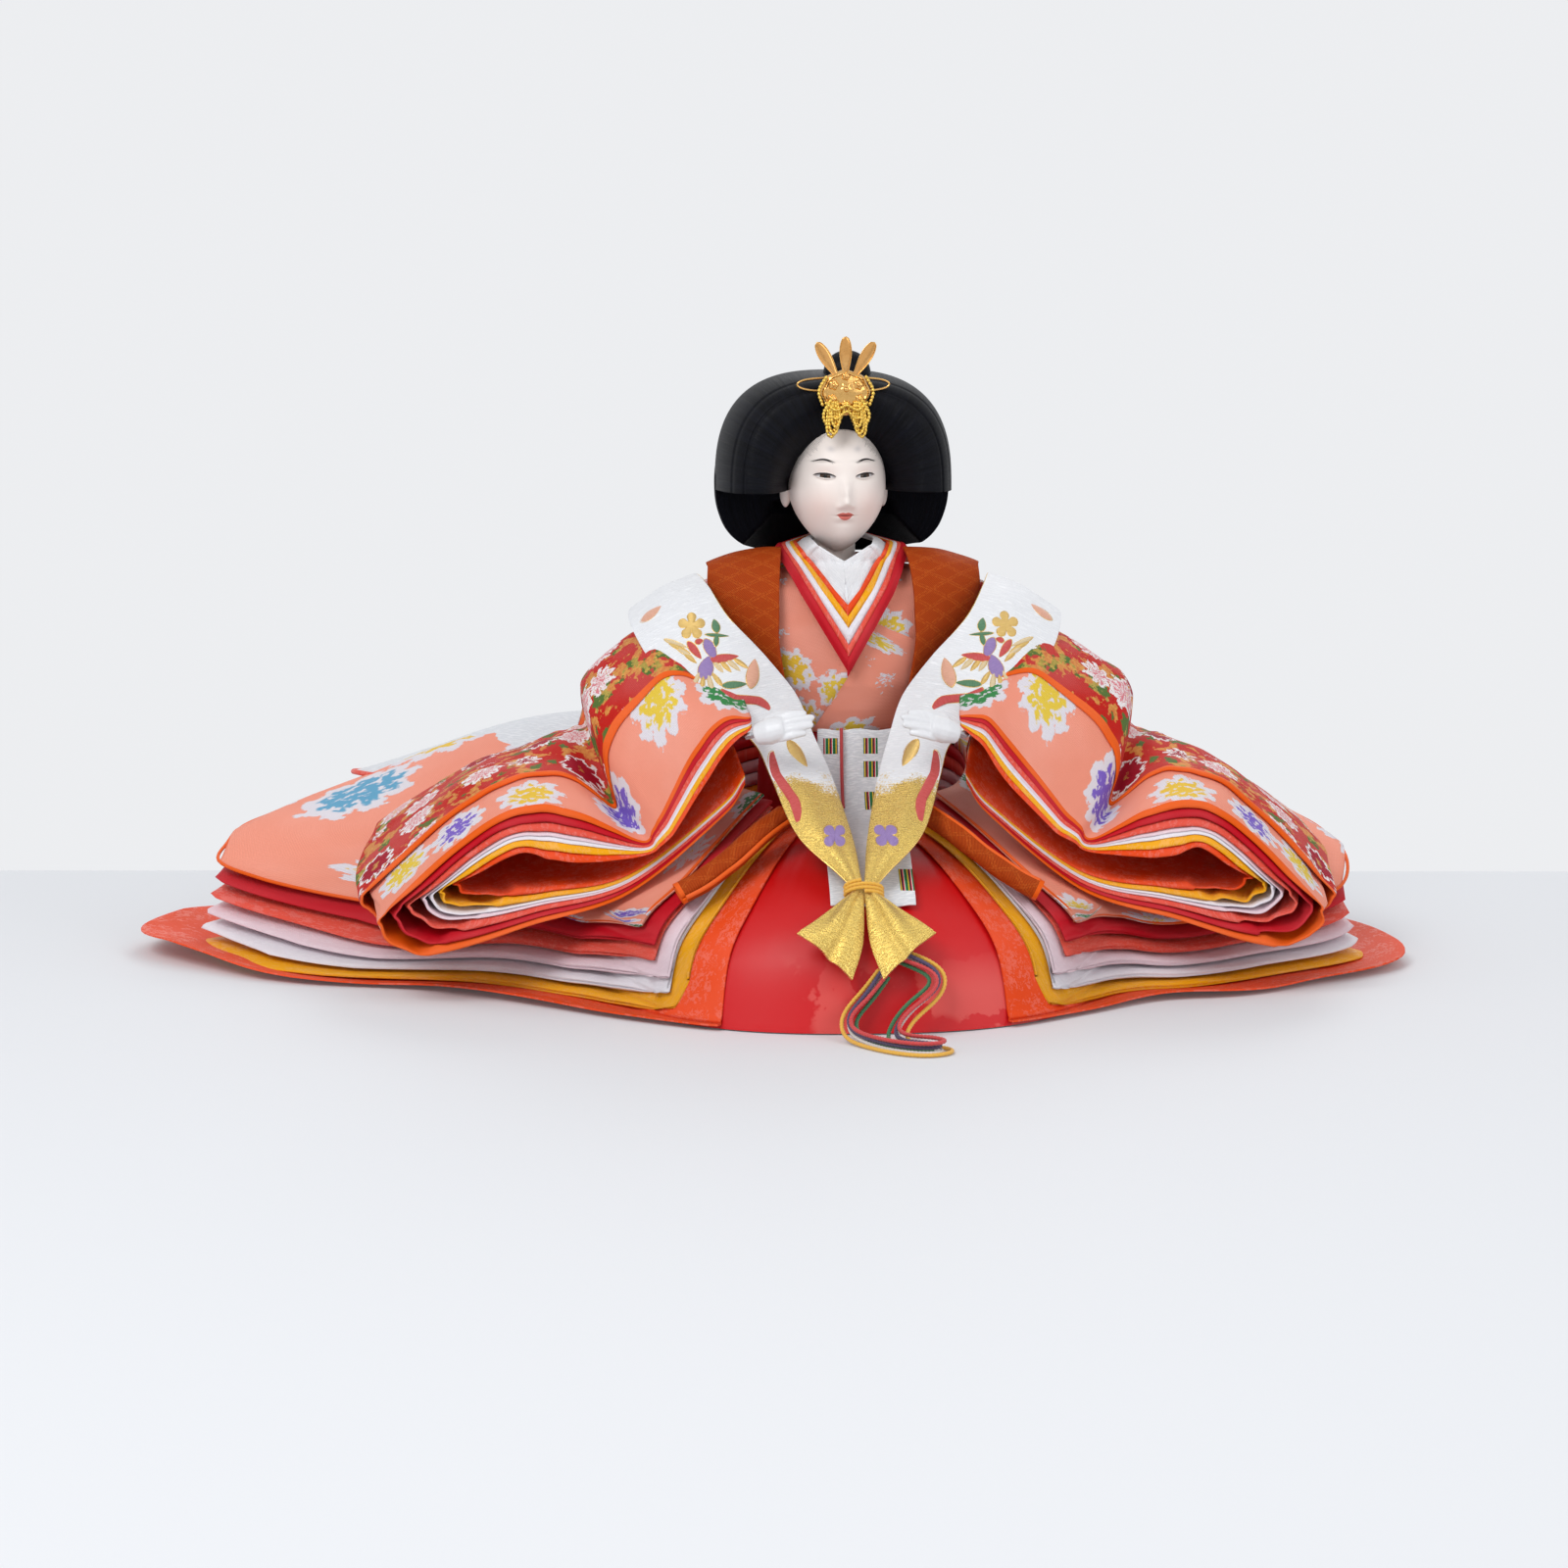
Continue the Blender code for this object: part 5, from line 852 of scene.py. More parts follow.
def plan_at(stations, rings):
    """Plan places on the stack's grid for arrays of stations and fractional rings."""
    stations = np.asarray(stations, float)
    centre = np.array((0.0, LAP_CENTRE_Y))
    table = []
    for ring in range(LAP_RINGS + len(OUTER_RING_SHARES)):
        share = SWEEP_SHARES[min(ring, len(SWEEP_SHARES) - 1)]
        back = STATIONS - stations
        at = np.where(stations < SWEEP_REACH, stations * (share + (1 - share) * stations / SWEEP_REACH),
                      np.where(back < SWEEP_REACH,
                               STATIONS - back * (share + (1 - share) * back / SWEEP_REACH),
                               stations))
        edge = edge_at(at if ring < LAP_RINGS else stations)
        way = edge - centre
        reach = np.where(way[:, 1] < 0, LAP_FRONT_DEPTH, LAP_BACK_DEPTH)
        size = (np.abs(way[:, 0] / LAP_HALF_WIDTH) ** LAP_PLAN_POWER
                + np.abs(way[:, 1] / reach) ** LAP_PLAN_POWER) ** (1 / LAP_PLAN_POWER)
        lap = centre + way * np.minimum(1.0 / size, 0.995)[:, None]
        if ring < LAP_RINGS:
            angle = np.arctan2(way[:, 1], way[:, 0])
            waist = np.stack([WAIST_HALF_WIDTH * np.cos(angle), WAIST_HALF_DEPTH * np.sin(angle)], axis=1)
            table.append(waist + (lap - waist) * LAP_RING_SHARES[ring])
        else:
            table.append(lap + (edge - lap) * OUTER_RING_SHARES[ring - LAP_RINGS])
    table = np.array(table)
    rings = np.asarray(rings, float)
    if rings.ndim == 1:
        return np.swapaxes(along(table, rings), 0, 1)
    return np.array([along(table[:, k], rings[k]) for k in range(len(stations))])


RISES = np.array(LAP_RISE_SHARES + (0.0,) * (len(OUTER_RING_SHARES) + 1))


def levels(plan, rings):
    """Heights that bound each layer: trousers, under-robe and the robes' base and top."""
    rise = np.clip(along(RISES, rings.reshape(-1)).reshape(rings.shape), 0.0, 1.0)
    lap = LAP_HEIGHT * rise * (1.0 - LAP_SIDE_FALL_SHARE * (plan[..., 0] / LAP_HALF_WIDTH) ** 2)
    lap = np.maximum(np.where(rings >= LAP_RINGS - 1, 0.0, lap), FLOOR_GAP)
    trousers = lap + TROUSER_CLOTH
    off = np.clip(rings - (LAP_RINGS - 1), 0.0, 1.0)
    under_base = (trousers + GAP) * (1 - off) + FLOOR_GAP * off
    base = under_base + UNDER_ROBE_CLOTH + GAP
    top = np.maximum(stack_top(plan), base + LEAST_STACK)
    return trousers, under_base, base, top


def spaced_ends(low, high, count, close=0.10, first=True, last=True):
    """Places from low to high that crowd together at the ends, for rounded edges."""
    t = np.linspace(0, 1, count)
    grown = t.copy()
    if first:
        grown = np.where(t < close * 2, (t / (close * 2)) ** 2 * close * 2, grown)
    if last:
        grown = np.where(t > 1 - close * 2, 1 - ((1 - t) / (close * 2)) ** 2 * close * 2, grown)
    return low + (high - low) * grown


def round_off(distance, radius):
    """A quarter circle that rises from 0 at an edge to 1 a radius inside it."""
    near = np.clip(distance / radius, 0.0, 1.0)
    return np.sqrt(np.maximum(1 - (1 - near) ** 2, 0.0))


ROBES = (("yellow", "hem_yellow", 0.44), ("white", "hem_white", 0.46), ("pale_pink", "hem_pale_pink", 0.46),
         ("coral", "hem_coral", 0.48), ("crimson", "hem_crimson", 0.48), ("pink", "hem_brocade", 0.50))
ROBE_STARTS = {"hem_orange": (1.95, 23.05), "hem_yellow": (2.4, 22.6), "hem_white": (2.6, 22.4),
               "hem_pale_pink": (2.6, 22.4), "hem_coral": (2.8, 22.2), "hem_crimson": (2.8, 22.2),
               "hem_brocade": (3.0, 22.0)}
HEM_ROUND = 0.0034
PILLOW_REACH = 0.034
SEAM_DEPTH = 0.0011
STACK_COLUMNS = 190
STACK_RINGS = 46
START_RING = 0.5


def ring_grid(low, high, ends, start_ring, columns, rings, first_round=True):
    """Stations, fractional rings and plan places for one layer of the stack."""
    stations = spaced_ends(low, high, columns, first=first_round, last=first_round)
    if ends is None:
        reach = np.full(columns, float(LAP_RINGS + len(OUTER_RING_SHARES) - 1))
    else:
        reach = np.array([np.interp(s, [e[0] for e in END_RING_SHARES],
                                    [e[1] + (e[2] - e[1])
                                     * ends for e in END_RING_SHARES]) for s in stations])
    t = spaced_ends(0.0, 1.0, rings, first=False)
    ring = start_ring + (reach[:, None] - start_ring) * t[None, :]
    return stations, ring, plan_at(stations, ring)


def rim_distance(plan):
    """Distance of each grid point from the outer rim and from the front edges."""
    steps = np.linalg.norm(np.diff(plan, axis=1), axis=2)
    out = np.zeros(plan.shape[:2])
    out[:, :-1] = np.cumsum(steps[:, ::-1], axis=1)[:, ::-1]
    steps = np.linalg.norm(np.diff(plan, axis=0), axis=2)
    near = np.zeros(plan.shape[:2])
    near[1:] = np.cumsum(steps, axis=0)
    far = np.zeros(plan.shape[:2])
    far[:-1] = np.cumsum(steps[::-1], axis=0)[::-1]
    return out, np.minimum(near, far)


def build_robe(k, colour, node, softness):
    """One padded robe of the stack, the k-th from below, pillowed toward its far corners."""
    count = len(ROBES)
    low, high = ROBE_STARTS[node]
    stations, rings, plan = ring_grid(low, high, k / (count - 1), START_RING, STACK_COLUMNS, STACK_RINGS)
    _, _, base, top = levels(plan, rings)
    pitch = (top - base) / count
    floor = base + pitch * k
    out, side = rim_distance(plan)
    round_edge = round_off(out, HEM_ROUND) * round_off(side, HEM_ROUND)
    tips = tip_share(stations)[:, None]
    least = 0.80 - 0.56 * tips
    pillow = least + (1 - least) * np.clip(out / (PILLOW_REACH * (0.4 + 0.8 * tips)), 0, 1) ** 0.75
    thick = (pitch - np.maximum(GAP, pitch * 0.07)) * np.maximum(round_edge * pillow, 0.02)
    plan = draw_tips(plan, stations, out)
    inward = plan[:, -6] - plan[:, -1]
    inward /= np.maximum(np.linalg.norm(inward, axis=1), 1e-6)[:, None]
    plan[:, -1] += inward * SEAM_DEPTH * (1 - 0.5 * tips)
    for last, before in ((0, 6), (-1, -7)):
        inward = plan[before] - plan[last]
        inward /= np.maximum(np.linalg.norm(inward, axis=1), 1e-6)[:, None]
        plan[last] += inward * SEAM_DEPTH
    soft = np.zeros(thick.shape)
    wave = np.zeros(thick.shape)
    for i in range(plan.shape[0]):
        for j in range(plan.shape[1]):
            x, y = plan[i, j]
            soft[i, j] = wave_noise(x * 38.0, y * 38.0, k * 3.1)
            wave[i, j] = wave_noise(x * 90.0, y * 90.0, 7.0 + k)
    droop = (1 - np.clip(out / 0.020, 0, 1)) * (0.12 + 0.10 * tips)
    middle = floor + (pitch - GAP) * (softness - droop * 0.5) + soft * pitch * 0.04
    upper = middle + thick * (1 - softness)
    lower = middle - thick * softness
    upper += wave * np.minimum(thick, 0.0025) * 0.10
    lower = np.maximum(lower, base + 0.00005)
    upper = np.maximum(upper, lower + 0.00008)
    if node == "hem_yellow":
        lower = np.maximum(lower, base + 0.0001)
    grid = np.concatenate([np.dstack([plan, upper]), np.dstack([plan, lower])[:, ::-1]], axis=1)
    item = surface("robe_" + colour, grid, SILKS[colour], ring=True)
    close_ends(item)
    if colour == "pink":
        edge_strip(plan, upper, lower)
    return attach(item, node)


def edge_strip(plan, upper, lower):
    """The orange piping that shows along the brocade's rim."""
    rim = np.dstack([plan[:, -1:], (upper[:, -1:] + lower[:, -1:]) / 2])[:, 0]
    first = np.dstack([plan[:1], (upper[:1] + lower[:1]) / 2])[0]
    last = np.dstack([plan[-1:], (upper[-1:] + lower[-1:]) / 2])[0]
    path = np.concatenate([first[:-1], rim, last[::-1][1:]])
    piping = tube("robe_pink_piping", even(path[::3], 420), PIPING_RADIUS, SILKS["piping"], sides=8)
    attach(piping)


PIPING_RADIUS = 0.00055
UNDER_ROBE_COLUMNS = 200
UNDER_ROBE_RINGS = 40
RIM_CURL_REACH = 0.030
TIP_CURL = 0.0058
TIP_CURL_REACH = 0.045
RIGHT_TIP_X = 0.168
LEFT_TIP_X = 0.150


def build_under_robe():
    """The orange sheet that lies on the floor, with its tips curling up a little."""
    low, high = ROBE_STARTS["hem_orange"]
    _, rings, plan = ring_grid(low, high, None, START_RING, UNDER_ROBE_COLUMNS, UNDER_ROBE_RINGS)
    under_base = levels(plan, rings)[1]
    out = rim_distance(plan)[0]
    lift = np.zeros(out.shape)
    for i in range(plan.shape[0]):
        for j in range(plan.shape[1]):
            x, y = plan[i, j]
            edge = max(0.0, 1 - out[i, j] / RIM_CURL_REACH)
            lift[i, j] = edge * (0.0012 + 0.0014 * wave_noise(x * 24.0, y * 24.0, 2.0))
            tip = max(0.0, (abs(x) - (RIGHT_TIP_X if x < 0 else LEFT_TIP_X)) / TIP_CURL_REACH)
            lift[i, j] += TIP_CURL * min(tip, 1.0) ** 1.6 * min(1.0, edge * 2.5)
    lift = np.maximum(lift, 0.0)
    grid = np.dstack([plan, under_base + lift + UNDER_ROBE_CLOTH * 0.4])
    item = surface("robe_orange", grid, SILKS["orange"])
    edit_mesh(item)
    thicken(item, UNDER_ROBE_CLOTH * 0.6, 0.0)
    attach(item, "hem_orange")


def satin_look():
    """Red satin, a little lighter towards the floor, with large soft pinkish petal shapes close to the floor.
    """
    look = Look("trouser_satin")
    z = look.parts(look.place())[2]
    bent = look.vector("ADD", look.place(), look.scaled(look.node(
        "TexNoise", look.scaled(look.place(), 60.0)).outputs["Color"], 0.006))
    petal = look.cells(bent, 34.0, "DISTANCE_TO_EDGE", 0.9)[0]
    body = look.step(petal, 0.045, 0.075)
    low = look.minus(1.0, look.step(z, 0.010, 0.024))
    chosen = look.step(look.noise(look.place(), 24.0, 1.0), 0.46, 0.50)
    mask = look.times(look.times(body, chosen), low)
    base = look.mix(look.step(z, 0.0, 0.045), (0.62, 0.006, 0.010), (0.56, 0.002, 0.003))
    base = look.mix(look.times(mask, 0.55), base, (0.78, 0.13, 0.11))
    threads = look.weave(0.30)
    return look.finish(base, 0.36, look.bump(threads, 0.00006, 0.35), specular_ior_level=0.35)


PLEAT_STATIONS = (0.35, 1.1, 23.6, 24.45)
PLEAT_LIFT = 0.0007
TROUSER_COLUMNS = 260
TROUSER_ROWS = 44


def build_trousers():
    """Red satin over the lap, with pressed pleats that run from the waist to the floor."""
    stations = np.linspace(0, STATIONS, TROUSER_COLUMNS, endpoint=False)
    rings = np.broadcast_to(np.linspace(0.0, LAP_RINGS - 1.0, TROUSER_ROWS), (TROUSER_COLUMNS, TROUSER_ROWS))
    plan = plan_at(stations, rings)
    trousers = levels(plan, rings)[0]
    lift = np.zeros(trousers.shape)
    for pleat in PLEAT_STATIONS:
        off = (stations - pleat + STATIONS / 2) % STATIONS - STATIONS / 2
        fold = np.where(off >= 0, np.exp(-off / 0.10), 0.0) * np.clip((off + 0.02) / 0.02, 0, 1)
        lift += fold[:, None] * PLEAT_LIFT
    for i in range(TROUSER_COLUMNS):
        for j in range(TROUSER_ROWS):
            x, y = plan[i, j]
            lift[i, j] += 0.0005 * wave_noise(x * 45.0, y * 45.0, 1.0) * (rings[i, j] / 4)
    grid = np.dstack([plan, trousers - 0.0002 - np.clip(-lift, 0, 1) + np.clip(lift, 0, PLEAT_LIFT) * 0.45])
    grid[:, -1, 2] = 0.0004
    item = surface("hakama_cloth", grid, satin_look(), tube=True)
    edit_mesh(item)
    attach(item, "hakama")


TRAIN_PUFF = 0.0045
TRAIN_STATIONS = (9.6, 15.55)
TRAIN_FIRST_RING = 0.8
TRAIN_LAST_RING = 6.85
TRAIN_COLUMNS = 90
TRAIN_ROWS = 70
TRAIN_PLEATS = 9
TRAIN_PLEAT_RISE = 0.0007
TRAIN_CLOTH = 0.0006


def build_train():
    """White pleated train on the robes behind, with an edge of the brocade's colour."""
    stations = np.linspace(*TRAIN_STATIONS, TRAIN_COLUMNS)
    across = np.linspace(0, 1, TRAIN_COLUMNS)
    last = TRAIN_LAST_RING - 0.7 * np.clip((np.abs(across - 0.5) - 0.34) / 0.16, 0, 1) ** 2
    rings = TRAIN_FIRST_RING + (last[:, None] - TRAIN_FIRST_RING) * np.linspace(0, 1, TRAIN_ROWS)[None, :]
    plan = plan_at(stations, rings)
    _, _, base, top = levels(plan, rings)
    pitch = (top - base) / len(ROBES)
    out = rim_distance(plan)[0]
    pleats = TRAIN_PLEAT_RISE * np.abs(np.sin(np.linspace(0, TRAIN_PLEATS * math.pi, TRAIN_COLUMNS)))[:, None]
    pleats = pleats * np.clip(out / 0.01, 0.3, 1)
    puff = TRAIN_PUFF * (1 - np.clip(np.abs(rings - 4.6) / 2.6, 0, 1) ** 3) * np.clip(
        1 - (np.abs(across - 0.5) / 0.5)[:, None] ** 5, 0, 1)
    corner = np.clip((np.abs(across - 0.5) - 0.25) / 0.25, 0, 1)[:, None] * np.clip((rings - 3.5) / 3.0, 0, 1)
    puff *= 1 - corner
    z = top - pitch * (0.10 + 0.5 * corner) + TRAIN_CLOTH + pleats + puff
    grid = np.dstack([plan, z])
    item = surface("train_cloth", grid, TRAIN_WHITE)
    edit_mesh(item)
    thicken(item, TRAIN_CLOTH, 1.0)
    rim = tube("train_piping", even(np.dstack([plan[:, -1:], z[:, -1:] + 0.0003])[:, 0], 160), 0.0009,
               SILKS["coral"], sides=8)
    attach(item, "mo_train")
    attach(rim)
    declare_sheet(grid)


PAD_FOOT_Z = 0.0054
PAD_COLUMNS = 120
PAD_ROWS = 24


def build_lap_pad():
    """Cotton pad under the trousers, hidden."""
    look = Look("pad_cotton")
    fluff = look.noise(look.place(), 420.0, 4.0, 0.65)
    cotton = look.finish(look.mix(fluff, (0.62, 0.56, 0.44), (0.84, 0.80, 0.70)), 0.9,
                         look.bump(fluff, 0.0004, 0.8))
    stations = np.linspace(0, STATIONS, PAD_COLUMNS, endpoint=False)
    rings = np.broadcast_to(np.linspace(0.0, LAP_RINGS - 2.0, PAD_ROWS), (PAD_COLUMNS, PAD_ROWS))
    plan = plan_at(stations, rings)
    upper = levels(plan, rings)[0] - TROUSER_CLOTH - GAP
    lower = np.full(upper.shape, PAD_FOOT_Z)
    grid = np.concatenate([np.dstack([plan, upper]), np.dstack([plan, lower])[:, ::-1]], axis=1)
    grid[..., 2] = np.maximum(grid[..., 2], PAD_FOOT_Z)
    item = surface("lap_pad_cotton", grid, cotton, tube=True, ring=True)
    edit_mesh(item)
    attach(item, "lap_pad")


def flat_size(grid):
    """Width and length of a cloth, measured along the middle of its surface."""
    grid = np.asarray(grid, float)
    across = np.linalg.norm(np.diff(grid, axis=1), axis=2)
    down = np.linalg.norm(np.diff(grid, axis=0), axis=2)
    width = across.sum(axis=1).mean()
    length = down.sum(axis=0).mean()
    cell = across[:-1, :] * down[:, :-1]
    return round(float(width), 3), round(float(length), 3), float(cell.sum())


LEAST_CUT = 0.010


def declare_sheet(middle):
    width, length, area = flat_size(middle)
    length = max(length, LEAST_CUT)


# Sleeves
SLEEVE_LIP_STEP = 0.0024
SLEEVE_COLUMNS = 170
SLEEVE_LAST = 16.0
SLEEVE_BACK_ROW = 3.0
SLEEVE_THIN_START = 8.7
SLEEVE_THIN_END = 11.4
SLEEVE_THIN_CLOTH = 0.0009
SLEEVE_FILL = 0.86
SLEEVE_WRINKLE = 0.0013
SLEEVE_LAYERS = (
    ("red", "red", 0.0, 1 / 7, 0.93, "piping", 0.0027), ("pink", "pink", 1 / 7, 2 / 7, 0.0, "piping", 0.0009),
    ("crimson", "crimson", 2 / 7, 3 / 7, 0.0, None, 0), ("coral", "coral", 3 / 7, 4 / 7, 0.0, None, 0),
    ("white", "pale_pink", 4 / 7, 4.5 / 7, 0.0, None, 0), ("white", "white", 4.5 / 7, 5 / 7, 0.0, None, 0),
    ("yellow", "yellow", 5 / 7, 6 / 7, 0.0, None, 0), ("orange", "orange", 6 / 7, 1.0, 0.0, None, 0))


def sleeve_faces(side, rows, stations):
    """Outer and inner sleeve surfaces for a row number and a station number at every grid point."""
    rows = np.asarray(rows, float)
    stations = np.asarray(stations, float)
    faces = []
    for table in (SLEEVE_OUTER_SHARES, SLEEVE_INNER_SHARES):
        along_stations = np.array([along(row, stations) for row in table])
        place = np.stack([along(along_stations[:, k], rows) for k in range(len(stations))], axis=1)
        x = place[..., 0] * SLEEVE_HUMP_X
        if side > 0:
            x = x + LEFT_VALLEY_SHIFT * along(np.array(VALLEY_SHIFT_SHARES)[:, None], stations)[:, 0][None, :]
        faces.append(np.dstack([side * x, place[..., 1] * SLEEVE_ELBOW_Z]))
    return faces


def sleeve_places(side, rows, stations, depth):
    """Places in a sleeve at one depth share, with wrinkles that all its layers share."""
    outer, inner = sleeve_faces(side, rows, stations)
    y = along(np.array(SLEEVE_ROWS_Y)[:, None], rows)[:, 0]
    lip = along(np.array(SLEEVE_LIP_SHARES, float)[:, None], stations)[:, 0]
    front = np.clip(1 - np.asarray(rows), 0, 1)
    y = y[:, None] - SLEEVE_LIP_STEP * lip[None, :] * (2 * depth - 1) * front[:, None]
    place = outer + (inner - outer) * depth
    under = np.clip((np.asarray(stations) - 10.4) / 0.6, 0, 1)[None, :] * np.clip(rows, 0, 1)[:, None]
    floor = stack_top(np.dstack([outer[..., 0], np.broadcast_to(y, outer.shape[:2])])) + SLEEVE_REST_GAP
    lift = np.maximum(floor - outer[..., 1], 0.0) * under
    span = inner - outer
    span = span / np.maximum(np.linalg.norm(span, axis=2), 1e-6)[..., None]
    wave = np.zeros(outer.shape[:2])
    for i, row in enumerate(rows):
        for j, station in enumerate(stations):
            free = (0.30 + 0.70 * min(row, 1.0)) * (1.0 if station < 10.4 else 0.25)
            wave[i, j] = free * (wave_noise(station * 0.95, row * 1.1, side * 5.0)
                                 + 0.45 * wave_noise(station * 2.4, row * 1.7, side * 9.0))
    place = place + span * (wave * SLEEVE_WRINKLE)[..., None]
    return np.dstack([place[..., 0], y, place[..., 1] + lift])


def build_sleeve_layer(side_name, side, layer):
    node_colour, colour, low, high, start, rim, rim_width = layer
    stations = np.linspace(0, SLEEVE_LAST, SLEEVE_COLUMNS)
    outer_rows = np.concatenate([np.linspace(SLEEVE_BACK_ROW, start + 0.25, 18),
                                 [start + 0.12, start + 0.05, start]])
    a = sleeve_places(side, outer_rows, stations, low)
    b = sleeve_places(side, outer_rows, stations, high)
    gap = np.linalg.norm(b - a, axis=2)
    tuck = SLEEVE_THIN_END + 1.0 * low + 0.05 * side
    thin = (np.clip((stations - SLEEVE_THIN_START) / 0.5, 0, 1)
            * np.clip((tuck - stations) / 0.06, 0, 1))[None, :]
    full = gap * SLEEVE_FILL
    thick = full * (1 - thin) + np.minimum(full, SLEEVE_THIN_CLOTH) * thin
    ends = round_off(np.minimum(stations, SLEEVE_LAST - stations), 0.12)[None, :]
    thick = thick * np.maximum(ends, 0.05)
    tone = np.array([[wave_noise(s * 1.7, r * 2.0,
                                 3.0 + low * 20 + side) for s in stations] for r in outer_rows])
    seat = (gap - thick) * np.clip(0.25 + 0.55 * tone, 0.02, 0.6)
    way = (b - a) / np.maximum(gap, 1e-6)[..., None]
    outside = a + way * seat[..., None]
    inside = a + way * (seat + thick)[..., None]
    forward = outside[-1] - outside[-4]
    forward /= np.linalg.norm(forward, axis=1)[:, None]
    middle = (outside[-1] + inside[-1]) / 2
    half = (outside[-1] - inside[-1]) / 2
    reach = np.linalg.norm(half, axis=1)[:, None]
    lip = [middle + half * math.cos(t) + forward * reach
           * math.sin(t) for t in np.linspace(0.3, math.pi - 0.3, 7)]
    rows = list(outside) + lip + list(inside[::-1])
    if node_colour == "red":
        mirror = np.interp(stations, (0, 10.0, SLEEVE_LAST), (SLEEVE_LAST, 10.0, 0))
        partner = sleeve_places(side, np.array([SLEEVE_BACK_ROW]), mirror, 0.0)[0]
        seam = (outside[0] + partner) / 2
        pocket = []
        for t in np.linspace(0.98, 0.14, 7):
            turn = t * math.pi / 2
            place = seam + (outside[0] - seam) * math.cos(turn)
            place[:, 1] = outside[0][:, 1] + 0.011 * math.sin(turn)
            pocket.append(place)
        rows = pocket + rows
    grid = np.array(rows)
    first = len(rows) - len(inside) - len(lip)
    spots = ()
    if rim:
        reach_back = np.linalg.norm(np.diff(outside, axis=0), axis=2).mean(axis=1)[::-1].cumsum()
        back = int(np.searchsorted(reach_back, rim_width)) + 1
        spots = ((first - back, first + len(lip) + 30, SILKS[rim]),)
    name = "sleeve_" + side_name + "_" + colour
    item = surface(name, grid, SILKS[colour], tube=True, spots=spots)
    close_ends(item)
    attach(item)
    declare_sheet((outside + inside) / 2)
    return item


def build_sleeves():
    for side_name, side in (("right", -1.0), ("left", 1.0)):
        made = {}
        for layer in SLEEVE_LAYERS:
            item = build_sleeve_layer(side_name, side, layer)
            made.setdefault(layer[0], item)
        for colour, item in made.items():
            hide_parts(side_name + "_sleeve_" + colour)


# Torso
JACKET_OFFSET = 0.0021
JACKET_FRONT_ANGLE = math.radians(52.0)
BODICE_CLOTH = 0.0010
COLLAR_TIP_TOP_Z = 0.1283
COLLAR_TIP_FOOT_Z = 0.0964
COLLAR_NECK_HALF_WIDTH = 0.0118
COLLAR_SPREAD = 0.0080
COLLAR_OFFSET = 0.0037
COLLAR_TIP_GAP = 0.0
COLLAR_SIDE_Z = 0.1330
COLLAR_BACK_Z = 0.1360
COLLAR_BACK_Y = 0.0118
COLLAR_SIDE_BACK = 0.0040
COLLAR_BAND_DROP = 0.0016
COLLAR_RISE_SHARES = (0.0, 0.11, 0.22, 0.34, 0.52, 0.75, 1.0)
COLLARS = (("inner_collar", "ribbed", 0.0, -0.26, 0.39, 0.30),
           ("collar_orange", "orange", 0.39, 0.30, 0.49, 0.43),
           ("collar_yellow", "yellow", 0.49, 0.43, 0.60, 0.57),
           ("collar_white", "white", 0.60, 0.57, 0.757, 0.74),
           ("collar_coral", "coral", 0.757, 0.74, 0.864, 0.87),
           ("collar_crimson", "crimson", 0.864, 0.87, 1.0, 1.12))
COLLAR_STEP = 0.0006
COLLAR_ROUND = 0.0004
COLLAR_LAYER = 0.00028
COLLAR_CROSS = 0.0005
COLLAR_OVERLAP = 1.03


def torso_sizes(heights):
    """Half width, half depth and middle of the torso at some heights."""
    shares = np.clip((np.asarray(heights, float) - TORSO_FOOT_Z) / (TORSO_TOP_Z - TORSO_FOOT_Z), 0.0, 1.0)
    rings = np.array(TORSO_RING_SHARES)
    found = [np.interp(shares, rings[:, 0], rings[:, k]) for k in (1, 2, 3)]
    return TORSO_HALF_WIDTH * found[0], TORSO_HALF_DEPTH * found[1], TORSO_CENTRE_Y * found[2]


def torso_point(angle, share, offset):
    z = TORSO_FOOT_Z + (TORSO_TOP_Z - TORSO_FOOT_Z) * share
    half_width, half_depth, middle = torso_sizes(z)
    lift = offset * max(0.0, share - 0.7) * 2.2
    return ((half_width + offset) * math.sin(angle), middle - (half_depth + offset) * math.cos(angle),
            z + lift)


def chest_y(x, z, offset):
    """Front of the torso at a place, a step out from it."""
    half_width, half_depth, middle = torso_sizes(z)
    inside = max(0.05, 1.0 - (x / (half_width + offset)) ** 2)
    return float(middle - (half_depth + offset) * math.sqrt(inside))


def cloth_piece(name, grid, look, thickness, node, offset=1.0, ring=False, spots=()):
    """A cloth with its thickness."""
    item = surface(name, grid, look, ring=ring, spots=spots)
    thicken(item, thickness, offset)
    attach(item, node)
    declare_sheet(grid)
    return item


WAIST_WRAP_LOW_Z = 0.050
WAIST_WRAP_EASE = 0.0020


def build_waist_wrap():
    """The crimson robe where it closes round the waist, between the bodice and the lap."""
    rows = []
    for share in np.linspace(0.0, 1.0, 14):
        row = []
        for a in np.linspace(0, 2 * math.pi, 96, endpoint=False):
            high = np.array(torso_point(a, 0.05, -0.0010))
            low = np.array(((WAIST_HALF_WIDTH + WAIST_WRAP_EASE) * math.sin(a),
                            -(WAIST_HALF_DEPTH + WAIST_WRAP_EASE) * math.cos(a), WAIST_WRAP_LOW_Z))
            fold = 0.0004 * math.sin(a * 17.0) * math.sin(math.pi * share)
            row.append(high + (low - high) * share + np.array((math.sin(a), -math.cos(a), 0.0)) * fold)
        rows.append(row)
    grid = np.array(rows)
    item = surface("waist_wrap", grid, SILKS["crimson"], ring=True)
    thicken(item, 0.0006, -1.0)
    attach(item)
    declare_sheet(np.concatenate([grid, grid[:, :1]], axis=1))


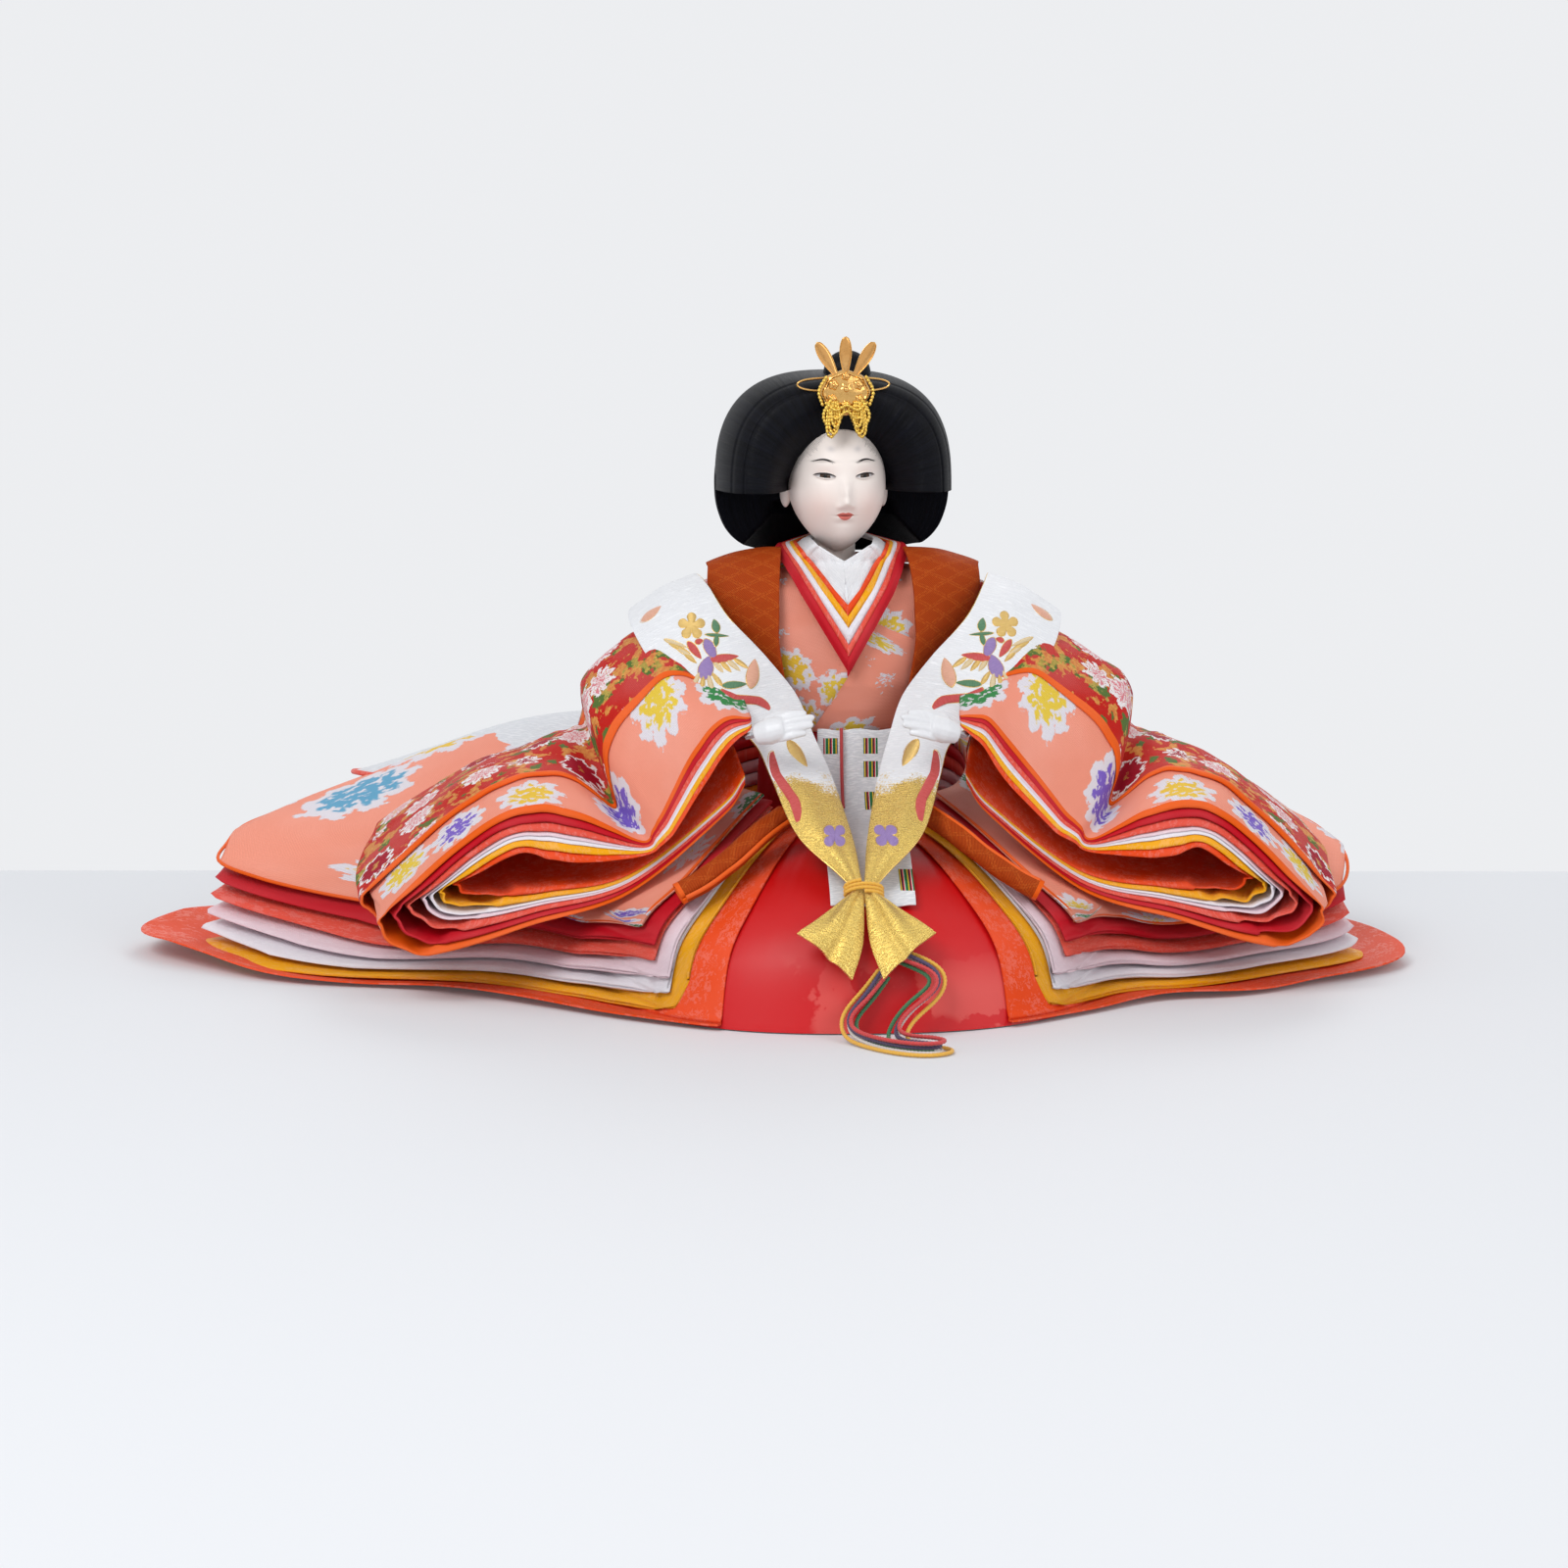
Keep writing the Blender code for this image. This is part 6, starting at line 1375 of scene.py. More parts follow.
LAPEL_TOP = (0.0010, 0.0962)
LAPEL_FOOT = (-0.0108, 0.0775)
LAPEL_FAR_X = 0.034
LAPEL_RISE = 0.0007


def build_torso():
    """The pink robe's bodice with its crossed front, and the red jacket over its back and shoulders."""
    shares = np.linspace(0, 1, 40)
    angles = np.linspace(0, 2 * math.pi, 96, endpoint=False)
    grid = np.array([[torso_point(a, s, 0.0) for a in angles] for s in shares])
    item = surface("bodice_pink", grid, PINK_BODICE, ring=True)
    thicken(item, BODICE_CLOTH, 1.0)
    attach(item, "uwagi_bodice")
    declare_sheet(grid)

    rows = []
    for t in np.linspace(0, 1, 30):
        start = LAPEL_TOP[0] + (LAPEL_FOOT[0] - LAPEL_TOP[0]) * t
        z = LAPEL_TOP[1] + (LAPEL_FOOT[1] - LAPEL_TOP[1]) * t
        row = []
        for s in np.linspace(0, 1, 30) ** 1.6:
            x = start + (LAPEL_FAR_X * (0.25 + 0.75 * min(1, t * 3)) - start) * s
            high = z + 0.0145 * s * (1 - t) * 1.0
            row.append((x, chest_y(x, high, LAPEL_RISE + BODICE_CLOTH * 0.4 + 0.0004 * (1 - s)), high))
        rows.append(row)
    lapel = surface("bodice_lapel", rows, PINK_BODICE)
    thicken(lapel, 0.0006, 0.0)
    attach(lapel)
    declare_sheet(rows)

    spread = 2 * math.pi - 2 * JACKET_FRONT_ANGLE
    angles = JACKET_FRONT_ANGLE + spread * np.linspace(0, 1, 100)
    grid = []
    for share in np.linspace(0, TORSO_RING_SHARES[-2][0], 36):
        row = []
        for angle in angles:
            fold = 0.0005 * wave_noise(angle * 2.4, share * 3.0, 4.0)
            row.append(torso_point(angle, share, JACKET_OFFSET + fold))
        grid.append(row)
    cloth_piece("jacket_body", np.array(grid), SILKS["red"], 0.0010, "karaginu_body")


def collar_line(side, tip_share, side_share, offset, lift):
    tip_z = COLLAR_TIP_TOP_Z + (COLLAR_TIP_FOOT_Z - COLLAR_TIP_TOP_Z) * tip_share
    half = COLLAR_NECK_HALF_WIDTH + COLLAR_SPREAD * side_share
    drop = COLLAR_BAND_DROP * side_share
    side_z = COLLAR_SIDE_Z - drop
    points = []
    for a in (0.0, math.radians(22.0), math.radians(45.0), math.radians(68.0), math.radians(90.0)):
        points.append((side * half * math.sin(a),
                       COLLAR_BACK_Y * math.cos(a) - COLLAR_SIDE_BACK * math.sin(a) + drop * math.cos(a),
                       COLLAR_BACK_Z + (side_z - COLLAR_BACK_Z) * math.sin(a) - drop + lift))
    for t in COLLAR_RISE_SHARES[1:] + ((COLLAR_OVERLAP,) if side > 0 else ()):
        x = half + (COLLAR_TIP_GAP - half) * t
        z = side_z - drop + (tip_z - side_z + drop) * t
        points.append((side * x, chest_y(x, z, COLLAR_OFFSET) - offset, z + lift * (1 - t)))
    return points


def build_collars():
    """Six V-shaped bands; each lies a step over the one inside it."""
    for number, (name, colour, tip_in, side_in, tip_out, side_out) in enumerate(COLLARS):
        look = COLLAR_WHITE if colour == "ribbed" else SILKS[colour]
        rows = []
        for share in np.linspace(0.0, 1.0, 9):
            tip = tip_in + (tip_out - tip_in) * share
            spread = side_in + (side_out - side_in) * share
            rise = COLLAR_STEP * (1 - share) ** 0.7 + COLLAR_ROUND * math.sin(math.pi * min(1, share * 1.3))
            rise += number * COLLAR_LAYER
            right = collar_line(-1.0, tip, spread, rise, rise)
            left = collar_line(1.0, tip, spread, rise, rise)
            for k in (1, 2):
                x, y, z = left[-k]
                left[-k] = (x, y - COLLAR_CROSS / k, z)
            ends = [along(line, np.linspace(0, len(line) - 1, 85)) for line in (right, left)]
            rows.append(np.concatenate([ends[0][::-1], ends[1]]))
        grid = np.array(rows)
        cloth_piece("band_" + name, grid, look, 0.00055, name, offset=-1.0)


JACKET_COLLAR_SHARES = ((0.47, 0.96, 0.87), (0.475, 0.90, 0.72), (0.48, 0.84, 0.57),
                        (0.45, 0.72, 0.37), (0.42, 0.64, 0.21), (0.38, 0.56, 0.06))
JACKET_COLLAR_OFFSET = 0.0046
JACKET_COLLAR_BACK = (((0.0, 0.0125, 0.1290), (0.0, 0.0200, 0.1256), 0.0003),
                      ((0.0132, 0.0095, 0.1289), (0.0270, 0.0135, 0.1266), 0.0003),
                      ((0.0182, 0.0010, 0.1289), (0.0365, 0.0035, 0.1280), 0.0009),
                      ((0.0190, -0.0080, 0.1322), (0.0422, -0.0070, 0.1276), 0.0012))
JACKET_COLLAR_SHOULDER = np.array((0.0, -0.0008, 0.0026))


def build_jacket_collar():
    """The wide rust collar, from the waist over both shoulders and round the back of the neck."""
    across = np.linspace(0, 1, 17)
    sides = []
    for side in (-1.0, 1.0):
        lines = []
        for inner, outer, bulge in JACKET_COLLAR_BACK:
            a = np.array((side * inner[0], inner[1], inner[2]))
            b = np.array((side * outer[0], outer[1], outer[2]))
            lines.append([a + (b - a) * s + np.array((0, 0, bulge * math.sin(math.pi * s))) for s in across])
        front = []
        for inner, outer, height in JACKET_COLLAR_SHARES:
            z = TORSO_FOOT_Z + (TORSO_TOP_Z - TORSO_FOOT_Z) * height
            line = []
            for s in across:
                x = TORSO_HALF_WIDTH * (inner + (outer - inner) * s)
                line.append(np.array((side * x, chest_y(x, z, JACKET_COLLAR_OFFSET), z)))
            front.append(line)
        between = [(a + b) / 2 + JACKET_COLLAR_SHOULDER for a, b in zip(lines[-1], front[0])]
        sides.append(lines + [between] + front)
    path = list(reversed(sides[0])) + sides[1][1:]
    table = np.array(path)
    dense = along(table, np.linspace(0, len(path) - 1, 190))
    for i in range(dense.shape[0]):
        for j, s in enumerate(across):
            pad = 0.0007 * math.sin(math.pi * s) ** 0.5
            dense[i, j, 1] -= pad * 0.5
            dense[i, j, 2] += pad * 0.4 + 0.0002 * wave_noise(i * 0.06, j * 0.2, 2.0)
    grid = np.swapaxes(dense, 0, 1)
    item = cloth_piece("jacket_collar", grid, RUST, 0.0012, "karaginu_collar")
    return item


# Scarf
HIRE_LENGTH = 0.1000005
HIRE_ROW_SHARES = (
    ((0.475, 0.02, 1.195), (0.60, 0.02, 1.125)), ((0.455, -0.10, 1.235), (0.655, -0.11, 1.130)),
    ((0.42, -0.26, 1.205), (0.66, -0.27, 1.100)), ((0.36, -0.37, 1.12), (0.610, -0.41, 1.010)),
    ((0.26, -0.405, 1.015), (0.525, -0.53, 0.925)), ((0.17, -0.450, 0.90), (0.390, -0.61, 0.850)),
    ((0.12, -0.53, 0.79), (0.295, -0.63, 0.765)), ((0.07, -0.67, 0.665), (0.25, -0.72, 0.675)),
    ((0.028, -0.87, 0.530), (0.18, -0.89, 0.530)), ((0.012, -0.995, 0.435), (0.065, -1.00, 0.43)),
    ((0.006, -1.045, 0.395), (0.036, -1.045, 0.395)), ((0.008, -1.09, 0.355), (0.08, -1.085, 0.36)),
    ((0.016, -1.16, 0.255), (0.15, -1.14, 0.32)), ((0.048, -1.21, 0.165), (0.20, -1.165, 0.29)))
HIRE_FULLNESS = 0.0022
HIRE_CLOTH = 0.0008
HIRE_ROWS = 220
HIRE_COLUMNS = 33
STITCH_LIFT = 0.0009
KNOT_TURNS = 3
KNOT_STEPS = 40
KNOT_SLIDE = 0.0030
KNOT_EASE = 0.0002
TIE_RADIUS = 0.00062
TIE_GOLD = (0.90, 0.46, 0.01)
HAND_DENT = 0.0045
HAND_DENT_X = 0.0235
HAND_DENT_Z = 0.0815
HAND_DENT_REACH = 0.0135
KNOT_ROW = 10
KNOT_HALF_WIDTH = 0.0052
KNOT_HALF_DEPTH = 0.0026
PLEAT_DEPTH = 0.0008


def hire_grid(side, lift=0.0):
    table = np.array(HIRE_ROW_SHARES) * HIRE_LENGTH
    rows = np.linspace(0, len(table) - 1, HIRE_ROWS)
    edges = along(table, rows)
    shares = np.linspace(0, 1, HIRE_COLUMNS)
    grid = np.zeros((len(rows), len(shares), 3))
    for i, row in enumerate(rows):
        a, b = edges[i]
        width = float(np.linalg.norm(b - a))
        gathered = math.exp(-((row - KNOT_ROW) / 2.1) ** 2)
        tail = min(max((row - KNOT_ROW) / 3.0, 0.0), 1.0)
        for j, s in enumerate(shares):
            rise = HIRE_FULLNESS * math.sin(math.pi * s) * min(1.0, width / (HIRE_FULLNESS * 5))
            pleat = PLEAT_DEPTH * gathered * math.sin(s * math.pi * 4.0 + 0.6) * min(1.0, width / 0.012)
            crease = -0.0014 * tail * math.exp(-((s - 0.42) / 0.10) ** 2)
            soft = 0.0007 * wave_noise(row * 0.9, s * 2.2, 6.0 + side) * min(1.0, width / 0.015)
            rise += pleat + crease + soft + lift
            place = a + (b - a) * s + np.array((0.0, -0.7, 0.7)) * rise
            pressed = math.hypot(place[0] - HAND_DENT_X, place[2] - HAND_DENT_Z) / HAND_DENT_REACH
            place[1] += HAND_DENT * math.exp(-pressed ** 4)
            grid[i, j] = place
    grid[..., 0] *= side
    return grid


def gold_look(name="gold_thread", tone=(0.86, 0.56, 0.13), rough=0.28):
    look = Look(name)
    grain = look.noise(look.place(), 2600.0, 2.0)
    base = look.mix(grain, lighter(tone, -0.3), lighter(tone, 0.12))
    return look.finish(base, look.math("MULTIPLY_ADD", grain, 0.2, rough - 0.1),
                       look.bump(grain, 0.00008, 0.6), 1.0)


GOLD_THREAD = gold_look()
GOLD_METAL = gold_look("gold_plating", (0.86, 0.47, 0.10), 0.2)


def build_hire():
    """The white and gold scarf: two bands that meet at a tie on the lap and spread into tails."""
    bands = {}
    for name, side in (("hire_right", -1.0), ("hire_left", 1.0)):
        grid = hire_grid(side)
        item = surface("scarf_" + name[5:], grid, SCARF)
        thicken(item, HIRE_CLOTH, side)
        attach(item, name)
        for label, j in (("inner", 0), ("outer", -1)):
            path = even(grid[::4, j] + np.array((0.0, -0.0004, 0.0004)), 200)
            attach(tube("scarf_edge_" + label + "_" + name[5:], path, 0.00028, GOLD_THREAD,
                                     sides=6))
        declare_sheet(grid)
        bands[side] = BVHTree.FromPolygons(
            [Vector(p) for p in hire_grid(side, STITCH_LIFT).reshape(-1, 3)],
            [(i * HIRE_COLUMNS + j, (i + 1) * HIRE_COLUMNS + j, (i + 1) * HIRE_COLUMNS + j + 1,
              i * HIRE_COLUMNS + j + 1) for i in range(HIRE_ROWS - 1) for j in range(HIRE_COLUMNS - 1)])
    inner = np.array(HIRE_ROW_SHARES[KNOT_ROW][0]) * HIRE_LENGTH
    points = []
    for k in range(KNOT_TURNS * KNOT_STEPS):
        a = 2 * math.pi * k / KNOT_STEPS
        out = (KNOT_HALF_DEPTH + KNOT_EASE) * math.cos(a)
        slide = (k / (KNOT_TURNS * KNOT_STEPS) - 0.5) * KNOT_SLIDE
        points.append(((KNOT_HALF_WIDTH + KNOT_EASE) * math.sin(a), inner[1] - out * 0.62 + slide * 0.5,
                       inner[2] + out * 0.78 + slide))
    thread = twisted("tie_thread_turns", np.array(points), TIE_RADIUS,
                     thread_look("tie_thread_silk", TIE_GOLD),
                     CORD_LAY)[0]
    attach(thread, "tie_thread")
    return bands


SASH_HALF_WIDTH = 0.0125
SASH_CENTRE_X = 0.0030
SASH_LENGTH = 0.100
SASH_PATH_SHARES = ((-0.372, 0.785), (-0.41, 0.62), (-0.50, 0.535), (-0.64, 0.508), (-0.78, 0.479),
                    (-0.90, 0.424), (-0.98, 0.385), (-1.025, 0.350))
SASH_MARKS = ((-0.0055, 0.0735), (0.0068, 0.0735), (0.0068, 0.0665), (0.0068, 0.0575), (0.0135, 0.0410),
              (-0.0060, 0.0560), (0.0120, 0.0520))
MARK_HALF_WIDTH = 0.0022
MARK_HALF_HEIGHT = 0.0024


def sash_look():
    """White figured silk with short blocks of green, yellow, red and black weft."""
    look = Look("sash_silk")
    x, _, z = look.parts(look.place())
    long = look.scaled(look.uv(), (2.2, 0.4, 1.0), turn=0.5)
    floats = look.step(look.noise(long, 1.0, 3.0), 0.45, 0.62)
    base = look.mix(floats, (0.72, 0.74, 0.77), (0.88, 0.89, 0.91))
    tint = look.ramp(look.math("FRACT", look.times(x, 1 / 0.0022)), (
        (0.0, (0.02, 0.16, 0.05)), (0.22, (0.85, 0.55, 0.03)), (0.36, (0.03, 0.02, 0.05)),
        (0.58, (0.62, 0.02, 0.02)),
        (0.72, (0.82, 0.80, 0.78)), (0.82, (0.02, 0.16, 0.05))), constant=True)
    inside = None
    for mx, mz in SASH_MARKS:
        dx = look.math("ABSOLUTE", look.minus(x, mx))
        dz = look.math("ABSOLUTE", look.minus(z, mz))
        one = look.times(look.math("LESS_THAN", dx, MARK_HALF_WIDTH),
                        look.math("LESS_THAN", dz, MARK_HALF_HEIGHT))
        inside = one if inside is None else look.math("MAXIMUM", inside, one)
    base = look.mix(inside, base, tint)
    threads = look.weave(0.42)
    return look.finish(base, 0.6, look.bump(look.plus(threads, floats), 0.00010, 0.6), specular_ior_level=0.2)


def build_sash():
    """The white front sash with its red cord."""
    path = np.array(SASH_PATH_SHARES) * SASH_LENGTH
    dense = along(path, np.linspace(0, len(path) - 1, 90))
    shares = np.linspace(-1, 1, 25)
    grid = np.zeros((len(shares), len(dense), 3))
    for j, s in enumerate(shares):
        grid[j, :, 0] = SASH_CENTRE_X + SASH_HALF_WIDTH * s
        grid[j, :, 1:] = dense
        grid[j, :, 2] += 0.0003 * math.cos(s * 7.0)
    cloth_piece("sash_panel", grid, sash_look(), 0.0006, "sash_front")
    line = np.array([(-0.0022, y - 0.0014, z + 0.0006) for y, z in along(path, np.linspace(0, 1.7, 14))])
    cord = tube("sash_cord", even(line, 90), 0.00055, thread_look("sash_cord_silk", (0.55, 0.004, 0.008)),
                sides=8)
    attach(cord)


ROLL_RADIUS = 0.0042
ROLL_REST_GAP = -0.0023
ROLL_TURNS = (0.15, 2.35)
ROLL_CLOTH = 0.0007
ROLL_SQUASH = 0.80
ROLL_PLACES = ((-0.105, -0.46), (-0.145, -0.505), (-0.19, -0.55), (-0.235, -0.577), (-0.268, -0.585))


def build_rolls():
    """The rust collar's ends: a strip of cloth rolled up lengthwise, with an orange edge and a red tip."""
    for node, side in (("rolled_front_right", 1.0), ("rolled_front_left", -1.0)):
        points = []
        for x, y in ROLL_PLACES:
            px = side * x * HEM_HALF_WIDTH
            py = y * HEM_HALF_DEPTH
            top = float(stack_top(np.array([[px, py]]))[0])
            points.append((px, py, top + ROLL_RADIUS + ROLL_REST_GAP))
        path = even(np.array(points), 60)
        across, up = frames_along(path)
        turns = np.linspace(*ROLL_TURNS, 80)
        grid = np.zeros((len(path), len(turns), 3))
        for i, place in enumerate(path):
            for j, turn in enumerate(turns):
                angle = turn * 2 * math.pi * side + 0.9
                r = ROLL_RADIUS * (0.18 + 0.80 * (turn / turns[-1]))
                r *= 1 + 0.10 * wave_noise(i * 0.08, turn, side)
                grid[i, j] = (place + across[i] * math.cos(angle) * r * 1.12
                              + up[i] * math.sin(angle) * r * ROLL_SQUASH)
        strip = surface("rolled_collar_" + node[13:], grid, RUST, spots=((57, 60, SILKS["piping"]),))
        thicken(strip, ROLL_CLOTH, 0.0)
        attach(strip, node)
        edge = tube("rolled_edge_" + node[13:], even(grid[::3, -1], 80), 0.0007, SILKS["piping"], sides=8)
        attach(edge)
        declare_sheet(grid)


# Head
HEAD_SHIFT = Vector((-0.0020, 0.0, 0.0))
HEAD_PLACE = Matrix.Translation(HEAD_SHIFT) @ Matrix.Rotation(math.radians(5.5), 4, "Z")
NECK_TOP_Z = 0.1430
CHIN_POWER = 2.4
BROW_Z = 0.1592
MOUTH_Z = 0.14285
EYE_HALF_WIDTH = 0.0031
UPPER_LID = 0.00085
LOWER_LID = 0.00060
EYE_SLANT = 0.00022
BROW_HAIRS = 9
BROW_HAIR_STEP = 0.00008
HAIRLINE_STROKES = 130
# Soft bumps on the face: x, z, height, width across, width up, all in shares of a millimetre
FACE_BUMPS_MM = (
    (0.0, 146.6, 2.40, 1.70, 1.40), (0.0, 149.2, 1.55, 1.65, 2.5), (0.0, 152.6, 0.80, 1.85, 2.8),
    (1.95, 145.7, 0.85, 0.95, 0.85), (6.3, 154.9, -0.80, 3.4, 1.9), (6.6, 158.6, 0.25, 4.0, 1.8),
    (8.2, 146.5, 0.65, 4.4, 4.6), (0.0, 144.4, 0.35, 2.4, 0.9), (0.9, 143.35, 0.42, 1.2, 0.45),
    (0.0, 141.9, 0.70, 1.7, 0.60), (0.0, 140.3, -0.45, 2.6, 0.8), (0.0, 136.2, 0.75, 3.6, 2.6),
    (0.0, 142.75, -0.42, 2.6, 0.16), (9.5, 138.5, 0.5, 3.5, 4.0))
PORCELAIN = (0.89, 0.80, 0.745)


def place_head(item, node=None, body="head"):
    item.matrix_world = HEAD_PLACE
    return attach(item, node, body)


def face_bumps(x, z):
    lift = np.zeros(np.shape(x))
    for bx, bz, height, across, up in FACE_BUMPS_MM:
        for sign in ((1.0,) if bx == 0.0 else (1.0, -1.0)):
            lift += height * MM * np.exp(-((x - sign * bx * MM) / (across * MM)) ** 2
                                         - ((z - bz * MM) / (up * MM)) ** 2)
    return lift


def face_y(x, z, out=0.0):
    """Front of the face at a place, with its modelled features."""
    x = np.asarray(x, float)
    z = np.asarray(z, float)
    inside = 1.0 - (x / HEAD_HALF_WIDTH) ** 2 - ((z - HEAD_CENTRE_Z) / HEAD_HALF_HEIGHT) ** 2
    drop = np.clip((HEAD_CENTRE_Z - z) / HEAD_HALF_HEIGHT, 0, 1)
    narrow = 1.0 - CHIN_NARROW_SHARE * drop ** CHIN_POWER
    squeezed = 1.0 - (x / (HEAD_HALF_WIDTH * narrow)) ** 2 - ((z - HEAD_CENTRE_Z) / HEAD_HALF_HEIGHT) ** 2
    inside = np.where(drop > 0, squeezed, inside)
    depth = HEAD_HALF_DEPTH * narrow * np.sqrt(np.clip(inside, 0.0, 1.0))
    return HEAD_CENTRE_Y - depth - 0.12 * drop * HEAD_HALF_DEPTH - face_bumps(x, z) - out


def bundle(name, paths, radius, look, sides=6, beads=0.0):
    """Many fine tapered tubes as one mesh; beads gives their period along the tube, where wanted."""
    verts = []
    faces = []
    angles = np.linspace(0, 2 * math.pi, sides, endpoint=False)
    for path, share in paths:
        path = np.asarray(path, float)
        across, up = frames_along(path)
        first = len(verts)
        count = len(path)
        walked = np.concatenate([[0], np.cumsum(np.linalg.norm(np.diff(path, axis=0), axis=1))])
        for k in range(count):
            t = k / (count - 1)
            r = radius * share
            if beads:
                r *= 0.62 + 0.38 * abs(math.sin(math.pi * walked[k] / beads))
            else:
                r *= max(0.12, math.sin(math.pi * min(max(t, 0.03), 0.97)) ** 0.6)
            for angle in angles:
                verts.append(tuple(path[k] + (across[k] * math.cos(angle) + up[k] * math.sin(angle)) * r))
        for k in range(count - 1):
            for m in range(sides):
                n = (m + 1) % sides
                a = first + k * sides
                faces.append((a + m, a + n, a + sides + n, a + sides + m))
        faces.append(tuple(first + m for m in reversed(range(sides))))
        faces.append(tuple(first + (count - 1) * sides + m for m in range(sides)))
    mesh = bpy.data.meshes.new(name)
    mesh.from_pydata(verts, [], faces)
    mesh.materials.append(look)
    mesh.shade_smooth()
    return linked(name, mesh)


def porcelain_look():
    """White gofun with painted lips, blush and brow shadow, placed in the head's own space."""
    look = Look("gofun_white")
    x, y, z = look.parts(look.place())
    side = look.math("ABSOLUTE", x)

    def spot(cx, cz, wide, high, source=side):
        dx = look.math("DIVIDE", look.minus(source, cx), wide)
        dz = look.math("DIVIDE", look.minus(z, cz), high)
        far = look.plus(look.times(dx, dx), look.times(dz, dz))
        return look.math("EXPONENT", look.times(far, -1.0))

    grain = look.noise(look.place(), 1500.0, 3.0)
    cloudy = look.noise(look.place(), 90.0, 2.0)
    base = look.mix(cloudy, lighter(PORCELAIN, -0.03), lighter(PORCELAIN, 0.05))
    blush = look.times(spot(0.0078, 0.1462, 0.0050, 0.0050), 0.30)
    base = look.mix(blush, base, (0.86, 0.50, 0.42))
    lids = look.times(spot(0.0064, 0.1569, 0.0038, 0.0016), 0.26)
    base = look.mix(lids, base, (0.72, 0.50, 0.44))
    nose = look.times(spot(0.0, 0.1445, 0.0030, 0.0009), 0.20)
    base = look.mix(nose, base, (0.66, 0.42, 0.36))
    dots = look.times(spot(0.0042, 0.1632, 0.0013, 0.0010), 0.42)
    base = look.mix(dots, base, (0.32, 0.30, 0.32))
    brow = look.times(spot(0.0066, 0.1595, 0.0033, 0.00045), 0.45)
    base = look.mix(brow, base, (0.22, 0.17, 0.15))
    front = look.math("LESS_THAN", y, -0.012)
    high = look.minus(z, MOUTH_Z)
    width = look.math("DIVIDE", side, 0.0030)
    arch = look.minus(1.0, look.times(width, width))
    dip = look.times(look.math("EXPONENT", look.times(look.times(side, side), -1.0 / 0.0006 ** 2)), 0.00028)
    above = look.minus(look.minus(look.times(arch, 0.00120), dip), high)
    narrow = look.math("DIVIDE", side, 0.0024)
    bowl = look.times(look.minus(1.0, look.times(narrow, narrow)), 0.00165)
    below = look.plus(bowl, high)
    upper = look.times(look.step(above, 0.0, 0.00022), look.math("GREATER_THAN", high, 0.0))
    lower = look.times(look.step(below, 0.0, 0.00022), look.math("LESS_THAN", high, 0.0))
    lips = look.times(look.plus(upper, lower), front)
    base = look.mix(look.times(lips, 0.92), base, (0.62, 0.085, 0.055))
    parting = look.times(look.times(spot(0.0, MOUTH_Z, 0.0025, 0.00020), front), 0.95)
    base = look.mix(parting, base, (0.13, 0.008, 0.008))
    rough = look.minus(0.50, look.times(lips, 0.18))
    return look.finish(base, rough, look.bump(grain, 0.00003, 0.25), coat_weight=0.05)


def hair_look(name="hair_silk", glow=1.0):
    """Black silk floss: strands along V, with a soft blue-black sheen."""
    look = Look(name)
    fine = look.noise(look.scaled(look.uv(), (5.2, 0.05, 1.0)), 1.0, 2.0)
    locks = look.noise(look.scaled(look.uv(), (0.9, 0.02, 1.0)), 1.0, 3.0)
    strands = look.math("MULTIPLY_ADD", fine, 0.6, look.times(locks, 0.5))
    base = look.mix(look.step(strands, 0.35, 0.75), (0.0008, 0.0008, 0.0014), (0.0040, 0.0045, 0.0085))
    rough = look.math("MULTIPLY_ADD", fine, 0.20, 0.30 + 0.25 * (1 - glow))
    return look.finish(base, rough, look.bump(strands, 0.00030, 0.85),
                       specular_ior_level=0.085 * glow + 0.015,
                       anisotropic=0.55 * glow)


def eye_look():
    """Brown glass with a dark pupil, and grey-white corners."""
    look = Look("eye_glass")
    u, v, _ = look.parts(look.uv())
    side = look.math("ABSOLUTE", u)
    far = look.math("SQRT", look.plus(look.times(u, u), look.times(v, v)))
    iris = look.minus(1.0, look.step(far, 1.45, 1.65))
    pupil = look.minus(1.0, look.step(far, 0.42, 0.60))
    rays = look.noise(look.scaled(look.uv(), 3.0), 1.0, 2.0)
    white = look.mix(look.step(side, 1.4, 3.0), (0.60, 0.58, 0.58), (0.42, 0.36, 0.35))
    base = look.mix(iris, white, look.mix(rays, (0.030, 0.014, 0.007), (0.075, 0.035, 0.018)))
    base = look.mix(pupil, base, (0.002, 0.002, 0.002))
    return look.finish(base, 0.12, look.bump(rays, 0.00002, 0.1), specular_ior_level=0.35)


def lid_heights(s):
    upper = UPPER_LID * (1 - s ** 2) ** 0.75
    lower = LOWER_LID * (1 - s ** 2) ** 0.85
    return upper, lower


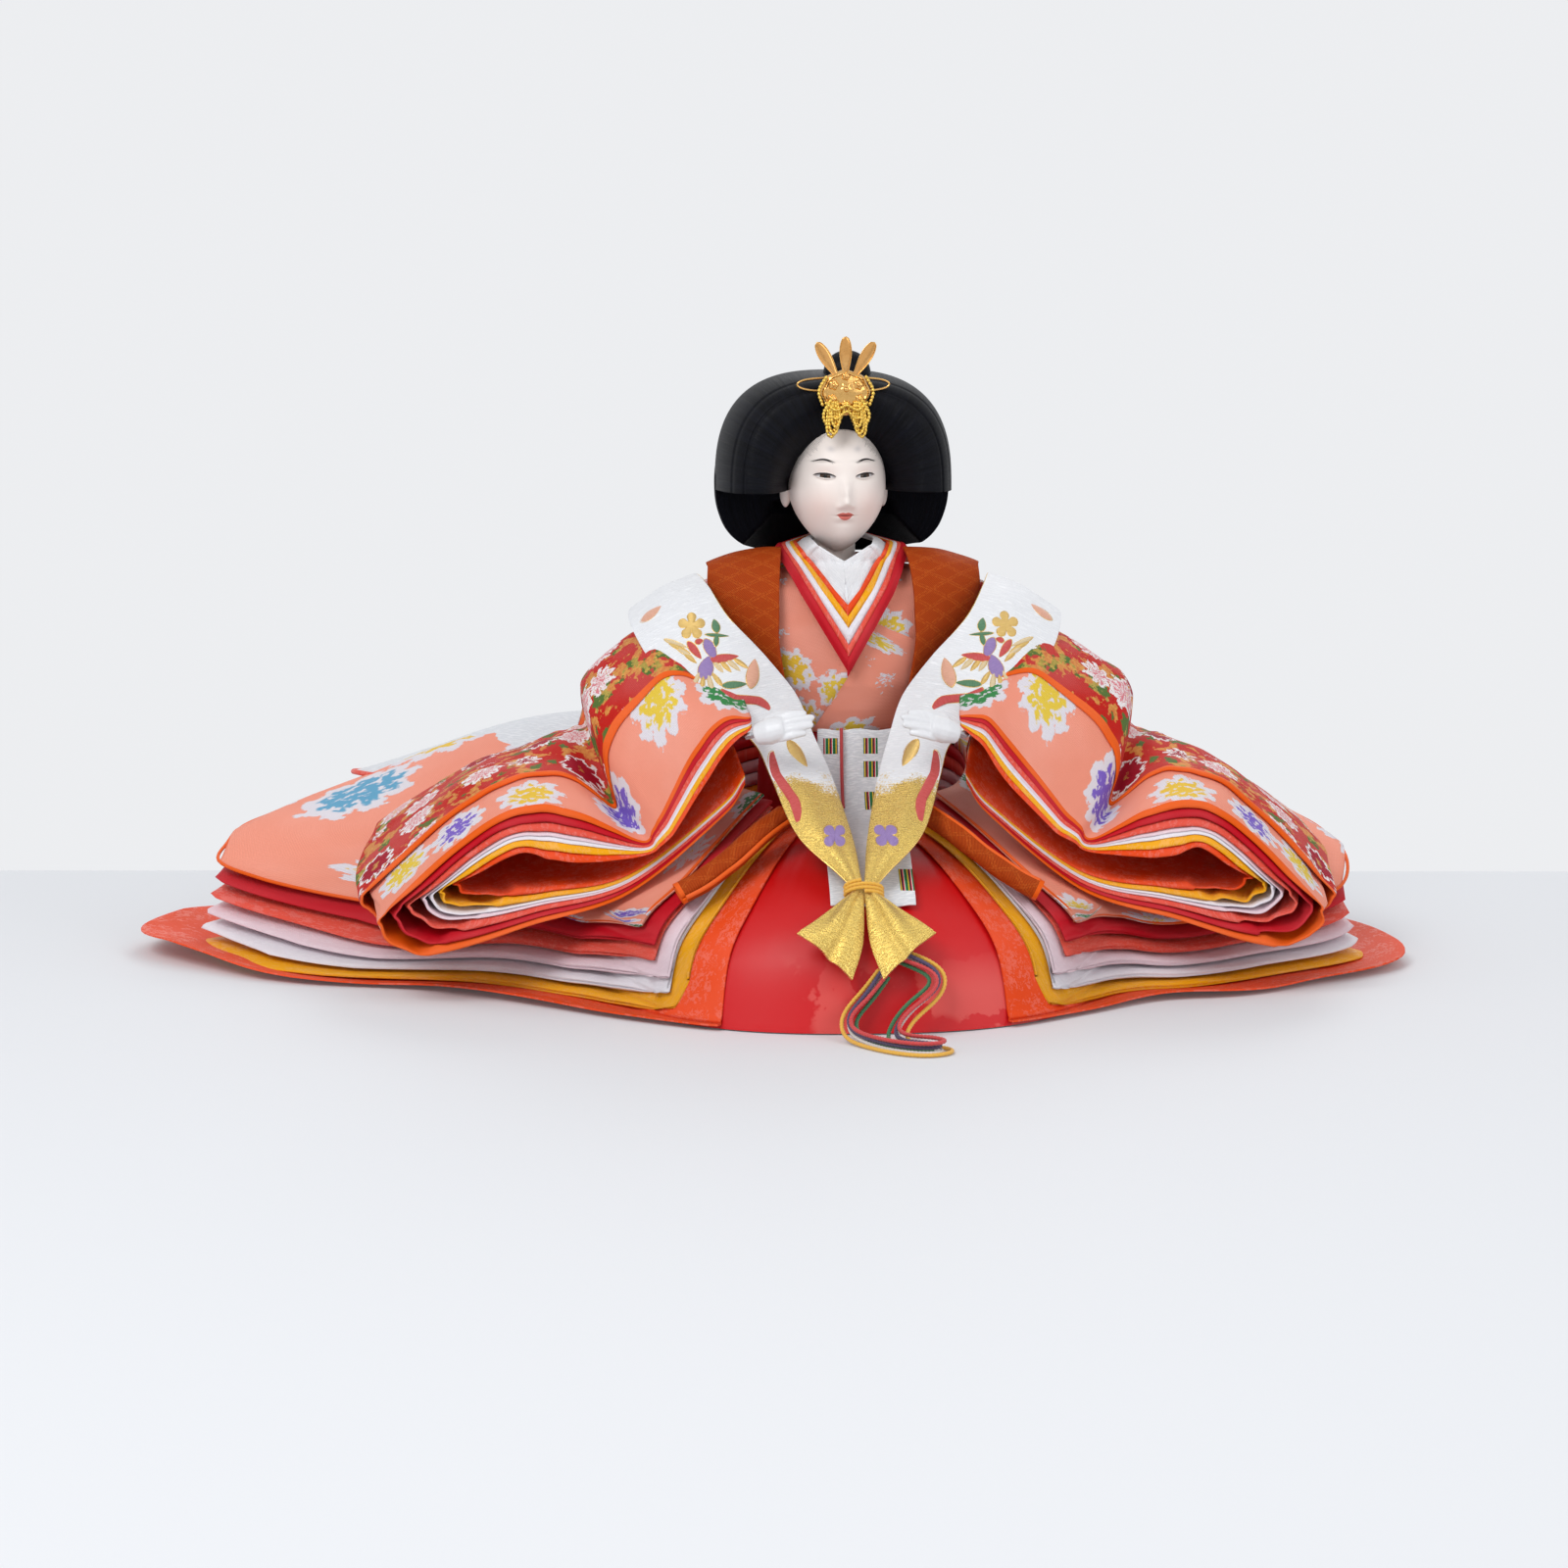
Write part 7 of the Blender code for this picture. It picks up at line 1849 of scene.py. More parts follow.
def build_face():
    """Head, neck, ears, eyes, lids, brows and hairline."""
    skin = porcelain_look()
    across = np.linspace(0, 2 * math.pi, 300, endpoint=False)
    down = np.linspace(0.0, math.pi, 260)
    sx = np.sin(down)[:, None] * np.sin(across)[None, :]
    sy = -np.sin(down)[:, None] * np.cos(across)[None, :]
    sz = np.broadcast_to(np.cos(down)[:, None], sx.shape)
    drop = np.maximum(0.0, -sz)
    narrow = 1.0 - CHIN_NARROW_SHARE * drop ** CHIN_POWER
    x = sx * HEAD_HALF_WIDTH * narrow
    z = sz * HEAD_HALF_HEIGHT + HEAD_CENTRE_Z
    y = sy * HEAD_HALF_DEPTH * narrow - 0.12 * drop * HEAD_HALF_DEPTH + HEAD_CENTRE_Y
    y = y - face_bumps(x, z) * np.clip(-sy * 1.6, 0, 1)
    head = surface("head_gofun", np.dstack([x, y, z]), skin, ring=True)
    bm = bmesh.new()
    bm.from_mesh(head.data)
    bmesh.ops.remove_doubles(bm, verts=bm.verts, dist=0.00001)
    bm.to_mesh(head.data)
    bm.free()
    place_head(head, "head")

    heights = np.linspace(NECK_FOOT_Z + 0.0005, NECK_TOP_Z, 30)
    radii = NECK_RADIUS * (1.0 + 0.10 * np.clip((heights - 0.134) / 0.009, 0, 1) ** 2)
    ring = np.linspace(0, 2 * math.pi, 64, endpoint=False)
    grid = np.array([[(r * math.sin(a), -r * math.cos(a), h) for a in ring] for r, h in zip(radii, heights)])
    place_head(close_ends(surface("neck_gofun", grid, skin, ring=True)))

    for side in (-1.0, 1.0):
        label = "left" if side > 0 else "right"
        rows = []
        for t in np.linspace(0, math.pi, 36):
            row = []
            for a in np.linspace(0, 2 * math.pi, 48, endpoint=False):
                px = math.sin(t) * math.cos(a)
                py = math.sin(t) * math.sin(a)
                pz = math.cos(t)
                shell = 1.0 - 0.35 * math.exp(-((py - 0.1) ** 2 + (pz - 0.25) ** 2) / 0.16) * max(px, 0.0)
                row.append((side * (HEAD_HALF_WIDTH + 0.0002 + 0.0017 * px * shell),
                            0.0005 + 0.0030 * py + 0.0006 * px,
                            0.1492 + 0.0050 * pz * (1 - 0.12 * py)))
            rows.append(row)
        place_head(surface("ear_" + label, rows, skin, ring=True))

        eye = []
        marks = []
        for s in np.linspace(-1, 1, 41):
            upper, lower = lid_heights(s)
            row = []
            mark = []
            for t in np.linspace(-1, 1, 13):
                ex = side * EYE_SPACING / 2 + s * EYE_HALF_WIDTH
                slant = EYE_SLANT * s * side
                ez = EYE_Z + slant + (upper if t > 0 else lower) * t
                bulge = 0.00055 * (1 - s * s) * (1 - 0.5 * t * t) + 0.00012
                row.append((ex, float(face_y(ex, ez, bulge - 0.0001)), ez))
                mark.append((s * EYE_HALF_WIDTH / MM, (ez - EYE_Z - slant) / MM))
            eye.append(row)
            marks.append(mark)
        glass = surface(label + "_eye_glass", eye, EYES, uv=np.array(marks))
        place_head(glass, label + "_eye")

        lashes = []
        lids = []
        ends = np.linspace(-1.0, 1.0, 40)
        for lift, out, kind in ((0.00010, 0.00075, "lash"), (0.00042, 0.00045, "lid"),
                                (-0.00005, 0.00050, "low")):
            line = []
            for s in ends:
                upper, lower = lid_heights(min(abs(s), 1.0) * (1 if s > 0 else -1))
                ex = side * EYE_SPACING / 2 + s * EYE_HALF_WIDTH * (1.10 if kind == "lash" and s
                                                                    * side > 0 else 1.0)
                ez = EYE_Z + EYE_SLANT * s * side + (upper + lift if kind != "low" else -lower + lift)
                line.append((ex, float(face_y(ex, ez, out * (1 - 0.55 * s * s) - 0.0001)), ez))
            (lashes if kind == "lash" else lids).append((line, {"lash": 1.0, "lid": 1.6, "low": 1.1}[kind]))
        place_head(bundle(label + "_lash_line", lashes, 0.00027, LASHES))
        place_head(bundle(label + "_lids", lids, 0.00022, skin, sides=8))

        brow = []
        for k in range(BROW_HAIRS):
            off = (k - 4) * BROW_HAIR_STEP
            line = []
            for t in np.linspace(0, 1, 16):
                s = -1 + 2 * t
                bx = side * (0.0066 + s * (0.0036 - 0.0002 * abs(k - 4)))
                bz = BROW_Z + 0.00085 * (1 - s * s) + off * (0.4 + 0.6 * (1 - t)) + 0.00012 * s
                line.append((bx, float(face_y(bx, bz, 0.00002)), bz))
            brow.append((line, 1.0))
        place_head(bundle(label + "_brow", brow, 0.00006, LASHES, sides=5))

    strokes = []
    for k in range(HAIRLINE_STROKES):
        t = (k + 0.5) / HAIRLINE_STROKES
        angle = math.pi * t
        jitter = wave_noise(k * 0.7, 3.0, 1.0)
        ox = HAIR_FACE_HALF_WIDTH * math.cos(angle)
        oz = 0.1500 + 0.0192 * math.sin(angle)
        temple = math.exp(-((abs(math.cos(angle)) - 0.62) / 0.22) ** 2)
        reach = 0.0006 + 0.0005 * abs(jitter) + (0.0016 + 0.0012 * abs(jitter)) * temple
        line = []
        for s in np.linspace(0, 1, 7):
            hx = ox * (1 - s * reach / HAIR_FACE_HALF_WIDTH)
            hz = oz - s * reach * (math.sin(angle) * 0.9) - s * reach * 0.35 * abs(math.cos(angle))
            line.append((hx, float(face_y(hx, hz, 0.00004)), hz))
        strokes.append((line, 0.8 + 0.4 * jitter))
    place_head(bundle("hairline_strokes", strokes, 0.00006, LASHES, sides=5))


def wing_outline(angle):
    """Outer edge of the front wings, measured from the middle of their foot."""
    power = 2.8
    c = abs(math.cos(angle)) / HAIR_HALF_WIDTH
    s = abs(math.sin(angle)) / (HAIR_CROWN_Z - HAIR_WING_FOOT_Z)
    return (c ** power + s ** power) ** (-1 / power)


HAIR_HALF_WIDTH = 0.0370
HAIR_HALF_DEPTH = 0.0250
HAIR_CENTRE_Y = 0.0045
HAIR_CROWN_Z = 0.1868
HAIR_WING_FOOT_Z = 0.1496
HAIR_LOBE_FRONT_Y = 0.0030
HAIR_FACE_HALF_WIDTH = 0.0158
HAIR_FACE_HEIGHT = 0.0195
HAIR_RING_SHARES = (
    (0.0, 0.12, 0.12), (0.02, 0.35, 0.40), (0.08, 0.60, 0.66), (0.18, 0.81, 0.84), (0.33, 0.93, 0.95),
    (0.50, 0.99, 1.0), (0.64, 1.0, 0.98), (0.75, 0.975, 0.92), (0.86, 0.90, 0.84), (0.94, 0.76, 0.72),
    (1.0, 0.50, 0.50))
HAIR_LOBE_FOOT_Z = 0.1287
HAIR_LOBE_TOP_Z = 0.1865
HAIR_TAIL_TOP_Z = 0.1490
HAIR_TAIL_FOOT_Z = 0.0925
HAIR_TAIL_Y = 0.0284
HAIR_TAIL_HALF_WIDTH = 0.0078
HAIR_TIES_Z = (0.1310, 0.1120)
WING_CREST_SHARE = 0.46


def wing_rise(share):
    """How far the wing stands forward, from the face to its rim, with two soft ridges along the rim."""
    if share < WING_CREST_SHARE:
        return math.sin(math.pi / 2 * share / WING_CREST_SHARE) ** 0.85
    t = (share - WING_CREST_SHARE) / (1 - WING_CREST_SHARE)
    rise = max(0.0, 1 - t ** 2.4) ** 0.5
    groove = 0.030 * math.exp(-((share - 0.72) / 0.012) ** 2) + 0.024 * math.exp(-((share
                                                                                    - 0.86) / 0.010) ** 2)
    return rise - groove


def build_hair():
    """Front wings that stand out beside the face, a rounded back, lobes behind the ears and a tied tail."""
    shine = hair_look()
    matte = hair_look("hair_shadow", 0.35)
    angles = np.linspace(0.0, math.pi, 220)
    front = np.concatenate([np.linspace(0, 0.9, 80),
                            0.9 + 0.1 * np.sin(np.linspace(0.1, 1, 12) * math.pi / 2)])
    back = np.linspace(0.03, 1.0, 30)
    grid = np.zeros((len(front) + len(back), len(angles), 3))
    for j, angle in enumerate(angles):
        c, s = math.cos(angle), math.sin(angle)
        inner = 1 / math.sqrt((c / HAIR_FACE_HALF_WIDTH) ** 2 + (s / HAIR_FACE_HEIGHT) ** 2)
        outer = wing_outline(angle)
        hair_edge = float(face_y(inner * c * 0.97, HAIR_WING_FOOT_Z + inner * s, 0.0))
        start = min(hair_edge - 0.0001, -0.0055)
        rim = HAIR_CENTRE_Y
        peak = -0.0205 + 0.0030 * abs(s) ** 6
        for i, share in enumerate(front):
            r = inner + (outer - inner) * share
            rise = wing_rise(share)
            base = start + (rim - start) * share ** 1.5
            lock = 0.00012 * wave_noise(angle * 22.0, share * 0.6, 1.0)
            y = base + (peak - base) * rise + lock * rise
            grid[i, j] = (r * c, y, HAIR_WING_FOOT_Z + r * s)
        for i, share in enumerate(back):
            turn = share * math.pi / 2
            r = outer * math.cos(turn)
            grid[len(front) + i, j] = (r * c, HAIR_CENTRE_Y + HAIR_HALF_DEPTH * math.sin(turn) * 0.99,
                                       HAIR_WING_FOOT_Z + r * s)
    arc = np.broadcast_to(angles[None, :] * 26.0, grid.shape[:2])
    walk = np.concatenate([[0], np.cumsum(np.linalg.norm(np.diff(grid, axis=0), axis=2).mean(axis=1))]) / MM
    uv = np.dstack([arc, np.broadcast_to(walk[:, None], grid.shape[:2])])
    wings = surface("hair_wings", grid, shine, uv=uv)
    close_ends(wings)
    place_head(wings, "hair")

    rings = along(np.array(HAIR_RING_SHARES), np.linspace(5.1, 10.0, 60))
    turns = np.linspace(0, 2 * math.pi, 160, endpoint=False)
    grid = np.zeros((len(rings), len(turns), 3))
    for i, (drop, width, depth) in enumerate(rings):
        z = HAIR_LOBE_TOP_Z + (HAIR_LOBE_FOOT_Z - HAIR_LOBE_TOP_Z) * drop
        hollow = np.interp(z, (0.129, 0.1415, 0.1600), (0.0315, 0.0200, 0.0190))
        for j, turn in enumerate(turns):
            c, s = math.cos(turn), math.sin(turn)
            x = HAIR_HALF_WIDTH * width * math.copysign(abs(c) ** (2 / 2.3), c)
            y = HAIR_HALF_DEPTH * depth * math.copysign(abs(s) ** (2 / 2.3), s) + HAIR_CENTRE_Y
            y = max(y, HAIR_LOBE_FRONT_Y)
            x = x * (1.0 + 0.004 * wave_noise(turn * 9.0, z * 20.0, 3.0))
            if abs(x) < hollow and z < 0.146:
                y = max(y, math.sqrt(hollow ** 2 - x ** 2) * 0.86)
            grid[i, j] = (x, y, z)
    arc = np.broadcast_to(turns[None, :] * 34.0, grid.shape[:2])
    tall = np.broadcast_to((grid[:, :1, 2].max() - grid[:, :1, 2]) / MM, grid.shape[:2])
    lobes = surface("hair_lobes", grid, matte, uv=np.dstack([arc, tall]), ring=True)
    close_ends(lobes)
    place_head(lobes)

    rows = []
    for t in np.linspace(0.02, math.pi - 0.02, 40):
        rows.append([(0.0034 + 0.0074 * math.sin(t) * math.cos(a),
                      -0.0035 + 0.0066 * math.sin(t) * math.sin(a),
                      0.1858 + 0.0072 * math.cos(t)) for a in np.linspace(0, 2 * math.pi, 60,
                                                                          endpoint=False)])
    place_head(close_ends(surface("hair_topknot", rows, shine, ring=True)))
    heights = np.linspace(HAIR_TAIL_TOP_Z, HAIR_TAIL_FOOT_Z, 60)
    rows = []
    for k, height in enumerate(heights):
        t = k / (len(heights) - 1)
        half = HAIR_TAIL_HALF_WIDTH * (1 - 0.25 * t) * (0.82 + 0.18 * abs(math.cos(t * math.pi * 3)))
        row = []
        for a in np.linspace(0, 2 * math.pi, 48, endpoint=False):
            row.append((half * math.sin(a), HAIR_TAIL_Y + 0.0021 * math.cos(a) * (1 - 0.3 * t), height))
        rows.append(row)
    place_head(close_ends(surface("hair_tail", rows, shine, ring=True)))
    ties = []
    for z in HAIR_TIES_Z:
        ring = [(HAIR_TAIL_HALF_WIDTH * math.sin(a), HAIR_TAIL_Y + 0.0030 * math.cos(a), z)
                for a in np.linspace(0, 2 * math.pi, 50)]
        ties.append((ring, 1.0))
    place_head(bundle("hair_tail_ties", ties, 0.0007, WHITE_PAPER, sides=8, beads=2.2))


# Gold ornament
PLATE_HALF_WIDTH = 0.0076
PLATE_HALF_HEIGHT = 0.0068
PLATE_Y = -0.0208
PLATE_Z = 0.1805
PRONG_LENGTH = 0.0122
PRONG_SPREAD = math.radians(31.0)
LACE_DROP = 0.0115
PIN_Z = 0.1829
PIN_HALF_LENGTH = 0.0143
PIN_HALF_HEIGHT = 0.0020


def dome(rows, centre, radius, flat, lobes=0):
    """Rings of a small boss facing forward, with petals round its rim where asked."""
    for t in np.linspace(0.03, math.pi / 2, 9):
        ring = []
        for a in np.linspace(0, 2 * math.pi, 40, endpoint=False):
            r = radius * math.sin(t) * (1 + (0.13 * math.cos(lobes * a) if lobes else 0.0))
            ring.append((centre[0] + r * math.cos(a), centre[1] - flat * math.cos(t),
                         centre[2] + r * math.sin(a)))
        rows.append(ring)
    return rows


def joined(name, grids, look):
    """Several closed grids as one mesh."""
    verts = []
    faces = []
    for grid in grids:
        first = len(verts)
        rows = len(grid)
        cols = len(grid[0])
        for row in grid:
            verts += [tuple(p) for p in row]
        for i in range(rows - 1):
            for j in range(cols):
                n = (j + 1) % cols
                faces.append((first + i * cols + j, first + i * cols + n, first + (i + 1) * cols + n,
                              first + (i + 1) * cols + j))
        faces.append(tuple(first + j for j in range(cols)))
        faces.append(tuple(first + (rows - 1) * cols + j for j in reversed(range(cols))))
    mesh = bpy.data.meshes.new(name)
    mesh.from_pydata(verts, [], faces)
    mesh.materials.append(look)
    mesh.shade_smooth()
    mesh.set_sharp_from_angle(angle=math.radians(55.0))
    return edit_mesh(linked(name, mesh))


def build_ornament():
    """The gold plate with its flowers and three prongs, its beaded lace, and the wire pin behind."""
    plate = []
    for depth, share in ((0.0010, 0.90), (0.0010, 1.0), (0.0002, 1.02), (-0.0008, 0.97), (-0.0012, 0.86),
                         (-0.0009, 0.80), (-0.0014, 0.62), (-0.0019, 0.30), (-0.0020, 0.03)):
        plate.append([(PLATE_HALF_WIDTH * share * math.cos(a) * (1 + 0.03 * math.cos(8 * a)), PLATE_Y + depth,
                       PLATE_Z + PLATE_HALF_HEIGHT * share * math.sin(a) * (1 + 0.03 * math.cos(8 * a)))
                      for a in np.linspace(0, 2 * math.pi, 96, endpoint=False)])
    grids = [plate]
    for x, z, radius, lobes in ((0.0, 0.0010, 0.0022, 6), (0.0038, 0.0024, 0.0016, 5),
                                (-0.0038, 0.0024, 0.0016, 5),
                                (0.0042, -0.0018, 0.0014, 5), (-0.0042, -0.0018, 0.0014, 5),
                                (0.0, -0.0035, 0.0015, 6),
                                (0.0, 0.0050, 0.0013, 5)):
        grids.append(dome([], (x, PLATE_Y - 0.0012, PLATE_Z + z), radius, 0.0011, lobes))
        grids.append(dome([], (x, PLATE_Y - 0.0020, PLATE_Z + z), radius * 0.38, 0.0008))
    pin = [[(0.0007 * math.cos(a), y, PIN_Z + 0.0007 * math.sin(a)) for a in np.linspace(
        0, 2 * math.pi, 16, endpoint=False)] for y in (PLATE_Y, -0.0065)]
    grids.append(pin)
    piece = joined("ornament_plate_gold", grids, GOLD_METAL)
    place_head(piece, "ornament_plate", body="ornament")
    rims = []
    for k, tilt in enumerate((-PRONG_SPREAD, 0.0, PRONG_SPREAD)):
        foot = Vector((0.0, PLATE_Y, PLATE_Z + PLATE_HALF_HEIGHT * 0.72))
        turn = Matrix.Rotation(tilt, 4, "Y")
        hang = Matrix.Translation((PLATE_HALF_WIDTH * 0.35 * (k - 1), 0, 0))
        blade = []
        edge = []
        for t in np.linspace(0, 1, 24):
            half = 0.0005 + 0.0013 * math.sin(math.pi * min(1.0, t ** 1.5)) ** 0.7 if t < 1 else 0.00008
            ring = []
            for a in np.linspace(0, 2 * math.pi, 20, endpoint=False):
                local = Vector((half * math.cos(a), 0.00032 * math.sin(a) - 0.0004, t * PRONG_LENGTH))
                ring.append(tuple((hang @ (turn @ local)) + foot))
            blade.append(ring)
            edge.append(half)
        amber = joined("prong_" + str(k + 1), [blade], AMBER)
        place_head(amber, body="ornament")
        outline = []
        for sign in (1, -1):
            line = [tuple((hang @ (turn @ Vector((sign * h, -0.0006, t * PRONG_LENGTH)))) + foot)
                    for t, h in zip(np.linspace(0, 1, 24), edge)]
            outline.append(line if sign > 0 else line[::-1])
        path = outline[0] + outline[1][1:]
        rims.append((path, 1.0))
    rim = bundle("prong_rims", rims, 0.00026, GOLD_METAL, sides=6, beads=40.0)
    place_head(rim, body="ornament")

    x = PLATE_HALF_WIDTH * 0.55
    y = PLATE_Y - 0.0010 - 0.0008 - 0.0003
    points = [(-x, y, PLATE_Z - LACE_DROP * 0.1), (-x * 1.7, y, PLATE_Z - LACE_DROP * 0.6),
              (-x, y, PLATE_Z - LACE_DROP), (-x * 0.35, y, PLATE_Z - LACE_DROP * 0.6),
              (0.0, y, PLATE_Z - LACE_DROP * 0.25), (x * 0.35, y, PLATE_Z - LACE_DROP * 0.6),
              (x, y, PLATE_Z - LACE_DROP), (x * 1.7, y, PLATE_Z - LACE_DROP * 0.6),
              (x, y, PLATE_Z - LACE_DROP * 0.1)]
    path = even(np.array(points), 260)
    lace = bundle("ornament_lace", [(path, 1.0)], 0.00062, GOLD_BRAID, sides=8, beads=0.0011)
    place_head(lace, "ornament_cord", body="ornament")
    loops = []
    for side in (-1.0, 1.0):
        for reach, foot, out in ((1.15, 1.16, 0.0004), (0.75, 1.08, 0.0009), (0.42, 0.90, 0.0013)):
            low = PLATE_Z - LACE_DROP * foot
            cx = side * x * (0.62 + reach * 0.45)
            wide = 0.0013
            loop = [(cx - wide * 0.5, y + 0.0004, PLATE_Z - 0.0025), (cx - wide, y - out * 0.5, low + 0.0026),
                    (cx, y - out, low), (cx + wide, y - out * 0.5, low + 0.0026),
                    (cx + wide * 0.5, y + 0.0004, PLATE_Z - 0.0025)]
            loops.append((even(np.array(loop), 130), 1.0))
        edge = [(side * 0.0072, PLATE_Y - 0.0016, PLATE_Z - 0.0040),
                (side * 0.0084, PLATE_Y - 0.0016, PLATE_Z + 0.0005),
                (side * 0.0060, PLATE_Y - 0.0016, PLATE_Z + 0.0052)]
        loops.append((even(np.array(edge), 90), 1.0))
    for drop in (0.0052, 0.0078):
        swag = [(-0.0066, y, PLATE_Z - drop * 0.55), (-0.0034, y - 0.0006, PLATE_Z - drop),
                (0.0, y - 0.0008, PLATE_Z - drop * 0.72), (0.0034, y - 0.0006, PLATE_Z - drop),
                (0.0066, y, PLATE_Z - drop * 0.55)]
        loops.append((even(np.array(swag), 130), 1.0))
    fringe = bundle("ornament_lace_loops", loops, 0.00058, GOLD_BRAID, sides=8, beads=0.0011)
    place_head(fringe, body="ornament")

    points = []
    for a in np.linspace(0, 2 * math.pi, 121):
        px = PIN_HALF_LENGTH * math.copysign(abs(math.cos(a)) ** 0.5, math.cos(a))
        points.append((px, PLATE_Y + 0.0036, PIN_Z + PIN_HALF_HEIGHT * math.sin(a)))
    wire = bundle("hairpin_wire", [(np.array(points), 1.0)], 0.00048, GOLD_METAL, sides=8, beads=40.0)
    place_head(wire, "kogai_pin", body="kogai")


# Hands
HAND_LENGTH = 0.0195
WRIST_X = 0.0345
WRIST_Y = -0.0640
WRIST_Z = 0.0815
WRIST_ENTRY_IN = 0.0040
WRIST_ENTRY_FORWARD = 0.0102
# Fingers: place across, length, height at the root, width and curl, as shares of the hand's length
FINGER_SHARES = ((-0.17, 0.86, 0.02, 0.072, 0.05), (-0.06, 0.98, 0.03, 0.075, 0.04),
                 (0.055, 0.94, 0.02, 0.073, 0.05),
                 (0.155, 0.80, 0.0, 0.064, 0.07))


def capsule(points, radii):
    """Rings of a rounded tube through points."""
    points = np.array(points)
    count = 22
    t = np.linspace(0, len(points) - 1, count)
    path = along(points, t)
    r = np.interp(t, range(len(radii)), radii)
    across, up = frames_along(path)
    rows = []
    for k in range(count):
        near = min(k, count - 1 - k)
        grow = min(1.0, math.sqrt(max(0.0, 1 - (1 - min(near / 3, 1.0)) ** 2)) + 0.12)
        rows.append([tuple(path[k] + (across[k] * math.cos(a) + up[k] * math.sin(a)) * r[k] * grow)
                     for a in np.linspace(0, 2 * math.pi, 16, endpoint=False)])
    return rows


HAND_ROLL = math.radians(60.0)


def build_hands():
    """Both hands, each one skin over a palm, a thumb and four fingers."""
    look = Look("hand_gofun")
    grain = look.noise(look.place(), 900.0, 3.0)
    tint = look.mix(grain, (0.70, 0.70, 0.72), (0.78, 0.78, 0.80))
    gofun = look.finish(tint, 0.36, look.bump(grain, 0.00003, 0.2), coat_weight=0.1)
    size = HAND_LENGTH
    for name, side in (("right_hand", -1.0), ("left_hand", 1.0)):
        way = Vector((-side * 0.94, -0.20, 0.26)).normalized()
        entry = Vector((side * (WRIST_X - WRIST_ENTRY_IN), WRIST_Y - WRIST_ENTRY_FORWARD, WRIST_Z))
        level = way.cross(Vector((0.0, 0.0, 1.0))).normalized() * side
        upright = Vector((0.0, 0.0, 1.0))
        upright = (upright - way * upright.dot(way)).normalized()
        across = -(upright * math.sin(HAND_ROLL) + level * math.cos(HAND_ROLL))
        up = upright * math.cos(HAND_ROLL) - level * math.sin(HAND_ROLL)
        grids = []
        for place, length, root, width, curl in FINGER_SHARES:
            grids.append(capsule(((size * 0.34, size * place, size * root),
                                  (size * 0.60, size * place * 1.05, size * (
                root + 0.03)), (size * length, size * place * 0.92, size * (root - curl))),
                (size * width, size * width, size * width * 0.74)))
        grids.append(capsule(((0.0, 0.0, 0.0), (size * 0.25, 0.0, size * 0.02),
                              (size * 0.52, 0.0, size * 0.02)),
                             (size * 0.150, size * 0.215, size * 0.185)))
        grids.append(capsule(((size * 0.16, size * -0.17, size * -0.05),
                              (size * 0.40, size * -0.26, size * -0.09),
                              (size * 0.62, size * -0.24, size * -0.05)),
                              (size * 0.09, size * 0.078, size * 0.055)))
        piece = joined(name + "_gofun", grids, gofun)
        basis = Matrix((way, across, up)).transposed().to_4x4()
        flat = Matrix.Diagonal((1.0, 1.0, 0.80, 1.0))
        piece.data.transform(Matrix.Translation(entry) @ basis @ flat)
        melt = piece.modifiers.new("one_skin", "REMESH")
        melt.mode = "VOXEL"
        melt.voxel_size = 0.00030
        melt.use_smooth_shade = True
        soft = piece.modifiers.new("soften", "SMOOTH")
        soft.factor = 0.5
        soft.iterations = 4
        attach(piece, name, body=name)


def plain_look(name, low, high, scale, rough, stretch=(1.0, 1.0, 1.0), metal=None):
    look = Look(name)
    grain = look.noise(look.scaled(look.place(), stretch), scale, 4.0, 0.6)
    return look.finish(look.mix(grain, low, high), rough, look.bump(grain, 0.0002, 0.5), metal)


LASHES = plain_look("ink_strokes", (0.010, 0.007, 0.007), (0.030, 0.020, 0.018), 900.0, 0.6)
WHITE_PAPER = plain_look("paper_cord", (0.72, 0.70, 0.66), (0.86, 0.84, 0.80), 700.0, 0.7)
AMBER = plain_look("amber_gilding", (0.62, 0.27, 0.06), (0.92, 0.55, 0.22), 160.0, 0.14, metal=1.0)
GOLD_BRAID = gold_look("gold_braid", (0.84, 0.53, 0.05), 0.36)
EYES = eye_look()


WRAP_FULLNESS = 0.0004
WRAP_TURNS = 900.0


def finish_hidden_parts():
    """Materials for the body inside the robes, which keeps its CAD shape."""
    straw = plain_look("straw_bundle", (0.36, 0.26, 0.10), (0.70, 0.56, 0.28), 300.0, 0.85, (3.0, 3.0, 0.08))
    board = plain_look("board_wood", (0.42, 0.27, 0.13), (0.68, 0.50, 0.30), 60.0, 0.6, (0.3, 6.0, 6.0))
    stick = plain_look("stick_wood", (0.50, 0.34, 0.17), (0.76, 0.60, 0.38), 240.0, 0.55, (4.0, 4.0, 0.3))
    steel = plain_look("wire_steel", (0.30, 0.30, 0.32), (0.55, 0.55, 0.57), 900.0, 0.35, metal=1.0)
    wraps = plain_look("roll_cotton", (0.62, 0.58, 0.50), (0.84, 0.82, 0.76), 500.0, 0.9)
    for node, look in (("body_core", straw), ("base_board", board), ("neck_stick", stick),
                       ("arm_wire", steel)):
        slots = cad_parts[node].data.materials
        slots[0] = look
    for node in ("left_arm_roll", "right_arm_roll"):
        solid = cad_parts[node]
        mesh = solid.data.copy()
        mesh.materials.clear()
        mesh.materials.append(wraps)
        item = linked("cotton_wrap_" + node[:-9], mesh)
        item.matrix_world = solid.matrix_world
        outward = [(vertex, vertex.normal.copy()) for vertex in mesh.vertices]
        for vertex, normal in outward:
            vertex.co += normal * WRAP_FULLNESS * (1 + 0.5 * math.sin(vertex.co.x * WRAP_TURNS))
        attach(item, node)


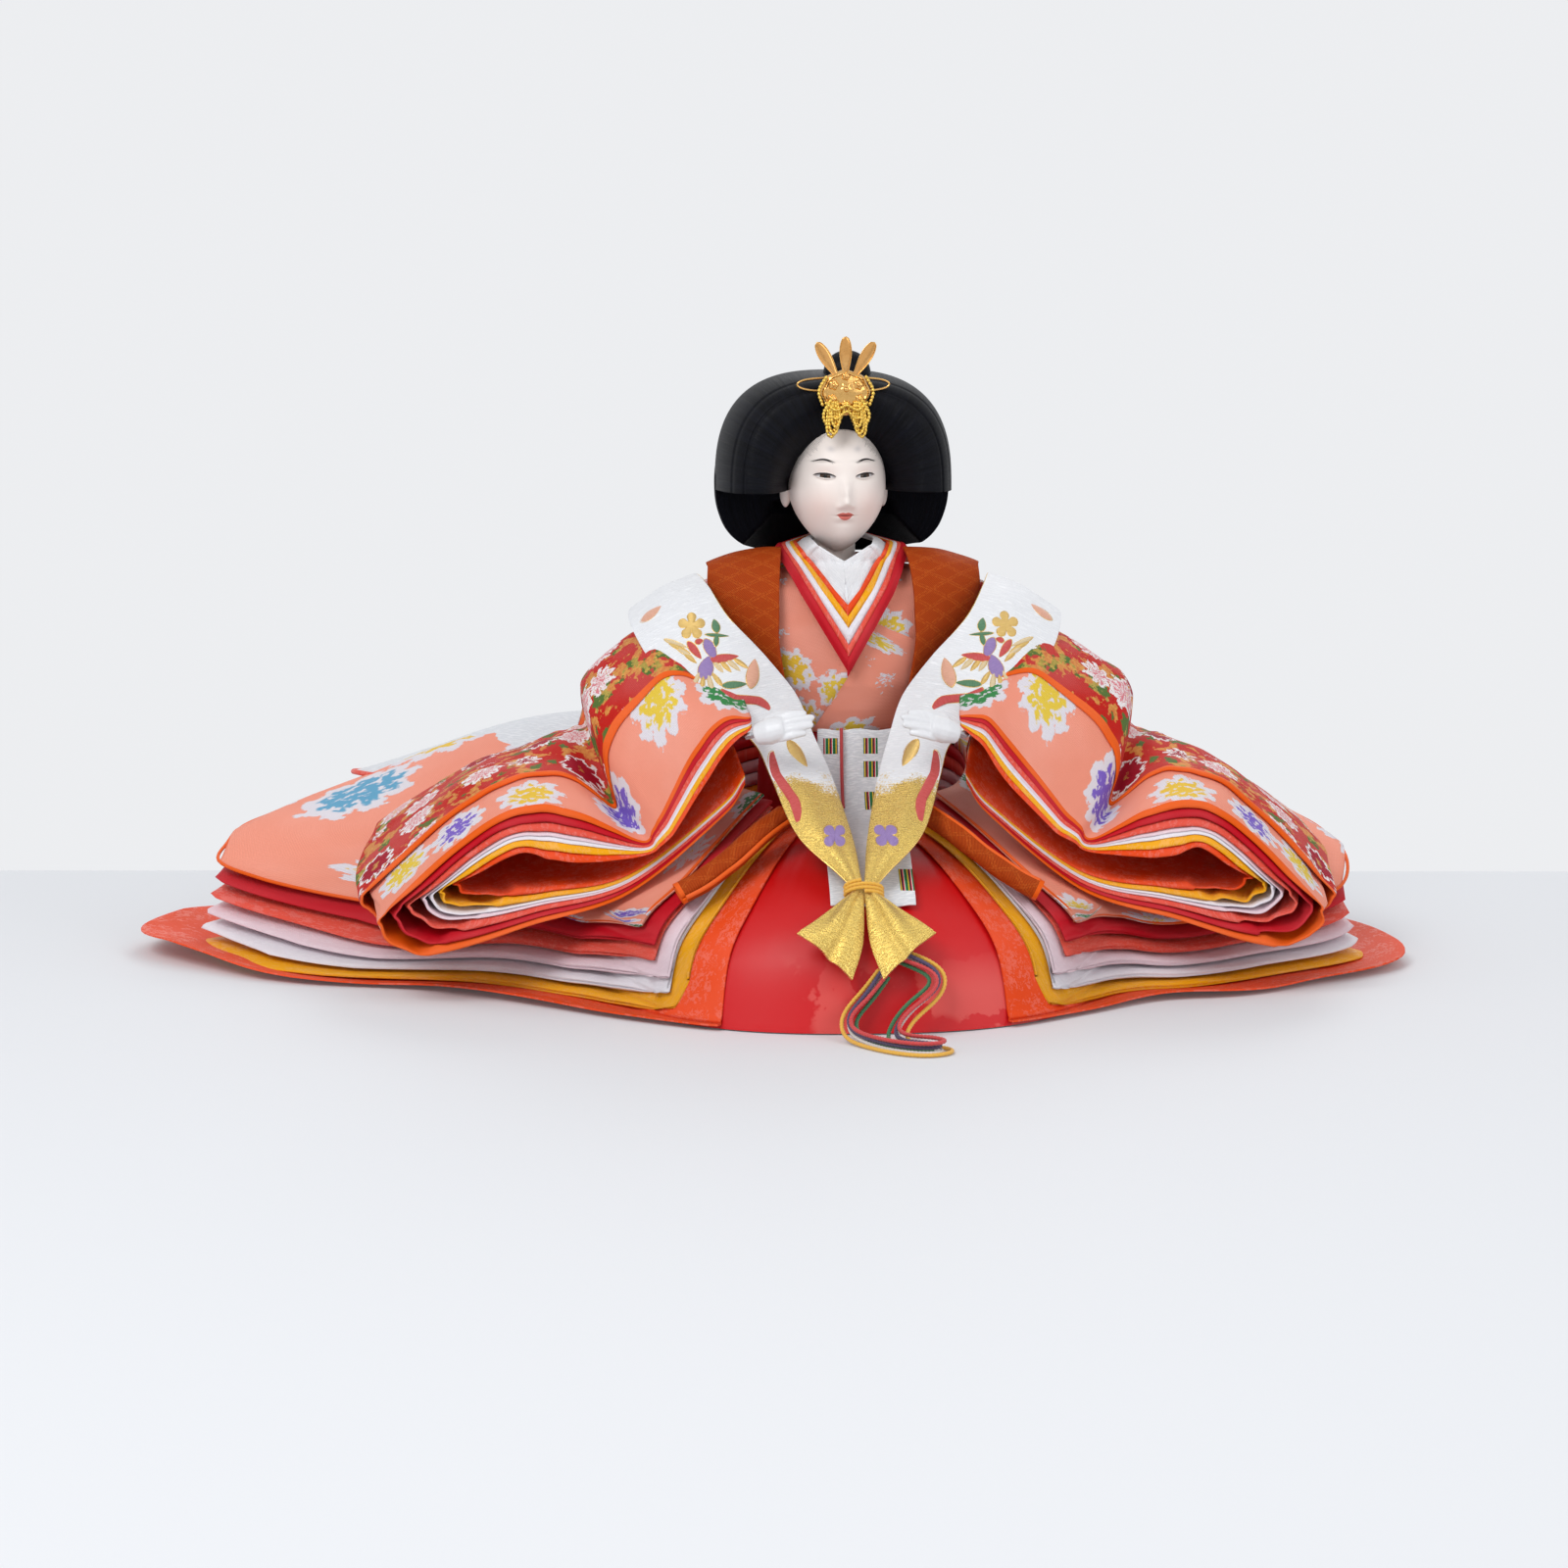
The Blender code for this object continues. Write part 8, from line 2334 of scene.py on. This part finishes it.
# Embroidery on the scarf, seen from the camera in the plane MOTIF_PLANE_Y: shape, place across and up (mm),
# length and width (mm), turn (degrees) and colour. The other band has the same patterns mirrored.
MOTIF_PLANE_Y = -0.060
MOTIF_COLOURS = {"gold": (0.84, 0.54, 0.12), "green": (0.03, 0.20, 0.06), "cream": (0.86, 0.66, 0.36),
                 "purple": (0.30, 0.17, 0.50), "red": (0.66, 0.010, 0.006), "peach": (0.88, 0.42, 0.26)}
MOTIFS = (
    ("flower", -48.5, 112.8, 8.2, 8.2, 90, "gold"), ("petal", -41.3, 112.8, 4.3, 2.4, 105, "green"),
    ("petal", -41.1, 108.6, 4.3, 1.6, 82, "green"), ("petal", -40.9, 110.0, 7.4, 1.0, -4, "green"),
    # the phoenix: feathers, tail, wings, body and head
    ("petal", -53.2, 107.6, 7.6, 1.3, -20, "cream"), ("petal", -52.1, 106.2, 7.2, 1.3, -26, "gold"),
    ("petal", -50.5, 104.8, 6.2, 1.3, -32, "cream"), ("petal", -48.9, 103.2, 5.0, 1.3, -40, "gold"),
    ("petal", -40.4, 100.4, 4.2, 1.3, -50, "cream"), ("petal", -38.2, 100.5, 4.6, 1.3, -46, "gold"),
    ("petal", -35.9, 100.9, 5.2, 1.3, -40, "cream"), ("petal", -33.6, 101.4, 5.4, 1.3, -34, "gold"),
    ("petal", -47.3, 96.6, 6.0, 1.4, 62, "cream"), ("petal", -45.3, 95.4, 6.4, 1.4, 82, "gold"),
    ("petal", -43.0, 95.8, 6.0, 1.4, 104, "cream"), ("petal", -41.0, 96.9, 5.2, 1.3, 128, "gold"),
    ("petal", -47.7, 105.6, 6.8, 2.3, -52, "red"), ("petal", -39.0, 103.1, 9.2, 2.5, 8, "red"),
    ("petal", -42.9, 105.8, 7.2, 3.3, -62, "purple"), ("petal", -44.2, 100.2, 7.6, 4.5, 74, "purple"),
    ("petal", -46.3, 108.2, 2.6, 1.7, 20, "red"), ("petal", -35.8, 95.1, 7.6, 2.2, 4, "green"),
    ("petal", -30.2, 98.4, 9.0, 3.8, 82, "peach"), ("petal", -60.6, 116.5, 8.2, 2.4, 38, "peach"),
    # ribbons and leaves further down
    ("ribbon", -32.4, 90.6, 16.0, 2.8, -28, "red"), ("petal", -27.7, 70.6, 7.0, 2.3, 97, "green"),
    ("ribbon", -20.7, 64.2, 23.0, 3.4, -75, "red"), ("petal", -16.7, 74.0, 10.6, 3.4, -54, "gold"),
    ("quad", -5.6, 49.1, 8.0, 8.0, 45, "purple"), ("petal", -2.8, 35.8, 4.6, 1.9, 70, "red"),
    ("petal", -3.3, 28.4, 5.0, 2.0, 50, "green"), ("petal", -11.0, 27.0, 5.0, 2.0, 30, "red"))
MOTIF_SIDES = 40
MOTIF_RINGS = (0.04, 0.35, 0.65, 0.85, 0.96, 1.0)
MOTIF_RISE = 0.00042
RIM_RADIUS = 0.00014


def satin_stitch(colour):
    """Glossy flat stitches laid side by side across the shape."""
    look = Look("stitches_" + colour)
    x = look.parts(look.uv())[0]
    tone = MOTIF_COLOURS[colour]
    drift = look.noise(look.scaled(look.uv(), (5.0, 0.5, 1.0)), 1.0, 2.0)
    rows = look.math("SINE", look.times(x, 2 * math.pi / 0.16))
    base = look.mix(drift, lighter(tone, -0.30), lighter(tone, 0.16))
    return look.finish(base, 0.42, look.bump(look.plus(rows, drift), 0.00004, 0.6),
                       0.75 if colour == "gold" else 0.0, specular_ior_level=0.3)


def motif_point(shape, angle, length, width):
    """Outline of a shape about its own centre, in mm, at an angle round it."""
    c = math.cos(angle)
    s = math.sin(angle)
    if shape == "petal":
        return 0.5 * length * c, 0.5 * width * s * abs(s) ** 0.45 * (1.0 - 0.25 * c)
    if shape == "ribbon":
        u = math.copysign(abs(c) ** 0.5, c)
        v = math.copysign(abs(s) ** 0.5, s)
        return 0.5 * length * u, 0.5 * width * v * (1 - 0.35 * u * u) + 0.55 * width * math.sin(2.6 * u)
    lobes = 4 if shape == "quad" else 5
    reach = 0.5 * length * (0.40 + 0.60 * abs(math.cos(lobes * angle / 2)) ** 0.55)
    return reach * c, reach * s


def build_embroidery(bands):
    """Raised satin stitches on both bands, each shape with a gold outline."""
    eye = Vector(CAMERA_PLACE)
    for side, band in bands.items():
        name = "left" if side > 0 else "right"
        flip = -side
        start = Vector((eye.x * flip, eye.y, eye.z))
        patches = {}
        rims = []
        for shape, across, high, length, width, turn, colour in MOTIFS:
            c = math.cos(math.radians(turn))
            s = math.sin(math.radians(turn))

            def on_band(u, v, lift):
                place = Vector(((across + u * c - v * s) * 0.001 * flip, MOTIF_PLANE_Y,
                                (high + u * s + v * c) * 0.001))
                ray = (place - start).normalized()
                hit, normal, _, _ = band.ray_cast(start, ray)
                if hit is None:
                    return None
                return hit + (normal if normal.dot(ray) < 0 else -normal) * lift

            grid = []
            for share in MOTIF_RINGS:
                lift = MOTIF_RISE * (1 - share ** 3) - 0.00004
                ring = [motif_point(shape, a, length, width)
                        for a in np.linspace(0, 2 * math.pi, MOTIF_SIDES, endpoint=False)]
                grid.append([on_band(u * share, v * share, lift) for u, v in ring])
            if any(p is None for row in grid for p in row):
                continue
            marks = [[(u * share, v * share) for u, v in ring] for share in MOTIF_RINGS]
            patches.setdefault(colour, []).append((grid, marks))
            line = [tuple(p) for p in grid[-1]] + [tuple(grid[-1][0])]
            rims.append((even(np.array(line), 80), 1.0))
        for colour, shapes in patches.items():
            verts = []
            faces = []
            flat = []
            for grid, marks in shapes:
                first = len(verts)
                rows = len(grid)
                for row in grid:
                    verts += [tuple(p) for p in row]
                for i in range(rows - 1):
                    for j in range(MOTIF_SIDES):
                        n = (j + 1) % MOTIF_SIDES
                        faces.append(tuple(first + a * MOTIF_SIDES + b for a, b in (
                            (i, j), (i + 1, j), (i + 1, n), (i, n))))
                        flat += [marks[a][b] for a, b in ((i, j), (i + 1, j), (i + 1, n), (i, n))]
                faces.append(tuple(first + j for j in range(MOTIF_SIDES)))
                flat += list(marks[0])
            mesh = bpy.data.meshes.new("stitches_" + colour + "_" + name)
            mesh.from_pydata(verts, [], faces)
            layer = mesh.uv_layers.new(name="cloth")
            layer.data.foreach_set("uv", [value for pair in flat for value in pair])
            mesh.materials.append(STITCHES[colour])
            mesh.polygons.foreach_set("use_smooth", [True] * len(faces))
            attach(edit_mesh(linked(mesh.name, mesh)))
        attach(bundle("stitches_outline_" + name, rims, RIM_RADIUS, GOLD_THREAD, sides=5))


STITCHES = {colour: satin_stitch(colour) for colour in MOTIF_COLOURS}


# Build
build_stage()
build_cords()
build_lap_pad()
build_trousers()
build_under_robe()
for number, (robe_colour, robe_node, softness) in enumerate(ROBES):
    robe = build_robe(number, robe_colour, robe_node, softness)
build_train()
build_sleeves()
build_torso()
build_waist_wrap()
build_collars()
build_jacket_collar()
build_embroidery(build_hire())
build_sash()
build_rolls()
build_face()
build_hair()
build_ornament()
build_hands()
finish_hidden_parts()
